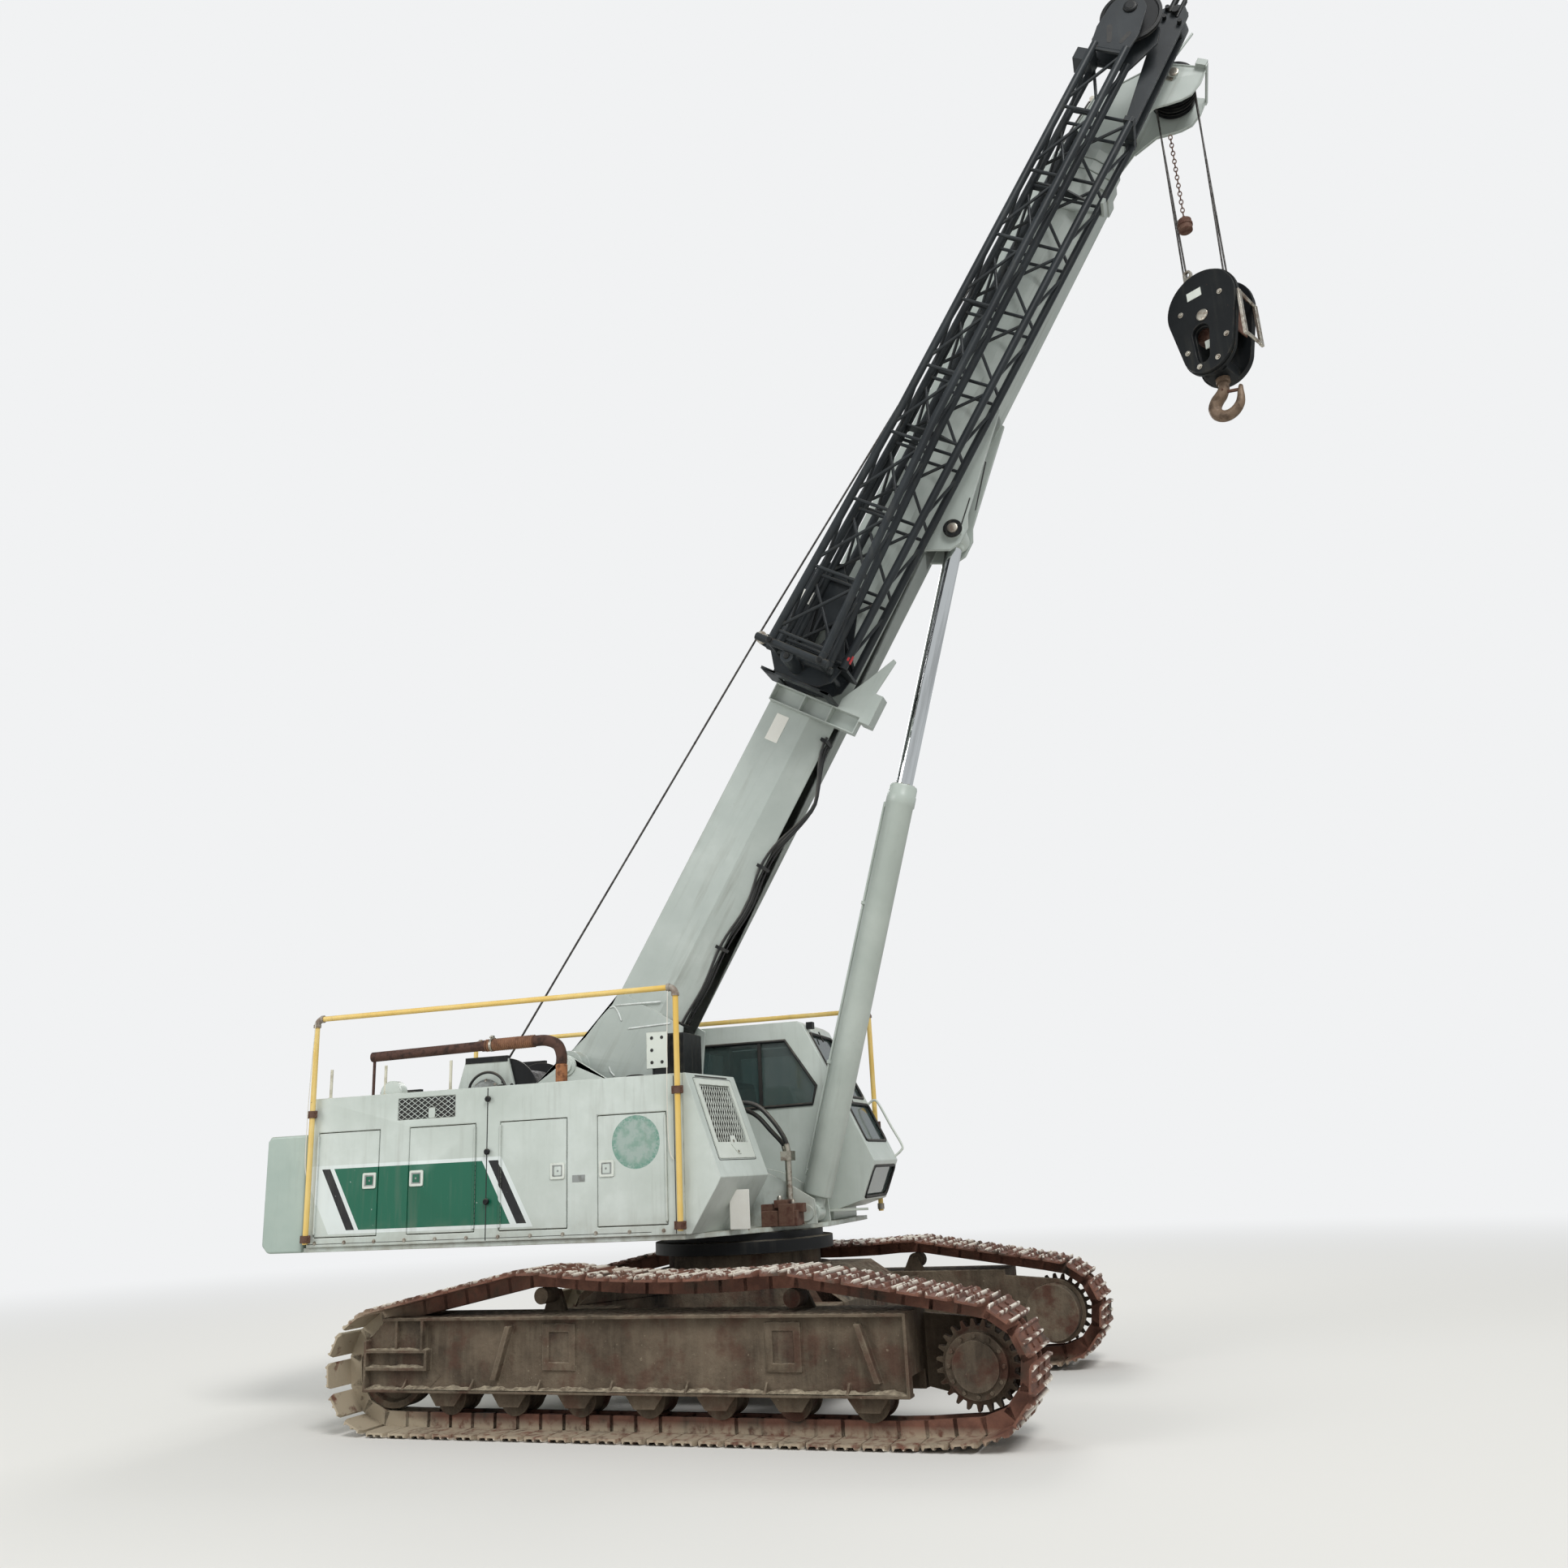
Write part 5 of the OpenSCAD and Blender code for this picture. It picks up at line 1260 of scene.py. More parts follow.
@dataclass(frozen=True)
class EngineHouse:
    """Sheet-metal house on the right side, with its doors' fittings, vent and guard posts."""

    face: float = -1.27
    roof: float = 2.488
    vent: tuple[float, float, float, float] = (-2.54, -2.01, 2.27, 2.44)
    doors: tuple[tuple[float, float, int], ...] = (
        (-3.29, -2.71, -1), (-2.42, -1.82, 1), (-1.59, -1.01, -1), (-0.74, -0.17, 1))
    door_low: float = 1.38
    door_top: float = 2.2
    split: float = -1.711

    def build(self) -> None:
        """Builds the vent with painted shade behind its mesh, then latches, hinges, seams, knobs, roof cap
        and posts.
        """
        x0, x1, z0, z1 = self.vent
        mesh = expanded_metal((x0, self.face + 0.004, z0), (1, 0, 0), (0, 0, 1), (x1 - x0, z1 - z0),
                              (0.062, 0.042), 0.13)
        make("vent_mesh", mesh, PAINT, solid=0.003)
        # Painted shade: a dark sheet just behind the vent mesh stands in for the shade inside the house.
        dark = boxes([x0 + 0.001, self.face + 0.0095, z0 + 0.001],
                     [x1 - 0.001, self.face + 0.0118, z1 - 0.001])
        make("vent_painted_shade", dark, RUBBER_AND_SHADE)
        patch = prism(oblong(x0 + 0.285, z0, x0 + 0.345, z0 + 0.085, 0.015), self.face + 0.001,
                      self.face + 0.007)
        make("vent_patch", patch, PAINT)
        seam = boxes([[self.split - 0.004, self.face - 0.0015, 1.31], [-3.35, self.face - 0.001, 1.325],
                      [-0.1, self.face - 0.001, 1.31]],
                     [[self.split + 0.004, self.face + 0.002, self.roof - 0.01],
                      [-0.3, self.face + 0.002, 1.329], [-0.094, self.face + 0.002, 2.47]])
        make("house_seams", seam, RUBBER_AND_SHADE)
        knobs = Shape()
        for z in (2.39, 1.98, 1.6):
            knobs.join(plug([(0.016, 0), (0.016, -0.012), (0.024, -0.014), (0.024, -0.03), (0.018, -0.036)],
                            (self.split + 0.012, self.face + 0.001, z), segments=20))
        make("house_knobs", knobs, BLACK_PAINT)
        row = [(x, self.face, 1.335) for x in np.linspace(-3.28, -0.2, 12)]
        make("house_bolts", bolts(row, (0, -1, 0), 0.011), PIN_STEEL)
        cap = plug([(0.095, -0.05), (0.105, -0.04), (0.105, 0.04), (0.095, 0.05)],
                   (-2.66, -1.16, self.roof + 0.005), segments=40)
        make("roof_cap", cap, PAINT)
        posts = [[(x, -1.2, self.roof - 0.003), (x, -1.2, self.roof + 0.24)] for x in (-3.25, -2.72, -2.1)]
        shape = Shape()
        for low, high in posts:
            shape.join(tube([low, high], 0.012, 12))
            shape.join(plug([(0.026, 0), (0.026, 0.008), (0.013, 0.012)], low, "Z", 20))
        make("roof_posts", shape, BareMetal("galvanised_posts", metal="CDCAB8", film="9A937F", shine=0.6,
                                            filmed=0.5, metallic=0.2))
        for number, (rear, front, side) in enumerate(self.doors, 1):
            self.fittings(number, rear, front, side)

    def fittings(self, number: int, rear: float, front: float, side: int) -> None:
        """Dresses one door with its paddle latch and the knuckles of its long hinge.

        Args:
            number: The door's number.
            rear: Its rear edge.
            front: Its front edge.
            side: -1 where the hinge is at the rear edge, or 1 at the front one.
        """
        body = f"service_door_{number}"
        hinge = rear if side < 0 else front
        x = (front - 0.075) if side < 0 else (rear + 0.075)
        z = 1.805
        y = self.face
        outer, middle, inner = (oblong(x - half, z - half, x + half, z + half, radius) for half,
                                radius in ((0.062, 0.012), (0.043, 0.006), (0.033, 0.006)))
        plate = frame_plate(outer, middle, y - 0.01, y + 0.001)
        plate.join(boxes([x - 0.044, y - 0.003, z - 0.044], [x + 0.044, y + 0.001, z + 0.044]))
        make(f"latch_plate_{number}", plate, WHITE_PAINT, body, slot="drum_steel", bevel=0.0015)
        cup = frame_plate(middle, inner, y - 0.0085, y - 0.001)
        cup.join(plug([(0.008, y - 0.003), (0.008, y - 0.01)], (x - side * 0.004, 0, z), segments=16))
        make(f"latch_cup_{number}", cup, GREY_ZINC, body)
        paddle = prism(oblong(x - 0.027, z - 0.028, x + 0.027, z + 0.028, 0.008), y - 0.007, y - 0.002)
        make(f"latch_paddle_{number}", paddle, WHITE_PAINT, body, slot="drum_steel", bevel=0.0015)
        knuckle = np.arange(self.door_low + 0.03, self.door_top - 0.045, 0.036)
        low = stack(hinge, y - 0.004, knuckle)
        shape = bars(low, low + [0, 0, 0.03], 0.0095, 10)
        make(f"hinge_{number}", shape, PAINT, body)


@dataclass(frozen=True)
class GuardRails:
    """Yellow pipe rails on both sides, with grey elbows, rusty clamps and thin cords."""

    top: float = 3.149
    foot: float = 1.33
    radius: float = 0.0225
    bend: float = 0.055

    def rail(self, name: str, x0: float, x1: float, y: float, face: float, clamps: Sequence[float]) -> None:
        """Builds one rail: a pipe carried up, along and down again, round corners of 55 mm.

        Args:
            name: The CAD node that it replaces.
            x0: Rear post.
            x1: Front post.
            y: Middle of the pipe.
            face: The wall that its clamps sit on.
            clamps: Heights of the clamps.
        """
        r = self.radius
        cut = np.linspace(0, 1, 3)[:, None]
        pipes = Shape()
        for x in (x0, x1):
            pipes.join(tube([(x, y, self.foot), (x, y, 2.2), (x, y, self.top - 0.05)], r, 24))
        pipes.join(tube(np.array([x0 + 0.05, y, self.top]) * (1 - cut)
                        + np.array([x1 - 0.05, y, self.top]) * cut, r, 24))
        make(f"{name}_pipe", pipes, YELLOW_PAINT, replaces=[name])
        elbows = Shape()
        for x, side in ((x0, 1), (x1, -1)):
            a = np.linspace(0, np.pi / 2, 9)
            bend = stack(x + side * self.bend * (1 - np.cos(a)), y,
                         self.top - self.bend + self.bend * np.sin(a))
            elbows.join(tube(bend, r + 0.004, 24))
            for end, axis in ((bend[0], "Z"), (bend[-1], "X")):
                elbows.join(hoop([(r, -0.014), (r + 0.009, -0.014), (r + 0.009, 0.01), (r, 0.01)], end, axis,
                                 24))
            elbows.join(hoop([(r, 0), (r + 0.008, 0), (r + 0.008, 0.05), (r, 0.05)],
                             (x, y, self.foot + 0.015), "Z", 24))
        make(f"{name}_elbows", elbows, BareMetal(f"malleable_iron_{name}", metal="9C958A", film="6E5546",
                                                 shine=0.6, filmed=0.6, metallic=0.3))
        holds = Shape()
        out = 1 if y > face else -1
        for x in (x0, x1):
            for z in clamps:
                low, high = min(face, y), max(face, y)
                holds.join(boxes([x - 0.019, low, z + 0.004], [x + 0.019, high, z + 0.056]))
                holds.join(hoop([(r - 0.001, -0.028), (r + 0.01, -0.028), (r + 0.01, 0.028),
                                 (r - 0.001, 0.028)], (x, y, z + 0.03), "Z", 24))
                holds.join(bolts([(x - 0.036, y, z + 0.012), (x - 0.036, y, z + 0.048),
                                  (x + 0.036, y, z + 0.012), (x + 0.036, y, z + 0.048)], (0, out, 0), 0.009,
                                 0.012))
                holds.join(boxes([x - 0.048, y - 0.006, z], [x + 0.048, y + 0.002, z + 0.06]))
        make(f"{name}_clamps", holds, RUSTY_CASTING, bevel=0.001)

    def build(self) -> None:
        """Builds both rails and the cords that hang from the right one's corners."""
        self.rail("rail_right", -3.34, -0.048, -1.312, -1.27, (1.34, 2.33))
        self.rail("rail_left", -3.34, 0.88, 1.312, 1.25, (1.52, 2.06))
        ends = (((-3.335, -1.345, 3.12), (-3.352, -1.352, 2.6), (-3.362, -1.345, 2.15), (-3.36, -1.33, 1.9),
                 (-3.335, -1.287, 1.8)),
                ((-0.1, -1.345, 3.118), (-0.115, -1.335, 2.8), (-0.132, -1.315, 2.45), (-0.14, -1.298, 2.15),
                 (-0.138, -1.292, 1.98), (-0.122, -1.288, 1.88), (-0.1, -1.284, 1.845)))
        for number, points in enumerate(ends, 1):
            line = smooth_line(points, 10)
            lay_cord(f"rail_cord_{number}", line, 0.0035, 10, finish=CORD_WHITE)


@dataclass(frozen=True)
class Exhaust:
    """Rusted exhaust: a plain rear pipe, a flexible length, an elbow and a sleeve into the roof."""

    y: float = -0.9
    radius: float = 0.042
    flexible: float = 0.45
    ripple: float = 0.018

    def build(self) -> None:
        """Carries each length along its own line; the flexible one swells and shrinks every 18 mm."""
        y, r = self.y, self.radius
        rear = tube([(-3.06, y, 2.84), (-1.93, y, 2.86)], r, 28)
        rear.join(hoop([(r - 0.004, 0), (r + 0.006, 0), (r + 0.006, 0.05), (r - 0.004, 0.05)],
                       (-1.98, y, 2.859), "X", 28))
        bend = smooth_line([(-1.5, y, 2.866), (-1.38, y, 2.862), (-1.28, y, 2.82), (-1.242, y, 2.74),
                            (-1.24, y, 2.66)], 8)
        rear.join(tube(bend, r + 0.004, 28))
        rear.join(boxes([-3.05, y - 0.008, 2.488], [-3.03, y + 0.008, 2.8]))
        make("exhaust_pipe", rear, EXHAUST_RUST, replaces=["exhaust"])
        s = np.linspace(0, 1, 190)
        line = np.array([-1.94, y, 2.86]) * (1 - s[:, None]) + np.array([-1.49, y, 2.866]) * s[:, None]
        flexible = tube(line, r + 0.006 + 0.005 * np.cos(FULL * s * self.flexible / self.ripple), 28)
        make("exhaust_flexible", flexible, FLEX_RUST)
        sleeve = hoop([(r, -0.004), (r + 0.012, -0.004), (r + 0.012, 0.006), (r + 0.007, 0.01),
                       (r + 0.007, 0.16), (r + 0.002, 0.165), (r, 0.165)], (-1.24, y, 2.49), "Z", 28)
        sleeve.join(tube([(-1.24, y, 2.44), (-1.24, y, 2.67)], r + 0.001, 28))
        make("exhaust_sleeve", sleeve, BareMetal("scaled_exhaust_sleeve", metal="A06A45", film="4B281C",
                                                 shine=0.8, filmed=0.7, metallic=0.0, grain_mm=50,
                                                 relief_mm=0.8), slot="exhaust_rust")
        clamp = hoop([(r, 0), (r + 0.012, 0), (r + 0.012, 0.022), (r, 0.022)], (-1.9, y, 2.86), "X", 28)
        clamp.join(boxes([-1.9, y - 0.018, 2.905], [-1.878, y + 0.018, 2.94])).join(
            tube([(-1.889, y - 0.045, 2.922), (-1.889, y + 0.045, 2.922)], 0.007, 10))
        make("exhaust_clamp", clamp, PIN_STEEL)


@dataclass(frozen=True)
class Nose:
    """Cowl's mesh front, with the notice board, valve block and hoses beside it."""

    near: float = -1.27
    far: float = -0.43
    top: float = 2.488
    skew: float = 0.105
    run: float = 0.27
    fall: float = 0.788

    def place(self) -> Place:
        """Returns the slanted front's frame: X out of it, Y along its top edge, Z up its slope."""
        wide = self.far - self.near
        turn, tilt = math.degrees(math.atan2(self.skew, wide)), math.degrees(math.atan2(self.run, self.fall))
        return Place((-SLEW_BACK, self.near, self.top), turned("Z", -turn) @ turned("Y", -tilt))

    def build(self) -> None:
        """Builds the mesh with painted shade behind it, its frame and latch, then the fittings ahead of it.
        """
        at = self.place()
        wide = math.hypot(self.far - self.near, self.skew)
        low, high, y0, y1 = -0.56, -0.09, 0.165, wide - 0.165
        mesh = expanded_metal((-0.006, y0, low), (0, 1, 0), (0, 0, 1), (y1 - y0, high - low), (0.04, 0.1),
                              0.17, lean=0.42)
        make("nose_mesh", mesh, WHITE_PAINT, place=at, solid=0.0035)
        # Painted shade: a dark sheet just behind the mesh stands in for the shade inside the cowl.
        make("nose_painted_shade", boxes([-0.0395, y0 + 0.002, low + 0.002], [-0.037, y1 - 0.002, high - 0.002]),
             RUBBER_AND_SHADE, place=at)
        panel = frame_plate(oblong(y0 - 0.055, low - 0.13, y1 + 0.055, high + 0.045, 0.015),
                            oblong(y0 - 0.002, low, y1 + 0.002, high, 0.003), -0.001, 0.006, "YZ")
        make("nose_panel", panel, WHITE_PAINT, place=at, bevel=0.002)
        slot = prism(oblong(y0 - 0.02, high + 0.062, y1 + 0.02, high + 0.075, 0.005), -0.002, 0.0008, "YZ")
        line = frame_plate(oblong(y0 - 0.068, low - 0.143, y1 + 0.068, high + 0.058, 0.02),
                           oblong(y0 - 0.064, low - 0.139, y1 + 0.064, high + 0.054, 0.018), -0.002, 0.0008,
                           "YZ")
        make("nose_gaps", slot.join(line), RUBBER_AND_SHADE, place=at)
        mid = (y0 + y1) / 2
        tab = prism([(mid - 0.055, low - 0.02), (mid - 0.03, low + 0.05), (mid + 0.045, low + 0.05),
                     (mid + 0.07, low - 0.1), (mid + 0.02, low - 0.1)], 0.004, 0.011, "YZ")
        make("nose_latch", tab, WHITE_PAINT, place=at, bevel=0.002)
        self.cooler()
        make("nose_latch_screws", bolts([(0.0105, mid, low + 0.005), (0.0105, mid + 0.03, low - 0.08)],
                                        (1, 0, 0), 0.009, 0.006), PIN_STEEL, place=at)
        self.fittings()

    def cooler(self) -> None:
        """Builds the oil cooler's drilled side plate and its fins: thin upright sheets at an even pitch."""
        # Painted shade: dark discs in the side plate's holes stand in for the shade inside them.
        hole_shade = Shape()
        for x, z in ((-0.5, 2.83), (-0.5, 2.73), (-0.5, 2.63), (-0.41, 2.83), (-0.41, 2.63)):
            hole_shade.join(plug([(0.014, -0.7325), (0.014, -0.728)], (x, 0, z), segments=24))
        make("cooler_hole_shade", hole_shade, RUBBER_AND_SHADE)
        x = np.arange(-0.345, -0.235, 0.009)
        fins = boxes(stack(x, -0.7285, 2.55), stack(x + 0.003, -0.7195, 2.845))
        make("cooler_fins", fins, BLACK_PAINT)
        white = boxes([-0.548, -0.73, 2.582], [-0.362, -0.7275, 2.878])
        make("cooler_plate", white, WHITE_PAINT, bevel=0.001)

    def fittings(self) -> None:
        """Builds the notice board, the perforated panel behind it, the valve block and the two hoses."""
        board = boxes([0.2, -0.9, 1.308], [0.36, -0.888, 1.6])
        make("notice_board", board, NOTICE_WHITE, bevel=0.002)
        legs = boxes([[0.21, -0.889, 1.299], [0.34, -0.889, 1.299]],
                     [[0.22, -0.875, 1.6], [0.35, -0.875, 1.6]])
        make("notice_legs", legs, PIN_STEEL)
        # Painted shade: a dark sheet under the gauze stands in for the shade behind it.
        sheet = boxes([-0.36, -1.235, 0.004], [-0.02, -0.45, 0.01])
        slope = Place((0.245 - SLEW_BACK, 0.0, 1.65), turned("Y", -math.degrees(math.atan2(0.35, 0.225))))
        make("lower_painted_shade", sheet, RUBBER_AND_SHADE, place=slope)
        gauze = expanded_metal((-0.36, -1.235, 0.012), (0, 1, 0), (1, 0, 0), (0.785, 0.34), (0.022, 0.022),
                               0.3)
        make("lower_gauze", gauze, PIN_STEEL, place=slope, slot="black_steel", solid=0.002)
        valve = boxes([[0.32, -0.5, 1.3], [0.3, -0.44, 1.4], [0.47, -0.52, 1.3], [0.42, -0.47, 1.44]],
                      [[0.62, -0.3, 1.42], [0.66, -0.36, 1.47], [0.6, -0.29, 1.47], [0.53, -0.33, 1.5]])
        make("valve_block", valve, RUSTY_CASTING, bevel=0.006)
        caps = Shape()
        for x, z in ((0.36, 1.42), (0.45, 1.5), (0.56, 1.47)):
            caps.join(plug([(0.022, 0), (0.022, 0.02), (0.016, 0.035)], (x, -0.4, z - 0.004), "Z", 16))
        make("valve_caps", caps, PIN_STEEL)
        hoses = (((0.04, -0.425, 2.15), (0.09, -0.36, 2.2), (0.17, -0.335, 2.215), (0.27, -0.325, 2.16),
                  (0.37, -0.322, 2.05), (0.45, -0.295, 1.955), (0.482, -0.27, 1.9)),
                 ((0.06, -0.427, 2.25), (0.11, -0.4, 2.27), (0.19, -0.385, 2.275), (0.3, -0.375, 2.235),
                  (0.41, -0.368, 2.12), (0.49, -0.345, 1.99), (0.515, -0.32, 1.9)))
        ends = Shape()
        for number, points in enumerate(hoses, 1):
            line = smooth_line(points, 9)
            lay_cord(f"cowl_hose_{number}", line, 0.019, 16)
            ends.join(tube([line[-1] + (line[-2] - line[-1]) * 3.5, line[-1] + (0, 0, -0.03)], 0.024, 12))
        ends.join(boxes([0.455, -0.345, 1.8], [0.545, -0.22, 1.875])).join(
            tube([(0.5, -0.28, 1.31), (0.5, -0.28, 1.82)], 0.026, 16))
        ends.join(boxes([0.4, -0.35, 1.299], [0.62, -0.22, 1.315]))
        make("hose_valve", ends, PIN_STEEL, bevel=0.002)


@dataclass(frozen=True)
class DeckFittings:
    """Fittings of the far side and roof: tank caps, tread, seams, bolts, foot steps, lids and handles."""

    tank_top: float = 2.3
    far: float = 1.25

    def build(self) -> None:
        """Builds the filler caps, treads, seams, bolts and steps."""
        caps = Shape()
        for x, y, r in ((-2.2, 0.88, 0.085), (-3.0, 0.7, 0.055)):
            caps.join(plug([(r, -0.004), (r, 0.02), (r * 0.84, 0.024), (r * 0.84, 0.05), (r * 0.76, 0.058)],
                           (x, y, self.tank_top), "Z", 36))
            caps.join(bars([x - r * 0.8, y, self.tank_top + 0.062], [x + r * 0.8, y, self.tank_top + 0.062],
                           0.009, 10))
        make("tank_caps", caps, BLACK_PAINT)
        treads = expanded_metal((-3.25, 0.98, self.tank_top + 0.01), (1, 0, 0), (0, 1, 0), (2.45, 0.22),
                                (0.06, 0.028), 0.2)
        make("tank_tread", treads, GREY_ZINC, solid=0.006)
        edges = boxes([[-3.26, 0.97, self.tank_top - 0.002], [-3.26, 1.195, self.tank_top - 0.002]],
                      [[-0.79, 0.982, self.tank_top + 0.016], [-0.79, 1.207, self.tank_top + 0.016]])
        make("tank_tread_edges", edges, GREY_ZINC)
        y = self.far
        seams = boxes([[x - 0.003, y - 0.002, 1.36] for x in (-2.7, -2.05, -1.35)],
                      [[x + 0.003, y + 0.0012, self.tank_top - 0.03] for x in (-2.7, -2.05, -1.35)])
        make("tank_seams", seams, RUBBER_AND_SHADE)
        row = [(x, y, z) for x in np.linspace(-3.25, -0.75, 10) for z in (1.33, self.tank_top - 0.06)]
        make("tank_bolts", bolts(row, (0, 1, 0), 0.011), PIN_STEEL)
        steps = Shape()
        for x, z in ((-0.95, 1.45), (-0.95, 1.75)):
            for side in (-0.14, 0.14):
                steps.join(boxes([x + side - 0.012, y - 0.002, z - 0.012],
                                 [x + side + 0.012, y + 0.055, z + 0.012]))
            steps.join(bars([x - 0.155, y + 0.05, z], [x + 0.155, y + 0.05, z], 0.014, 12))
        make("tank_steps", steps, BLACK_PAINT)
        lids = frame_plate(oblong(-3.1, -1.1, -2.5, -0.66, 0.03),
                           oblong(-3.094, -1.094, -2.506, -0.666, 0.027), 2.4865, 2.4892, "XY")
        lids.join(frame_plate(oblong(-1.0, -1.15, -0.3, -0.66, 0.03),
                              oblong(-0.994, -1.144, -0.306, -0.666, 0.027), 2.4865, 2.4892, "XY"))
        make("roof_lids", lids, RUBBER_AND_SHADE)
        handles = Shape()
        for x in (-2.8, -0.65):
            handles.join(tube(smooth_line([(x - 0.07, -0.74, 2.487), (x - 0.07, -0.74, 2.53),
                                           (x + 0.07, -0.74, 2.53), (x + 0.07, -0.74, 2.487)], 6), 0.008, 10))
        make("roof_handles", handles, BLACK_PAINT)


# ---------------------------------------------------------------- boom and jib


@dataclass(frozen=True)
class Jib:
    """Stowed jib: two lattices of round tube beside the boom, with its rear bracket, head plates and sheave.

    The rows of a lattice are: place along the boom, upper and lower height, near and far side.
    """

    chord: float = 0.036
    lace: float = 0.015
    outer: tuple[tuple[float, ...], ...] = (
        (4.13, -0.1, -0.605, -0.75, -0.95), (6.45, -0.186, -0.522, -0.75, -0.95),
        (10.35, -0.24, -0.54, -0.75, -0.95))
    inner: tuple[tuple[float, ...], ...] = (
        (4.13, -0.17, -0.7, -0.35, -0.655), (9.9, -0.19, -0.78, -0.35, -0.655))
    bays: tuple[int, int] = (9, 8)
    sheave: tuple[float, float, float] = (10.774, -0.392, 0.28)

    @staticmethod
    def corners(rows: Points, x: np.ndarray) -> np.ndarray:
        """Returns the four chords' places at some places along: each column is read off between its rows."""
        table = np.asarray(rows)
        up, low, near, far = (np.interp(x, table[:, 0], table[:, k]) for k in range(1, 5))
        pairs = ((near, up), (far, up), (far, low), (near, low))
        return np.stack([stack(x, y, z) for y, z in pairs], 1)

    def lattice(self, rows: Points, bays: int) -> Shape:
        """Builds one lattice: chords through the corners, rungs on two faces, a slant on all four."""
        made = Shape()
        ends = np.array([row[0] for row in rows])
        for chord in range(4):
            made.join(tube(self.corners(rows, ends)[:, chord], self.chord, 20))
        x = np.linspace(ends[0], ends[-1], bays + 1)
        inset = x.copy()
        inset[0] += self.chord
        inset[-1] -= self.chord
        at = self.corners(rows, inset)
        first, last = self.corners(rows, x[:-1] + 0.065), self.corners(rows, x[1:] - 0.065)
        for face in range(4):
            far = (face + 1) % 4
            if face % 2:
                made.join(bars(at[:, face], at[:, far], self.lace, 12))
            made.join(bars(first[:, face], last[:, far], self.lace, 12))
        return made

    def build(self) -> None:
        """Builds the lattices, the plates, the sheave and the pins."""
        frame_shape = self.lattice(self.outer, self.bays[0]).join(self.lattice(self.inner, self.bays[1]))
        make("jib_lattice", frame_shape, JIB_PAINT, "boom_base", replaces=["jib"])
        plates = Shape()
        for y0, y1 in ((-0.64, -0.624), (-0.336, -0.32)):
            lug = np.array([(3.864, -0.11), (3.905, -0.105), (3.96, -0.06), (4.06, 0.02), (4.3, 0.045),
                            (4.7, 0.06), (4.98, -0.05), (5.02, -0.24), (4.8, -0.42), (4.42, -0.56),
                            (4.25, -0.65), (4.14, -0.69), (3.99, -0.66), (3.9, -0.56), (3.88, -0.42),
                            (3.864, -0.3)])
            centre = np.array([4.33, -0.27])
            plates.join(frame_plate(lug, centre + (lug - centre) * [0.3, 0.34] + [0.05, 0.0], y0, y1))
        plates.join(boxes([[3.8612, -0.66, -0.689], [3.8612, -0.66, -0.14], [4.119, -0.64, -0.742],
                           [4.119, -0.64, -0.12], [3.8612, -0.66, -0.689], [4.3, -0.64, -0.1]],
                          [[3.884, -0.318, -0.6], [3.884, -0.318, 0.009], [4.143, -0.306, -0.64],
                           [4.143, -0.306, -0.052], [3.884, -0.56, 0.009], [4.32, -0.32, 0.03]]))
        rear_at = self.corners(self.outer, np.array([4.13]))[0]
        stub = rear_at + [-0.08, 0, 0]
        plates.join(bars(rear_at, stub, self.chord, 20))
        plates.join(bars([[4.05, -0.95, 0.045], [4.05, -0.75, 0.0], [4.05, -0.99, -0.1],
                          [4.05, -0.99, -0.605], [4.05, -0.97, -0.17], [3.985, -0.95, -0.3]],
                         [[4.05, -0.95, -0.68], [4.05, -0.75, -0.66], [4.05, -0.33, -0.1],
                          [4.05, -0.33, -0.605], [4.05, -0.4, -0.55], [3.985, -0.33, -0.3]],
                         [0.034, 0.03, 0.03, 0.03, 0.014, 0.06], 20))
        for x in (6.4, 9.0):
            a, b = self.corners(self.outer, np.array([x]))[0], self.corners(self.inner, np.array([x]))[0]
            plates.join(prism([(a[0, 1] - 0.008, a[0, 2]), (b[1, 1] + 0.008, b[1, 2]),
                               (b[1, 1] + 0.008, b[2, 2]), (a[0, 1] - 0.008, a[2, 2])], x - 0.009, x + 0.009,
                              "YZ"))
        tip = [(10.29, -0.2), (10.45, -0.2), (10.55, -0.1), (10.773, -0.097), (10.85, -0.22), (10.86, -0.53),
               (10.79, -0.669), (10.63, -0.711), (10.39, -0.613), (10.29, -0.57)]
        prong = [(9.84, -0.82), (9.84, -0.72), (11.0, -0.545), (11.11, -0.53), (11.19, -0.6), (11.2, -0.72),
                 (11.11, -0.795), (10.99, -0.8)]
        round_end = hull_outline([(10.5, -0.385, 0.205), (10.725, -0.378, 0.175)], 72)
        arm = np.vstack([[(10.28, -0.565), (10.28, -0.215)], round_end[54:], round_end[:18]])
        arm = arm[np.argsort(-np.arctan2(arm[:, 1] + 0.39, arm[:, 0] - 10.52))]
        for y, outline, half in (
                (-0.95, arm, 0.012), (-0.75, tip, 0.012), (-0.6, prong, 0.015), (-0.43, prong, 0.015)):
            plates.join(prism(outline, y - half, y + half))
        plates.join(boxes([[10.17, -0.94, -0.275], [9.85, -0.69, -0.815]],
                          [[10.295, -0.76, -0.095], [9.899, -0.316, -0.72]]))
        make("jib_plates", plates, JIB_PAINT, "boom_base", bevel=0.003)
        x, z, r = self.sheave
        wheel = hoop([(0.04, -0.867), (r * 0.3, -0.867), (r * 0.34, -0.858), (r * 0.86, -0.858),
                      (r * 0.9, -0.869), (r, -0.867), (r, -0.862), (r * 0.93, -0.851), (r * 0.93, -0.849),
                      (r, -0.838), (r, -0.833), (r * 0.9, -0.831), (r * 0.86, -0.842), (r * 0.34, -0.842),
                      (r * 0.3, -0.833), (0.04, -0.833)], (x, 0, z), segments=64)
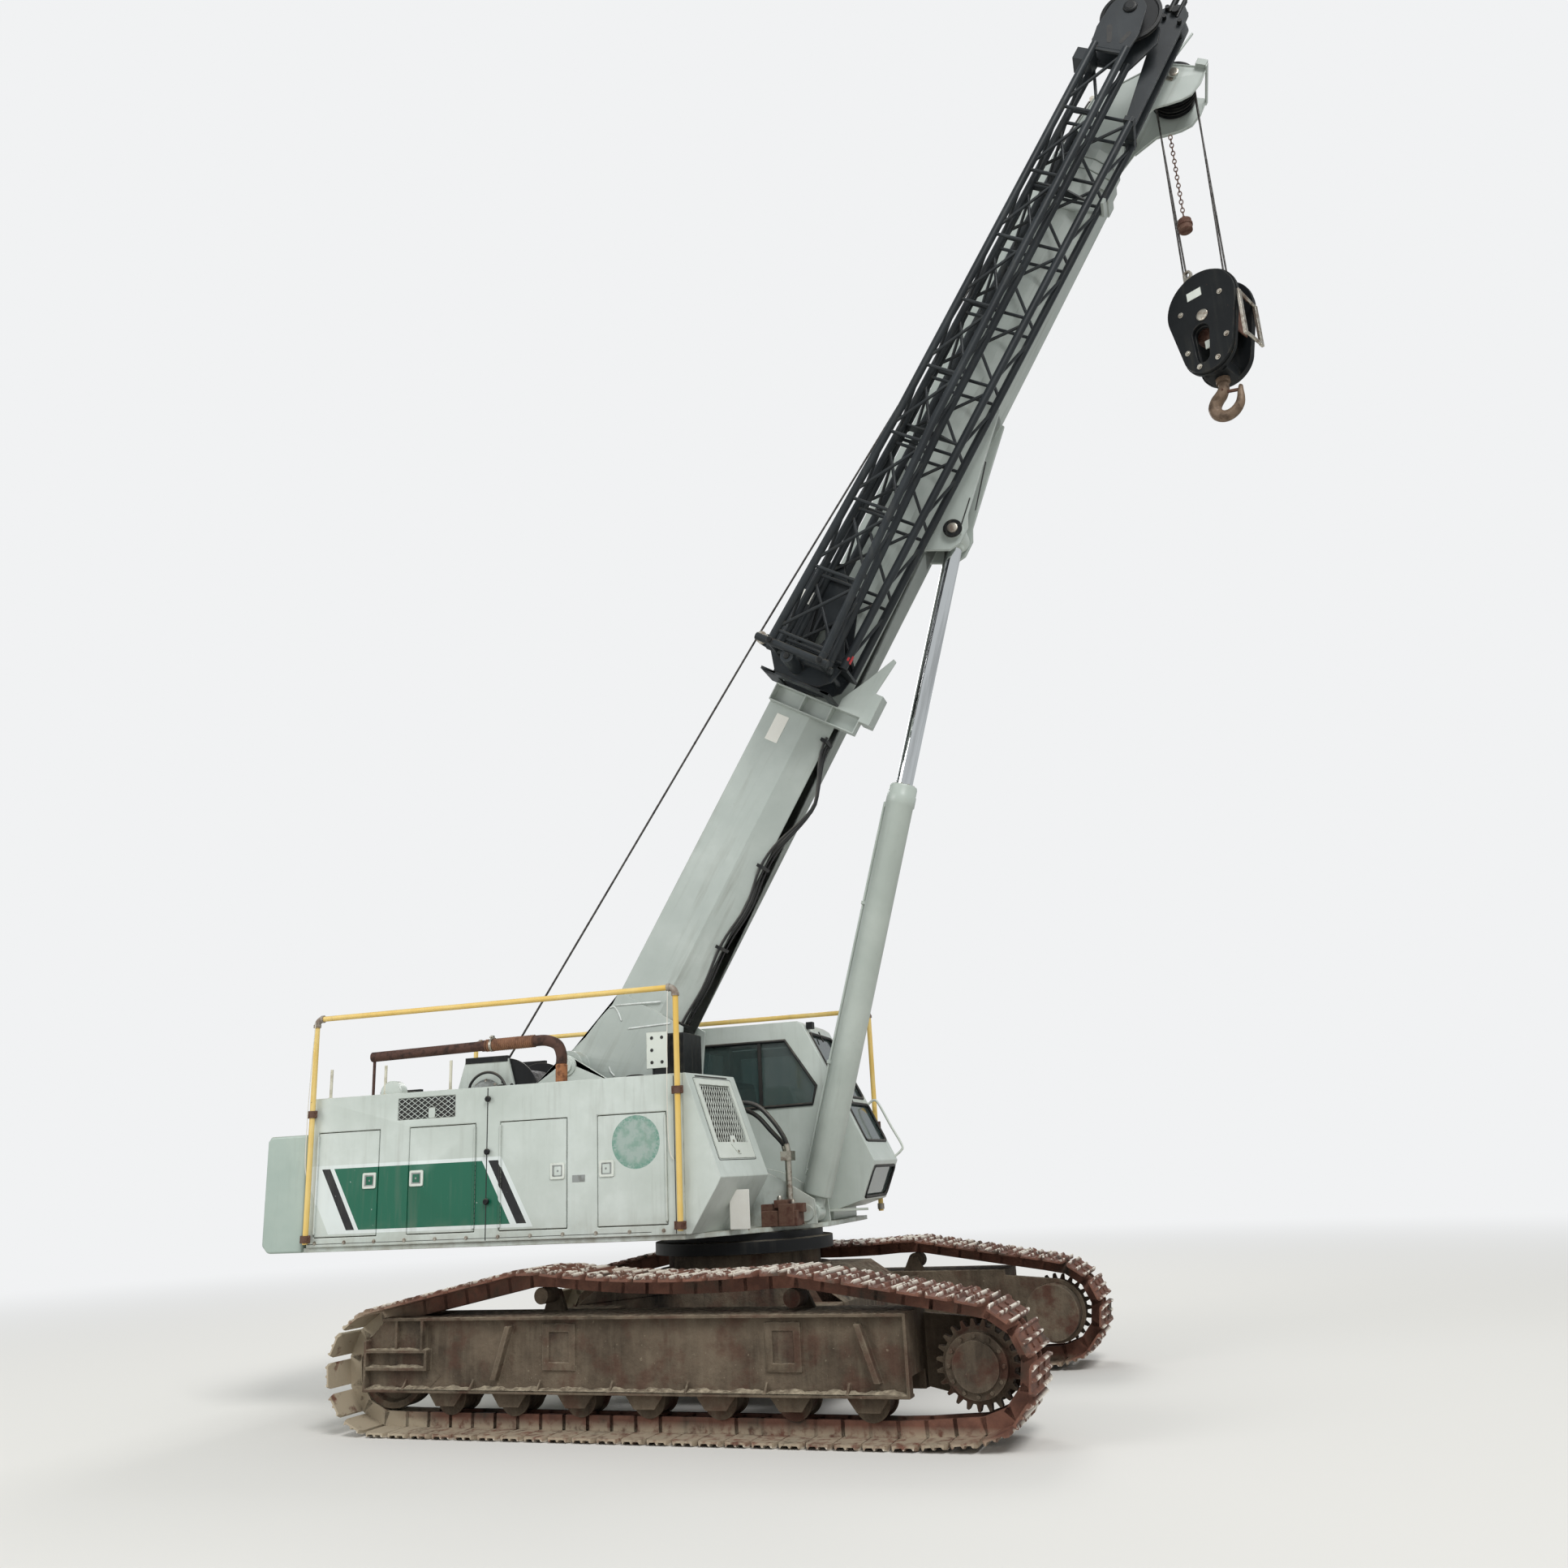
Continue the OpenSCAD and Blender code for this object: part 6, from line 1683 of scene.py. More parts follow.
        make("jib_sheave", wheel, BLACK_PAINT, "boom_base", slot="jib_paint")
        pins = pin_cap(x, z, -0.962, -1, 0.062, 0.02).join(
            bars([[x, -0.985, z], [11.11, -0.655, -0.665]], [[x, -0.715, z], [11.11, -0.375, -0.665]],
                 [0.038, 0.034], 24))
        for px, pz in ((4.05, -0.1), (4.05, -0.605), (3.985, -0.3)):
            pins.join(pin_cap(px, pz, -0.988 if px > 4 else -0.948, -1, 0.026, 0.016))
        for px, pz in ((11.02, -0.6), (11.12, -0.585), (11.0, -0.755)):
            pins.join(bars([px, -0.655, pz], [px, -0.375, pz], 0.02, 16))
        pins.join(bolts(ring_of((x, z), 0.052, 6, -0.962), (0, -1, 0), 0.01))
        red = boxes([[4.19, -0.672, -0.745], [4.205, -0.69, -0.725]],
                    [[4.265, -0.645, -0.68], [4.24, -0.67, -0.7]])
        make("jib_red_fitting", red, RED_PAINT, "boom_base", bevel=0.004)
        tag = boxes([4.56, -0.6445, -0.12], [4.68, -0.6405, 0.0])
        make("jib_tag", tag, NOTICE_WHITE, "boom_base", bevel=0.001)
        # Painted shade: dark shapes on the arm plate stand in for the shade inside its slots.
        slot_shade = prism(hull_outline([(10.39, -0.36, 0.022), (10.53, -0.3, 0.026)], 40), -0.9632, -0.961)
        slot_shade.join(prism(hull_outline([(10.4, -0.47, 0.018), (10.5, -0.5, 0.022)], 40), -0.9632, -0.961))
        make("jib_arm_slot_shade", slot_shade, RUBBER_AND_SHADE, "boom_base")
        for y in (-0.6, -0.43):
            pins.join(bars([[11.1, y, -0.615], [11.06, y, -0.7]], [[11.27, y, -0.615], [11.25, y, -0.7]],
                           [0.03, 0.024], 20))
            pins.join(bars([[11.27, y, -0.615], [11.25, y, -0.7]], [[11.31, y, -0.615], [11.29, y, -0.7]],
                           [0.02, 0.016], 20))
        make("jib_pins", pins, BLACK_PAINT, "boom_base", slot="drum_steel")


@dataclass(frozen=True)
class Boom:
    """What is fitted to the boom: welds, pin caps, head furniture, reel face and hoses."""

    lug_pin: tuple[float, float] = (5.83, -0.845)
    lug_face: float = 0.191
    reel_at: tuple[float, float] = (4.8, 0.18)
    reel_turns: int = 14
    coil: float = 0.192
    links: int = 20
    pitch: float = 0.046

    def bead(self, points: Points, y: float, radius: float = 0.007) -> Shape:
        """Returns a weld bead: a thin tube along points on a side face, sunk by half its radius."""
        line = np.array([(x, y, -below) for x, below in points])
        return tube(smooth_line(line, 8) if len(points) > 2 else line, radius, 8)

    def build(self) -> None:
        """Builds the foot's welds, the plates, the lug's slot and pins, then reel, head and hoses."""
        foot = Shape()
        for y in (-0.29, 0.29):
            for points in (((0.637, 0.073), (0.856, 0.441)), ((0.515, 0.282), (0.732, 0.613)),
                           ((0.593, 0.03), (0.618, 0.067), (0.59, 0.13), (0.543, 0.189)),
                           ((0.149, 0.283), (0.12, 0.32), (0.104, 0.369))):
                foot.join(self.bead(points, y))
        make("foot_welds", foot, WELD_WHITE, "boom_base")
        lug = prism([(6.555, -0.819), (6.548, -0.835), (6.082, -0.955), (6.072, -0.947)], -0.1635, -0.158)
        for y in (-0.163, 0.163):
            lug.join(self.bead([(6.171, 0.849), (5.898, 0.893)], y, 0.006))
        plate = boxes([3.355, -0.2755, -0.292], [3.615, -0.2715, -0.165])
        make("house_plate", boxes([-0.958, -1.2735, 1.716], [-0.852, -1.268, 1.767]), GREY_ZINC, bevel=0.001)
        make("boom_plate", plate, NOTICE_WHITE, "boom_base", bevel=0.001)
        make("lug_slot", lug, RUBBER_AND_SHADE, "boom_base")
        caps, rings = Shape(), Shape()
        x, z = self.lug_pin
        for out in (-1, 1):
            face = self.lug_face * out
            caps.join(pin_cap(x, z, face, out, 0.052, 0.03))
            rings.join(hoop([(0.05, face), (0.088, face), (0.088, 0.206 * out),
                             (0.082, 0.212 * out), (0.05, 0.212 * out)], (x, 0, z)))
        rings.join(bolts(ring_of((x, z), 0.069, 4, -0.212, 0.5), (0, -1, 0), 0.008, 0.006))
        make("lug_pins", caps, PIN_STEEL, "boom_base")
        make("lug_rings", rings, BLACK_PAINT, "boom_base")
        self.reel()
        self.head()
        self.hoses()

    def reel(self) -> None:
        """Builds the cable reel's pale face ring, hub cap, spokes and its last turns of cable."""
        x, z = self.reel_at
        face = pin_cap(x, z, 0.301, -1, 0.075, 0.03)
        a = np.arange(6) * np.pi / 3 + 0.3
        c, s = np.cos(a), np.sin(a)
        face.join(bars(stack(x + 0.11 * c, 0.297, z + 0.11 * s), stack(x + 0.3 * c, 0.297, z + 0.3 * s),
                       0.007, 8))
        make("reel_face", face, PIN_STEEL, "boom_base")
        t = np.linspace(0, self.reel_turns * 2 * np.pi, self.reel_turns * 36)
        coil = stack(x + self.coil * np.cos(t), 0.312 + 0.106 * t / t[-1], z + self.coil * np.sin(t))
        make("reel_cable", tube(coil, 0.0042, 8), HOSE_RUBBER, "boom_base")

    def head(self) -> None:
        """Builds the head's axle caps, cross bars, rims, rope guard and pad, then the limit switch."""
        caps = Shape()
        for out in (-1, 1):
            caps.join(pin_cap(10.814, -0.771, 0.234 * out, out, 0.048, 0.01))
            caps.join(boxes([10.74, min(0.2045 * out, 0.216 * out), -0.79],
                            [10.775, max(0.2045 * out, 0.216 * out), -0.66]))
            caps.join(bolts([(10.757, 0.216 * out, -0.77), (10.757, 0.216 * out, -0.68)], (0, out, 0), 0.01,
                            0.007))
        caps.join(bars([[10.82, -0.2, -0.53], [10.3, -0.2, -0.6]], [[10.82, 0.2, -0.53], [10.3, 0.2, -0.6]],
                       [0.014, 0.016], 16))
        make("head_pins", caps, PIN_STEEL, "boom_tip")
        rim = Shape()
        outline = np.array([(10.0, -0.1), (10.42, -0.15), (10.905, -0.6), (10.945, -1.035), (10.9, -1.045),
                            (10.77, -1.056), (10.64, -1.03), (10.56, -0.96), (10.49, -0.86), (10.43, -0.76),
                            (10.2, -0.64)])
        for y in (-0.206, 0.206):
            rim.join(tube(stack(outline[:, 0], y, outline[:, 1]), 0.009, 8))
        rim.join(boxes([[10.1, -0.16, -0.1], [10.925, -0.245, -1.052], [10.93, -0.25, -1.035]],
                       [[10.18, 0.16, -0.085], [10.962, 0.25, -1.036], [10.995, -0.17, -0.935]]))
        rim.join(bars([10.7, -0.218, -0.655], [11.27, -0.218, -0.762], 0.012, 12))
        make("head_rims", rim, BOOM_PAINT, "boom_tip", bevel=0.002)
        self.limit_switch()
        pad = boxes([10.18, -0.212, -0.33], [10.3, -0.2, -0.24])
        make("head_pad", pad, WHITE_PAINT, "boom_tip", bevel=0.003)

    def limit_switch(self) -> None:
        """Hangs the limit switch's weight on oval links of wire, each a quarter turn from the last."""
        hook = UPPER.put([4.7, -0.215, 10.86])
        rings, sides = 14, 6
        t = FULL * np.arange(rings) / rings
        oval = stack(0.016 * np.cos(t), 0 * t, 0.028 * np.sin(t))
        a = FULL * np.arange(sides) / sides
        out = stack(np.cos(t), 0 * t, np.sin(t))
        link = oval[:, None] + 0.0052 * (
            np.cos(a)[None, :, None] * out[:, None] + np.sin(a)[None, :, None] * np.array([0.0, 1.0, 0.0]))
        first, following, last = np.arange(sides), (np.arange(sides) + 1) % sides, (rings - 1) * sides
        faces = np.vstack([wrapped(rings, sides), stack(last + first, last + following, following, first)])
        chain = Shape()
        for k in range(self.links):
            points = link.reshape(-1, 3) @ (turned("Z", 90.0 * (k % 2)).T)
            chain.add(points + hook - [0, 0, self.pitch * (k + 0.5)], [faces])
        make("limit_chain", chain, RUSTY_CASTING, "hook_line")
        low = hook - [0, 0, self.pitch * self.links]
        weight = turned_shape([(HAIR, -0.17), (0.05, -0.17), (0.062, -0.16), (0.062, -0.05), (0.052, -0.04),
                               (0.03, -0.036), (0.012, 0.0), (HAIR, 0.004)], low, "Z", 32)
        weight.join(hoop([(0.061, -0.11), (0.069, -0.108), (0.069, -0.09), (0.061, -0.088)], low, "Z", 32))
        make("limit_weight", weight, RUSTY_CASTING, "hook_line", slot="hook_steel")

    def hoses(self) -> None:
        """Lays the hoses under the boom's belly; each sags between straps by the square of a sine."""
        held = Shape()
        straps = (0.76, 1.5, 2.3, 3.56)
        for number, (y, drop) in enumerate(((-0.21, 0.19), (-0.14, 0.17), (-0.07, 0.14)), 1):
            x = np.linspace(0.75, 3.6, 40)
            depth = drop * np.interp(x, (0.75, 1.5, 2.3, 3.0), (0.12, 0.15, 0.35, 1.0))
            phase = np.interp(x, straps, np.arange(4.0))
            line = stack(x, y + 0.012 * np.sin(x * 1.9 + number), -0.676 - depth * np.sin(np.pi * phase) ** 2)
            lay_cord(f"belly_hose_{number}", line, 0.0135, 12, "boom_base")
        for x in straps:
            held.join(boxes([x - 0.015, -0.245, -0.7], [x + 0.015, -0.04, -0.643]))
        make("belly_straps", held, BLACK_PAINT, "boom_base", bevel=0.002)


@dataclass(frozen=True)
class LiftCylinder:
    """Lift cylinder: painted barrel with its gland and feed pipe, and a chromed rod with a painted eye."""

    barrel: float = 0.121
    rod: float = 0.076
    length: float = 6.0988

    def build(self) -> None:
        """Turns the barrel and rod about their own axis and adds eyes, gland bolts, pipe and unions."""
        r, b = self.rod, self.barrel
        tube_shape = plug([(0.074, 0.05), (0.074, 0.125), (b - 0.004, 0.14), (b, 0.15), (b, 3.5),
                           (b + 0.009, 3.512), (b + 0.009, 3.598), (b + 0.003, 3.61), (b + 0.003, 3.668),
                           (b - 0.003, 3.69), (r + 0.0015, 3.69), (r + 0.0015, 3.61), (0.105, 3.61),
                           (0.105, 0.17)], (0, 0, 0), "X", 64)
        tube_shape.join(eye((0, 0), 0.079, 0.056, 0.1))
        make("lift_barrel_tube", tube_shape, LIFT_PAINT, "lift_barrel", replaces=["lift_barrel"])
        a = FULL * np.arange(10) / 10
        gland = stack(3.688, 0.099 * np.cos(a), 0.099 * np.sin(a))
        make("gland_bolts", bolts(gland, (1, 0, 0), 0.011, 0.01), PIN_STEEL, "lift_barrel")
        pipe = tube(smooth_line([(0.3, 0.06, 0.125), (0.31, 0.07, 0.15), (0.4, 0.072, 0.158),
                                 (1.9, 0.072, 0.158), (3.4, 0.072, 0.158), (3.5, 0.07, 0.15),
                                 (3.515, 0.06, 0.125)], 6), 0.013, 12)
        pipe.join(boxes([[0.27, 0.035, 0.11], [3.49, 0.035, 0.11], [1.2, 0.05, 0.108], [2.6, 0.05, 0.108]],
                        [[0.34, 0.085, 0.135], [3.54, 0.085, 0.135], [1.23, 0.094, 0.176],
                         [2.63, 0.094, 0.176]]))
        make("lift_pipe", pipe, LIFT_PAINT, "lift_barrel", bevel=0.002)
        bare = plug([(0.1035, 2.6), (0.1035, 2.69), (r, 2.692), (r, 5.995)], (0, 0, 0), "X", 64)
        make("lift_rod_chrome", bare, CHROME, "lift_rod", replaces=["lift_rod"])
        end = self.length
        head = plug([(r + 0.01, 5.98), (r + 0.016, 5.986), (r + 0.016, 6.02)], (0, 0, 0), "X", 48)
        head.join(eye((end, 0), 0.106, 0.056, 0.121))
        make("lift_rod_eye", head, LIFT_PAINT, "lift_rod", slot="drum_steel")


@dataclass(frozen=True)
class Ropes:
    """Wire ropes: four falls to the hook block and the rope from the winch over the boom."""

    reach: float = 0.1843
    spread: float = 0.04
    top: float = 2.713
    foot: float = 0.06
    foot_share: float = 0.24
    stations: tuple[tuple[float, float, float], ...] = (
        (-0.506, -0.15, 0.715), (4.2, -0.3, 0.354), (6.3, -0.24, 0.225), (8.4, -0.18, 0.095),
        (10.42, -0.12, -0.08))

    def winch_rope(self) -> None:
        """Builds the rope to the head in four stretches that ride on no body."""
        points = BOOM.put(np.array(self.stations))
        for number in range(4):
            part = make(f"winch_rope_{number + 1}", rope(points[number : number + 2], 0.01, 0.03), ROPE_STEEL,
                        None, sharp=60)
            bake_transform(part)
        down = [self.stations[-1], (10.6, -0.12, -0.278), (10.8, -0.12, -0.488), (10.948, -0.12, -0.6435)]
        make("winch_rope_5", rope(BOOM.put(down), 0.01, 0.03), ROPE_STEEL, "boom_tip", CRANE, sharp=60)
        roller = hoop([(0.012, -0.328), (0.055, -0.328), (0.055, -0.32), (0.032, -0.314), (0.032, -0.286),
                       (0.055, -0.28), (0.055, -0.272), (0.012, -0.272)], (4.2, 0, 0.312))
        roller.join(bars([4.2, -0.335, 0.312], [4.2, -0.255, 0.312], 0.0125, 16))
        make("rope_roller", roller, PIN_STEEL, "boom_base")
        bracket = prism([(4.08, -0.08), (4.34, -0.08), (4.25, 0.33), (4.22, 0.365), (4.18, 0.365),
                         (4.15, 0.33)], -0.2715, -0.26)
        make("roller_bracket", bracket, JIB_PAINT, "boom_base", bevel=0.002)
        guide = plug([(0.03, -0.182), (0.03, 0.182)], (10.42, 0, -0.122), segments=32)
        make("head_guide", guide, PIN_STEEL, "boom_tip")

    def build(self) -> None:
        """Builds each fall from the head sheaves down to the block's, turned 30 degrees at its foot."""
        self.winch_rope()
        spin = turned("Z", -30)
        for number, (x, y) in enumerate(((-1, -1), (-1, 1), (1, -1), (1, 1)), 1):
            low = spin @ np.array([x * self.reach, y * self.spread, self.foot])
            ends = HANG.put([low, [x * self.reach, y * self.spread, self.top]])
            fall = make(f"fall_{number}", rope(ends, 0.009, 0.022), ROPE_STEEL, None, sharp=60,
                        replaces=["hoist_ropes"] if number == 1 else ())
            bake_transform(fall)


@dataclass(frozen=True)
class HookBlock:
    """Hook block: rounded cheeks with windows, sheaves, blank plates, side straps and a forged hook."""

    axle: float = 0.06
    face: float = 0.196

    def build(self) -> None:
        """Builds the block's plates, straps and bolts, then the hook."""
        cheek = hull_outline([(0, 0.18, 0.34), (0, -0.27, 0.25)], 72)
        keyhole = hull_outline([(-0.04, -0.1, 0.068), (-0.05, -0.34, 0.05)], 72)
        sides = Shape()
        for low, high in ((-0.16, -0.12), (0.12, 0.16)):
            sides.join(frame_plate(cheek, keyhole, low, high))
        sides.join(boxes([-0.11, -0.119, -0.52], [0.11, 0.119, -0.41]))
        make("block_cheeks", sides, BLOCK_BLACK, "hook_block", bevel=0.005, replaces=["hook_block"])
        wheels = Shape()
        for y in (-0.04, 0.04):
            wheels.join(hoop([(0.05, y - 0.03), (0.09, y - 0.03), (0.1, y - 0.016), (0.17, y - 0.016),
                              (0.18, y - 0.024), (0.205, y - 0.026), (0.205, y - 0.021), (0.186, y - 0.008),
                              (0.184, y), (0.186, y + 0.008), (0.205, y + 0.021), (0.205, y + 0.026),
                              (0.18, y + 0.024), (0.17, y + 0.016), (0.1, y + 0.016), (0.09, y + 0.03),
                              (0.05, y + 0.03)], (0, 0, self.axle), segments=56))
        make("block_sheaves", wheels, RUSTY_CASTING, "hook_block", slot="black_steel")
        weights = Shape()
        lower = hull_outline([(0, 0.17, 0.332), (0, -0.265, 0.243)], 72)
        for y0, y1 in ((-self.face, -0.16), (0.16, self.face)):
            weights.join(frame_plate(lower, hull_outline([(-0.04, -0.1, 0.082), (-0.05, -0.34, 0.06)], 72),
                                     y0, y1))
        make("block_weights", weights, BLOCK_BLACK, "hook_block", bevel=0.006)
        steel = Shape()
        for out in (-1, 1):
            y = self.face * out
            steel.join(pin_cap(0, self.axle, y, out, 0.055, 0.012))
            steel.join(bolts([(0.19, y, 0.2), (-0.2, y, 0.17), (0.19, y, -0.24), (-0.19, y, -0.24),
                              (0.08, y, -0.42), (-0.1, y, -0.425)], (0, out, 0), 0.018, 0.014))
        steel.join(boxes([[0.325, -0.165, -0.3], [0.325, 0.115, -0.3]],
                         [[0.35, -0.115, 0.16], [0.35, 0.17, 0.12]]))
        steel.join(bars([[0.337, -0.14, 0.145], [0.337, -0.14, -0.28]],
                        [[0.337, 0.14, 0.105], [0.337, 0.14, -0.28]], 0.016, 14))
        steel.join(frame_plate(hull_outline([(-0.1, 0.575, 0.042), (-0.1, 0.46, 0.042)], 32),
                               hull_outline([(-0.1, 0.575, 0.022), (-0.1, 0.565, 0.022)], 32), -0.155,
                               -0.125))
        make("block_steel", steel, PIN_STEEL, "hook_block", bevel=0.002)
        plate = boxes([-0.115, -0.199, 0.262], [0.025, -0.1957, 0.345])
        plate.join(boxes([-0.045, -0.135, -0.245], [0.035, -0.125, -0.165]))
        make("block_plates", plate, WHITE_PAINT, "hook_block", slot="drum_steel", bevel=0.001)
        guard = boxes([0.235, -0.1, -0.18], [0.246, 0.1, 0.24])
        make("block_guard", guard, RUSTY_CASTING, "hook_block", slot="black_steel", bevel=0.003)
        self.hook()

    def hook(self) -> None:
        """Sweeps the forged hook: circles that swell from 43 mm to 59 mm at the back and taper to the tip."""
        line = smooth_line([(0, 0, -0.04), (-0.004, 0, -0.1), (-0.035, 0, -0.152), (-0.085, 0, -0.195),
                            (-0.113, 0, -0.25), (-0.099, 0, -0.312), (-0.05, 0, -0.357), (0.012, 0, -0.371),
                            (0.072, 0, -0.354), (0.118, 0, -0.31), (0.137, 0, -0.252), (0.143, 0, -0.195),
                            (0.152, 0, -0.145), (0.156, 0, -0.135)], 6)
        s = np.linspace(0, 1, 14)
        sizes = [0.043, 0.048, 0.056, 0.059, 0.058, 0.055, 0.052, 0.05, 0.047, 0.042, 0.034, 0.027, 0.018,
                 0.008]
        body = tube(line, np.interp(np.linspace(0, 1, len(line)), s, sizes), 28)
        body.join(plug([(0.046, -0.105), (0.046, -0.052), (0.062, -0.048), (0.062, -0.002), (0.058, 0.0)],
                       (0, 0, 0), "Z", 32))
        at = Place(tuple(HANG.put([0, 0, -0.5203])), turned("Z", -30))
        make("forged_hook", body, HOOK_STEEL, "hook", at, sharp=60, replaces=["hook"])
        latch = prism([(-0.01, -0.145), (0.01, -0.125), (0.15, -0.17), (0.135, -0.19)], -0.012, 0.012)
        latch.join(bars([0.0, -0.052, -0.13], [0.0, 0.052, -0.13], 0.01, 12))
        make("hook_latch", latch, RUSTY_CASTING, "hook", at, bevel=0.002)


# ---------------------------------------------------------------- winches and cab


@dataclass(frozen=True)
class Winches:
    """Both winch drums with their wound rope, and the hubs, motors and hoses on the frames."""

    drums: tuple[tuple[str, float, float], ...] = (("main_drum", -2.08, 2.47), ("second_drum", -2.95, 2.23))
    half: float = 0.3
    turns: int = 30
    wound: float = 0.24
    rope: float = 0.0098

    def build(self) -> None:
        """Winds a rope on each drum, a helix whose turns touch, then adds bolts, hub, motor and hose."""
        for name, x, z in self.drums:
            t = np.linspace(0, self.turns * 2 * np.pi, self.turns * 40)
            y = -self.half + 0.01 + (2 * self.half - 0.02) * t / t[-1]
            layer = stack(x + self.wound * np.sin(t), y, z + self.wound * np.cos(t))
            make(f"{name}_rope", tube(layer, self.rope, 8), ROPE_STEEL, name, sharp=60)
            hubs = Shape()
            for out in (-1, 1):
                hubs.join(bolts(ring_of((x, z), 0.2, 10, 0.3305 * out), (0, out, 0), 0.013))
            make(f"{name}_bolts", hubs, PIN_STEEL, name)
            caps = Shape()
            for out in (-1, 1):
                caps.join(pin_cap(x, z, 0.372 * out, out, 0.1, 0.05)).join(
                    bolts(ring_of((x, z), 0.125, 8, 0.3715 * out), (0, out, 0), 0.012))
                low, high = sorted((0.336 * out, 0.379 * out))
                caps.join(boxes([x - 0.376, low, z + 0.3], [x + 0.046, high, z + 0.352]))
            make(f"{name}_hubs", caps, BLACK_PAINT, bevel=0.003)
            axis_x, axis_z = x - 0.16, z + 0.015
            motor = plug([(0.14, -0.371), (0.14, -0.385), (0.118, -0.392), (0.112, -0.44), (0.06, -0.452),
                          (0.05, -0.5)], (axis_x, 0, axis_z))
            make(f"{name}_motor", motor, GREY_ZINC)
            make(f"{name}_motor_bolts", bolts(ring_of((axis_x, axis_z), 0.128, 8, -0.385), (0, -1, 0),
                                              0.011), PIN_STEEL)
            around = np.linspace(math.radians(-35), math.radians(190), 30)
            bulge = np.clip(np.sin(np.linspace(0, np.pi, 30)) * 2, 0, 1)
            line = stack(x - 0.12 + 0.19 * np.cos(around), -0.386 - 0.05 * bulge,
                         z + 0.02 + 0.19 * np.sin(around))
            lay_cord(f"{name}_hose", line, 0.012, 12)
            make(f"{name}_unions", bars([line[0], line[-1]],
                                        [line[0] + [0.01, 0.02, -0.02], line[-1] + [0, 0.02, -0.02]], 0.018,
                                        12), PIN_STEEL)


@dataclass(frozen=True)
class Cab:
    """Driver's cab: gaskets, grab rail, wiper, lamp, lip and door handle."""

    near: float = 0.335
    far: float = 1.25
    windows: tuple[tuple[tuple[float, float], tuple[float, float], float], ...] = (
        ((0.96, 1.475), (1.062, 1.725), 0.056), ((1.0, 1.94), (0.846, 2.268), 0.07),
        ((0.818, 2.324), (0.535, 2.89), 0.09))

    def build(self) -> None:
        """Builds the gaskets round the panes, then the rail, wiper, lamp, lip and handle."""
        pane = np.array([(-0.46, 2.83), (0.33, 2.83), (0.6, 2.42), (0.56, 2.27), (-0.06, 2.26),
                         (-0.46, 2.18)])
        line = np.vstack([pane, pane[:1]])
        gasket = tube(stack(line[:, 0], self.near - 0.004, line[:, 1]), 0.014, 10)
        gasket.join(boxes([0.075, self.near - 0.012, 2.262], [0.105, self.near + 0.004, 2.828]))
        make("side_gasket", gasket, RUBBER_AND_SHADE)
        rims = Shape()
        for (x0, z0), (x1, z1), inset in self.windows:
            slope = np.array([x1 - x0, 0.0, z1 - z0])
            length = np.linalg.norm(slope)
            ring = oblong(0.0, self.near + inset, length, self.far - inset, 0.045)
            ring = np.vstack([ring, ring[:1]])
            line = ([x0, 0.0, z0] + ring[:, :1] * slope / length
                    + ring[:, 1:] * np.array([0.0, 1.0, 0.0]))
            rims.join(tube(line, 0.013, 10))
        make("front_gaskets", rims, RUBBER_AND_SHADE)
        y = self.far - 0.03
        bar = tube(smooth_line([(0.835, y, 2.27), (0.9, y, 2.31), (0.945, y, 2.27), (1.04, y, 2.08),
                                (1.135, y, 1.9), (1.125, y, 1.85), (1.06, y, 1.8)], 8), 0.011, 12)
        make("cab_grab_rail", bar, WHITE_PAINT)
        lamp = boxes([0.515, 0.4, 2.925], [0.575, 0.47, 2.985])
        wiper = bars([[0.852, 0.6, 2.275], [0.575, 0.74, 2.83]], [[0.705, 0.78, 2.58], [0.52, 0.8, 2.93]],
                     [0.008, 0.006], 8)
        make("cab_wiper", wiper.join(lamp), BLACK_PAINT, bevel=0.002)
        lip = boxes([0.2, self.near - 0.02, 1.372], [1.0, self.near + 0.004, 1.392])
        make("cab_lip", lip, WHITE_PAINT, bevel=0.002)
        handle = boxes([-0.4, self.far, 1.98], [-0.36, self.far + 0.05, 2.0]).join(
            boxes([-0.4, self.far + 0.04, 1.8], [-0.36, self.far + 0.055, 2.0]))
        handle.join(boxes([-0.4, self.far, 1.8], [-0.36, self.far + 0.05, 1.82]))
        make("cab_door_handle", handle, BLACK_PAINT, "cab_door", bevel=0.003)


# ---------------------------------------------------------------- studio


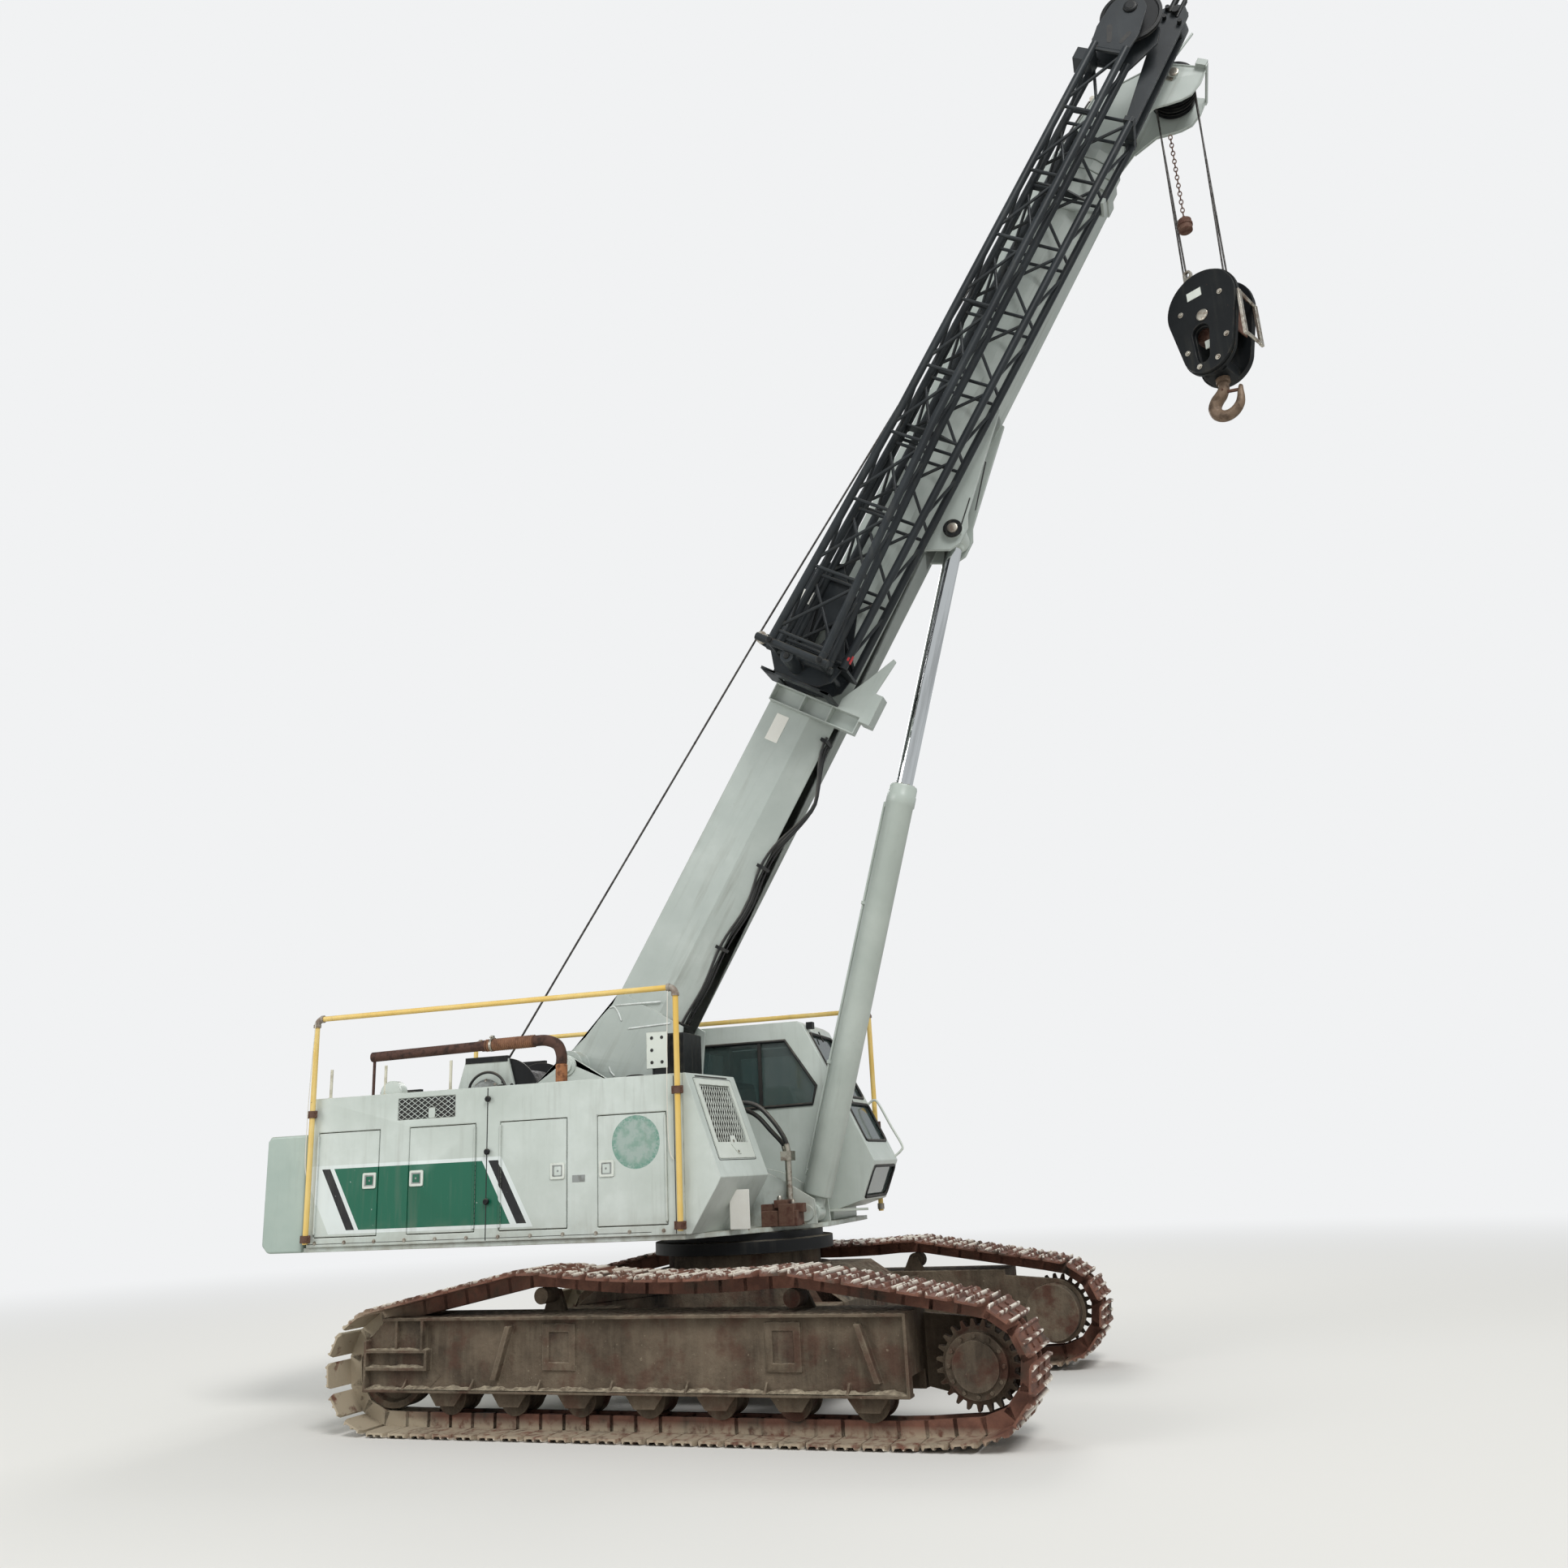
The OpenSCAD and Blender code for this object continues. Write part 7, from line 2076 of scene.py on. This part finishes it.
@dataclass(frozen=True)
class Studio:
    """The camera at the photograph's view, with a pale floor and soft lights."""

    camera_at: tuple[float, float, float] = (3.007, -10.713, 1.729)
    yaw: float = -16.45
    pitch: float = 16.8
    roll: float = -2.83
    lens: float = 29.31

    def camera(self) -> Thing:
        """Sets the camera: it looks along yaw and pitch, and its picture turns by the roll."""
        yaw, pitch, roll = (math.radians(v) for v in (self.yaw, self.pitch, self.roll))
        ahead = np.array([math.sin(yaw) * math.cos(pitch), math.cos(yaw) * math.cos(pitch), math.sin(pitch)])
        right = np.array([math.cos(yaw), -math.sin(yaw), 0.0])
        up = np.cross(right, ahead)
        across = right * math.cos(roll) + up * math.sin(roll)
        upward = -right * math.sin(roll) + up * math.cos(roll)
        data = bpy.data.cameras.new("view")
        data.lens, data.sensor_width, data.clip_end = self.lens, 36.0, 200.0
        made = bpy.data.objects.new("view", data)
        made.matrix_world = Matrix.Translation(self.camera_at) @ Matrix(
            stack(across, upward, -ahead).tolist()).to_4x4()
        bpy.context.scene.collection.objects.link(made)
        bpy.context.scene.camera = made
        return made

    def lamp(self, name: str, at: Sequence[float], aim: Sequence[float], size: float, power: float) -> Thing:
        """Hangs one square soft light.

        Args:
            name: Its name.
            at: Where it hangs.
            aim: Where it looks.
            size: Length of its side.
            power: Watts.

        Returns:
            The light.
        """
        data = bpy.data.lights.new(name, "AREA")
        data.size, data.energy = size, power
        made = bpy.data.objects.new(name, data)
        toward = (Vector(aim) - Vector(at)).to_track_quat("-Z", "Y")
        made.matrix_world = Matrix.Translation(at) @ toward.to_matrix().to_4x4()
        bpy.context.scene.collection.objects.link(made)
        return made

    def floor(self) -> Thing:
        """Lays the pale floor out to 60 metres round the crane."""
        mesh = bpy.data.meshes.new("floor")
        mesh.from_pydata([(-60, -60, 0), (60, -60, 0), (60, 60, 0), (-60, 60, 0)], [], [(0, 1, 2, 3)])
        made = bpy.data.objects.new("floor", mesh)
        bpy.context.scene.collection.objects.link(made)
        dress(made, StudioFloor("pale_studio_floor"))
        return made

    def world(self) -> None:
        """Sets a white sky that lights softly and shows white to the camera."""
        world = bpy.data.worlds.new("studio")
        bpy.context.scene.world = world
        world.use_nodes = True
        world.node_tree.nodes.clear()
        mix = Layers(world.node_tree)
        path = mix.add("LightPath").outputs["Is Camera Ray"]
        light = mix.add("Background", {"Color": "E9EDF0", "Strength": 0.62}).outputs[0]
        seen = mix.add("Background", {"Color": BACKDROP, "Strength": 1.0}).outputs[0]
        both = mix.add("MixShader", {0: path, 1: light, 2: seen}).outputs[0]
        mix.add("OutputWorld", {"Surface": both})

    def build(self) -> None:
        """Puts up the whole studio."""
        bpy.context.scene.view_settings.view_transform = "Standard"
        self.camera()
        self.world()
        self.floor()
        self.lamp("key", (18.0, -24.0, 32.0), (0.0, 0.0, 5.0), 14.0, 10500)
        self.lamp("fill", (-22.0, -20.0, 15.0), (0.0, 0.0, 4.0), 14.0, 3000)
        self.lamp("rim", (-4.0, 14.0, 15.0), (0.0, 0.0, 4.0), 8.0, 1100)


# ---------------------------------------------------------------- all of it

ROUNDED: tuple[tuple[Finish, float, tuple[str, ...]], ...] = (
    (CARBODY_MUD, 0.006, ("carbody",)),
    (BLACK_PAINT, 0.004, ("slew_ring",)),
    (FRAME_MUD, 0.006, ("track_frame_left", "track_frame_right")),
    (ROLLER_MUD, 0.004, ("sprocket_left", "sprocket_right")),
    (ROLLER_MUD, 0.006, ("idler_left", "idler_right")),
    (ROLLER_MUD, 0.004, ("rollers_left", "rollers_right")),
    (DECK_PAINT, 0.004, ("deck",)),
    (PALE_PAINT, 0.02, ("counterweight",)),
    (HOUSE_PAINT, 0.008, ("engine_house",)),
    (PAINT, 0.008, ("tank_house",)),
    (BLACK_PAINT, 0.006, ("engine",)),
    (PAINT, 0.006, ("nose_cowl",)),
    (BLACK_PAINT, 0.003, ("oil_cooler",)),
    (PAINT, 0.004, ("winch_frames",)),
    (BLACK_PAINT, 0.004, ("main_drum", "second_drum")),
    (PAINT, 0.008, ("cab_shell",)),
    (GLASS, 0.001, ("cab_glass",)),
    (VINYL, 0.012, ("operator_seat",)),
    (PAINT, 0.004, ("cab_door",)),
    (GLASS, 0.001, ("cab_door_glass",)),
    (HOUSE_PAINT, 0.005, tuple(f"service_door_{number}" for number in range(1, 5))),
    (BOOM_PAINT, 0.008, ("boom_base",)),
    (BOOM_PAINT, 0.006, ("boom_middle_1", "boom_middle_2", "boom_tip")),
    (BLACK_PAINT, 0.003, ("head_sheaves", "cable_reel")),
    (BOOM_PAINT, 0.004, ("jib_carrier",)),
)
ASSEMBLIES = (TrackRun("track_left", 1.613), TrackRun("track_right", -1.613), FrameSoil("left_frame", 1),
              FrameSoil("right_frame", -1), EngineHouse(), DeckFittings(), GuardRails(), Exhaust(), Nose(),
              Jib(), Boom(), LiftCylinder(), Ropes(), HookBlock(), Winches(), Cab())


def main() -> None:
    """Builds the studio and every piece."""
    logging.basicConfig(level=logging.INFO, format="%(message)s")
    Studio().build()
    for finish, width, nodes in ROUNDED:
        for node in nodes:
            made = round_node(node, finish, width)
    for assembly in ASSEMBLIES:
        assembly.build()


if __name__ == "__main__":
    main()
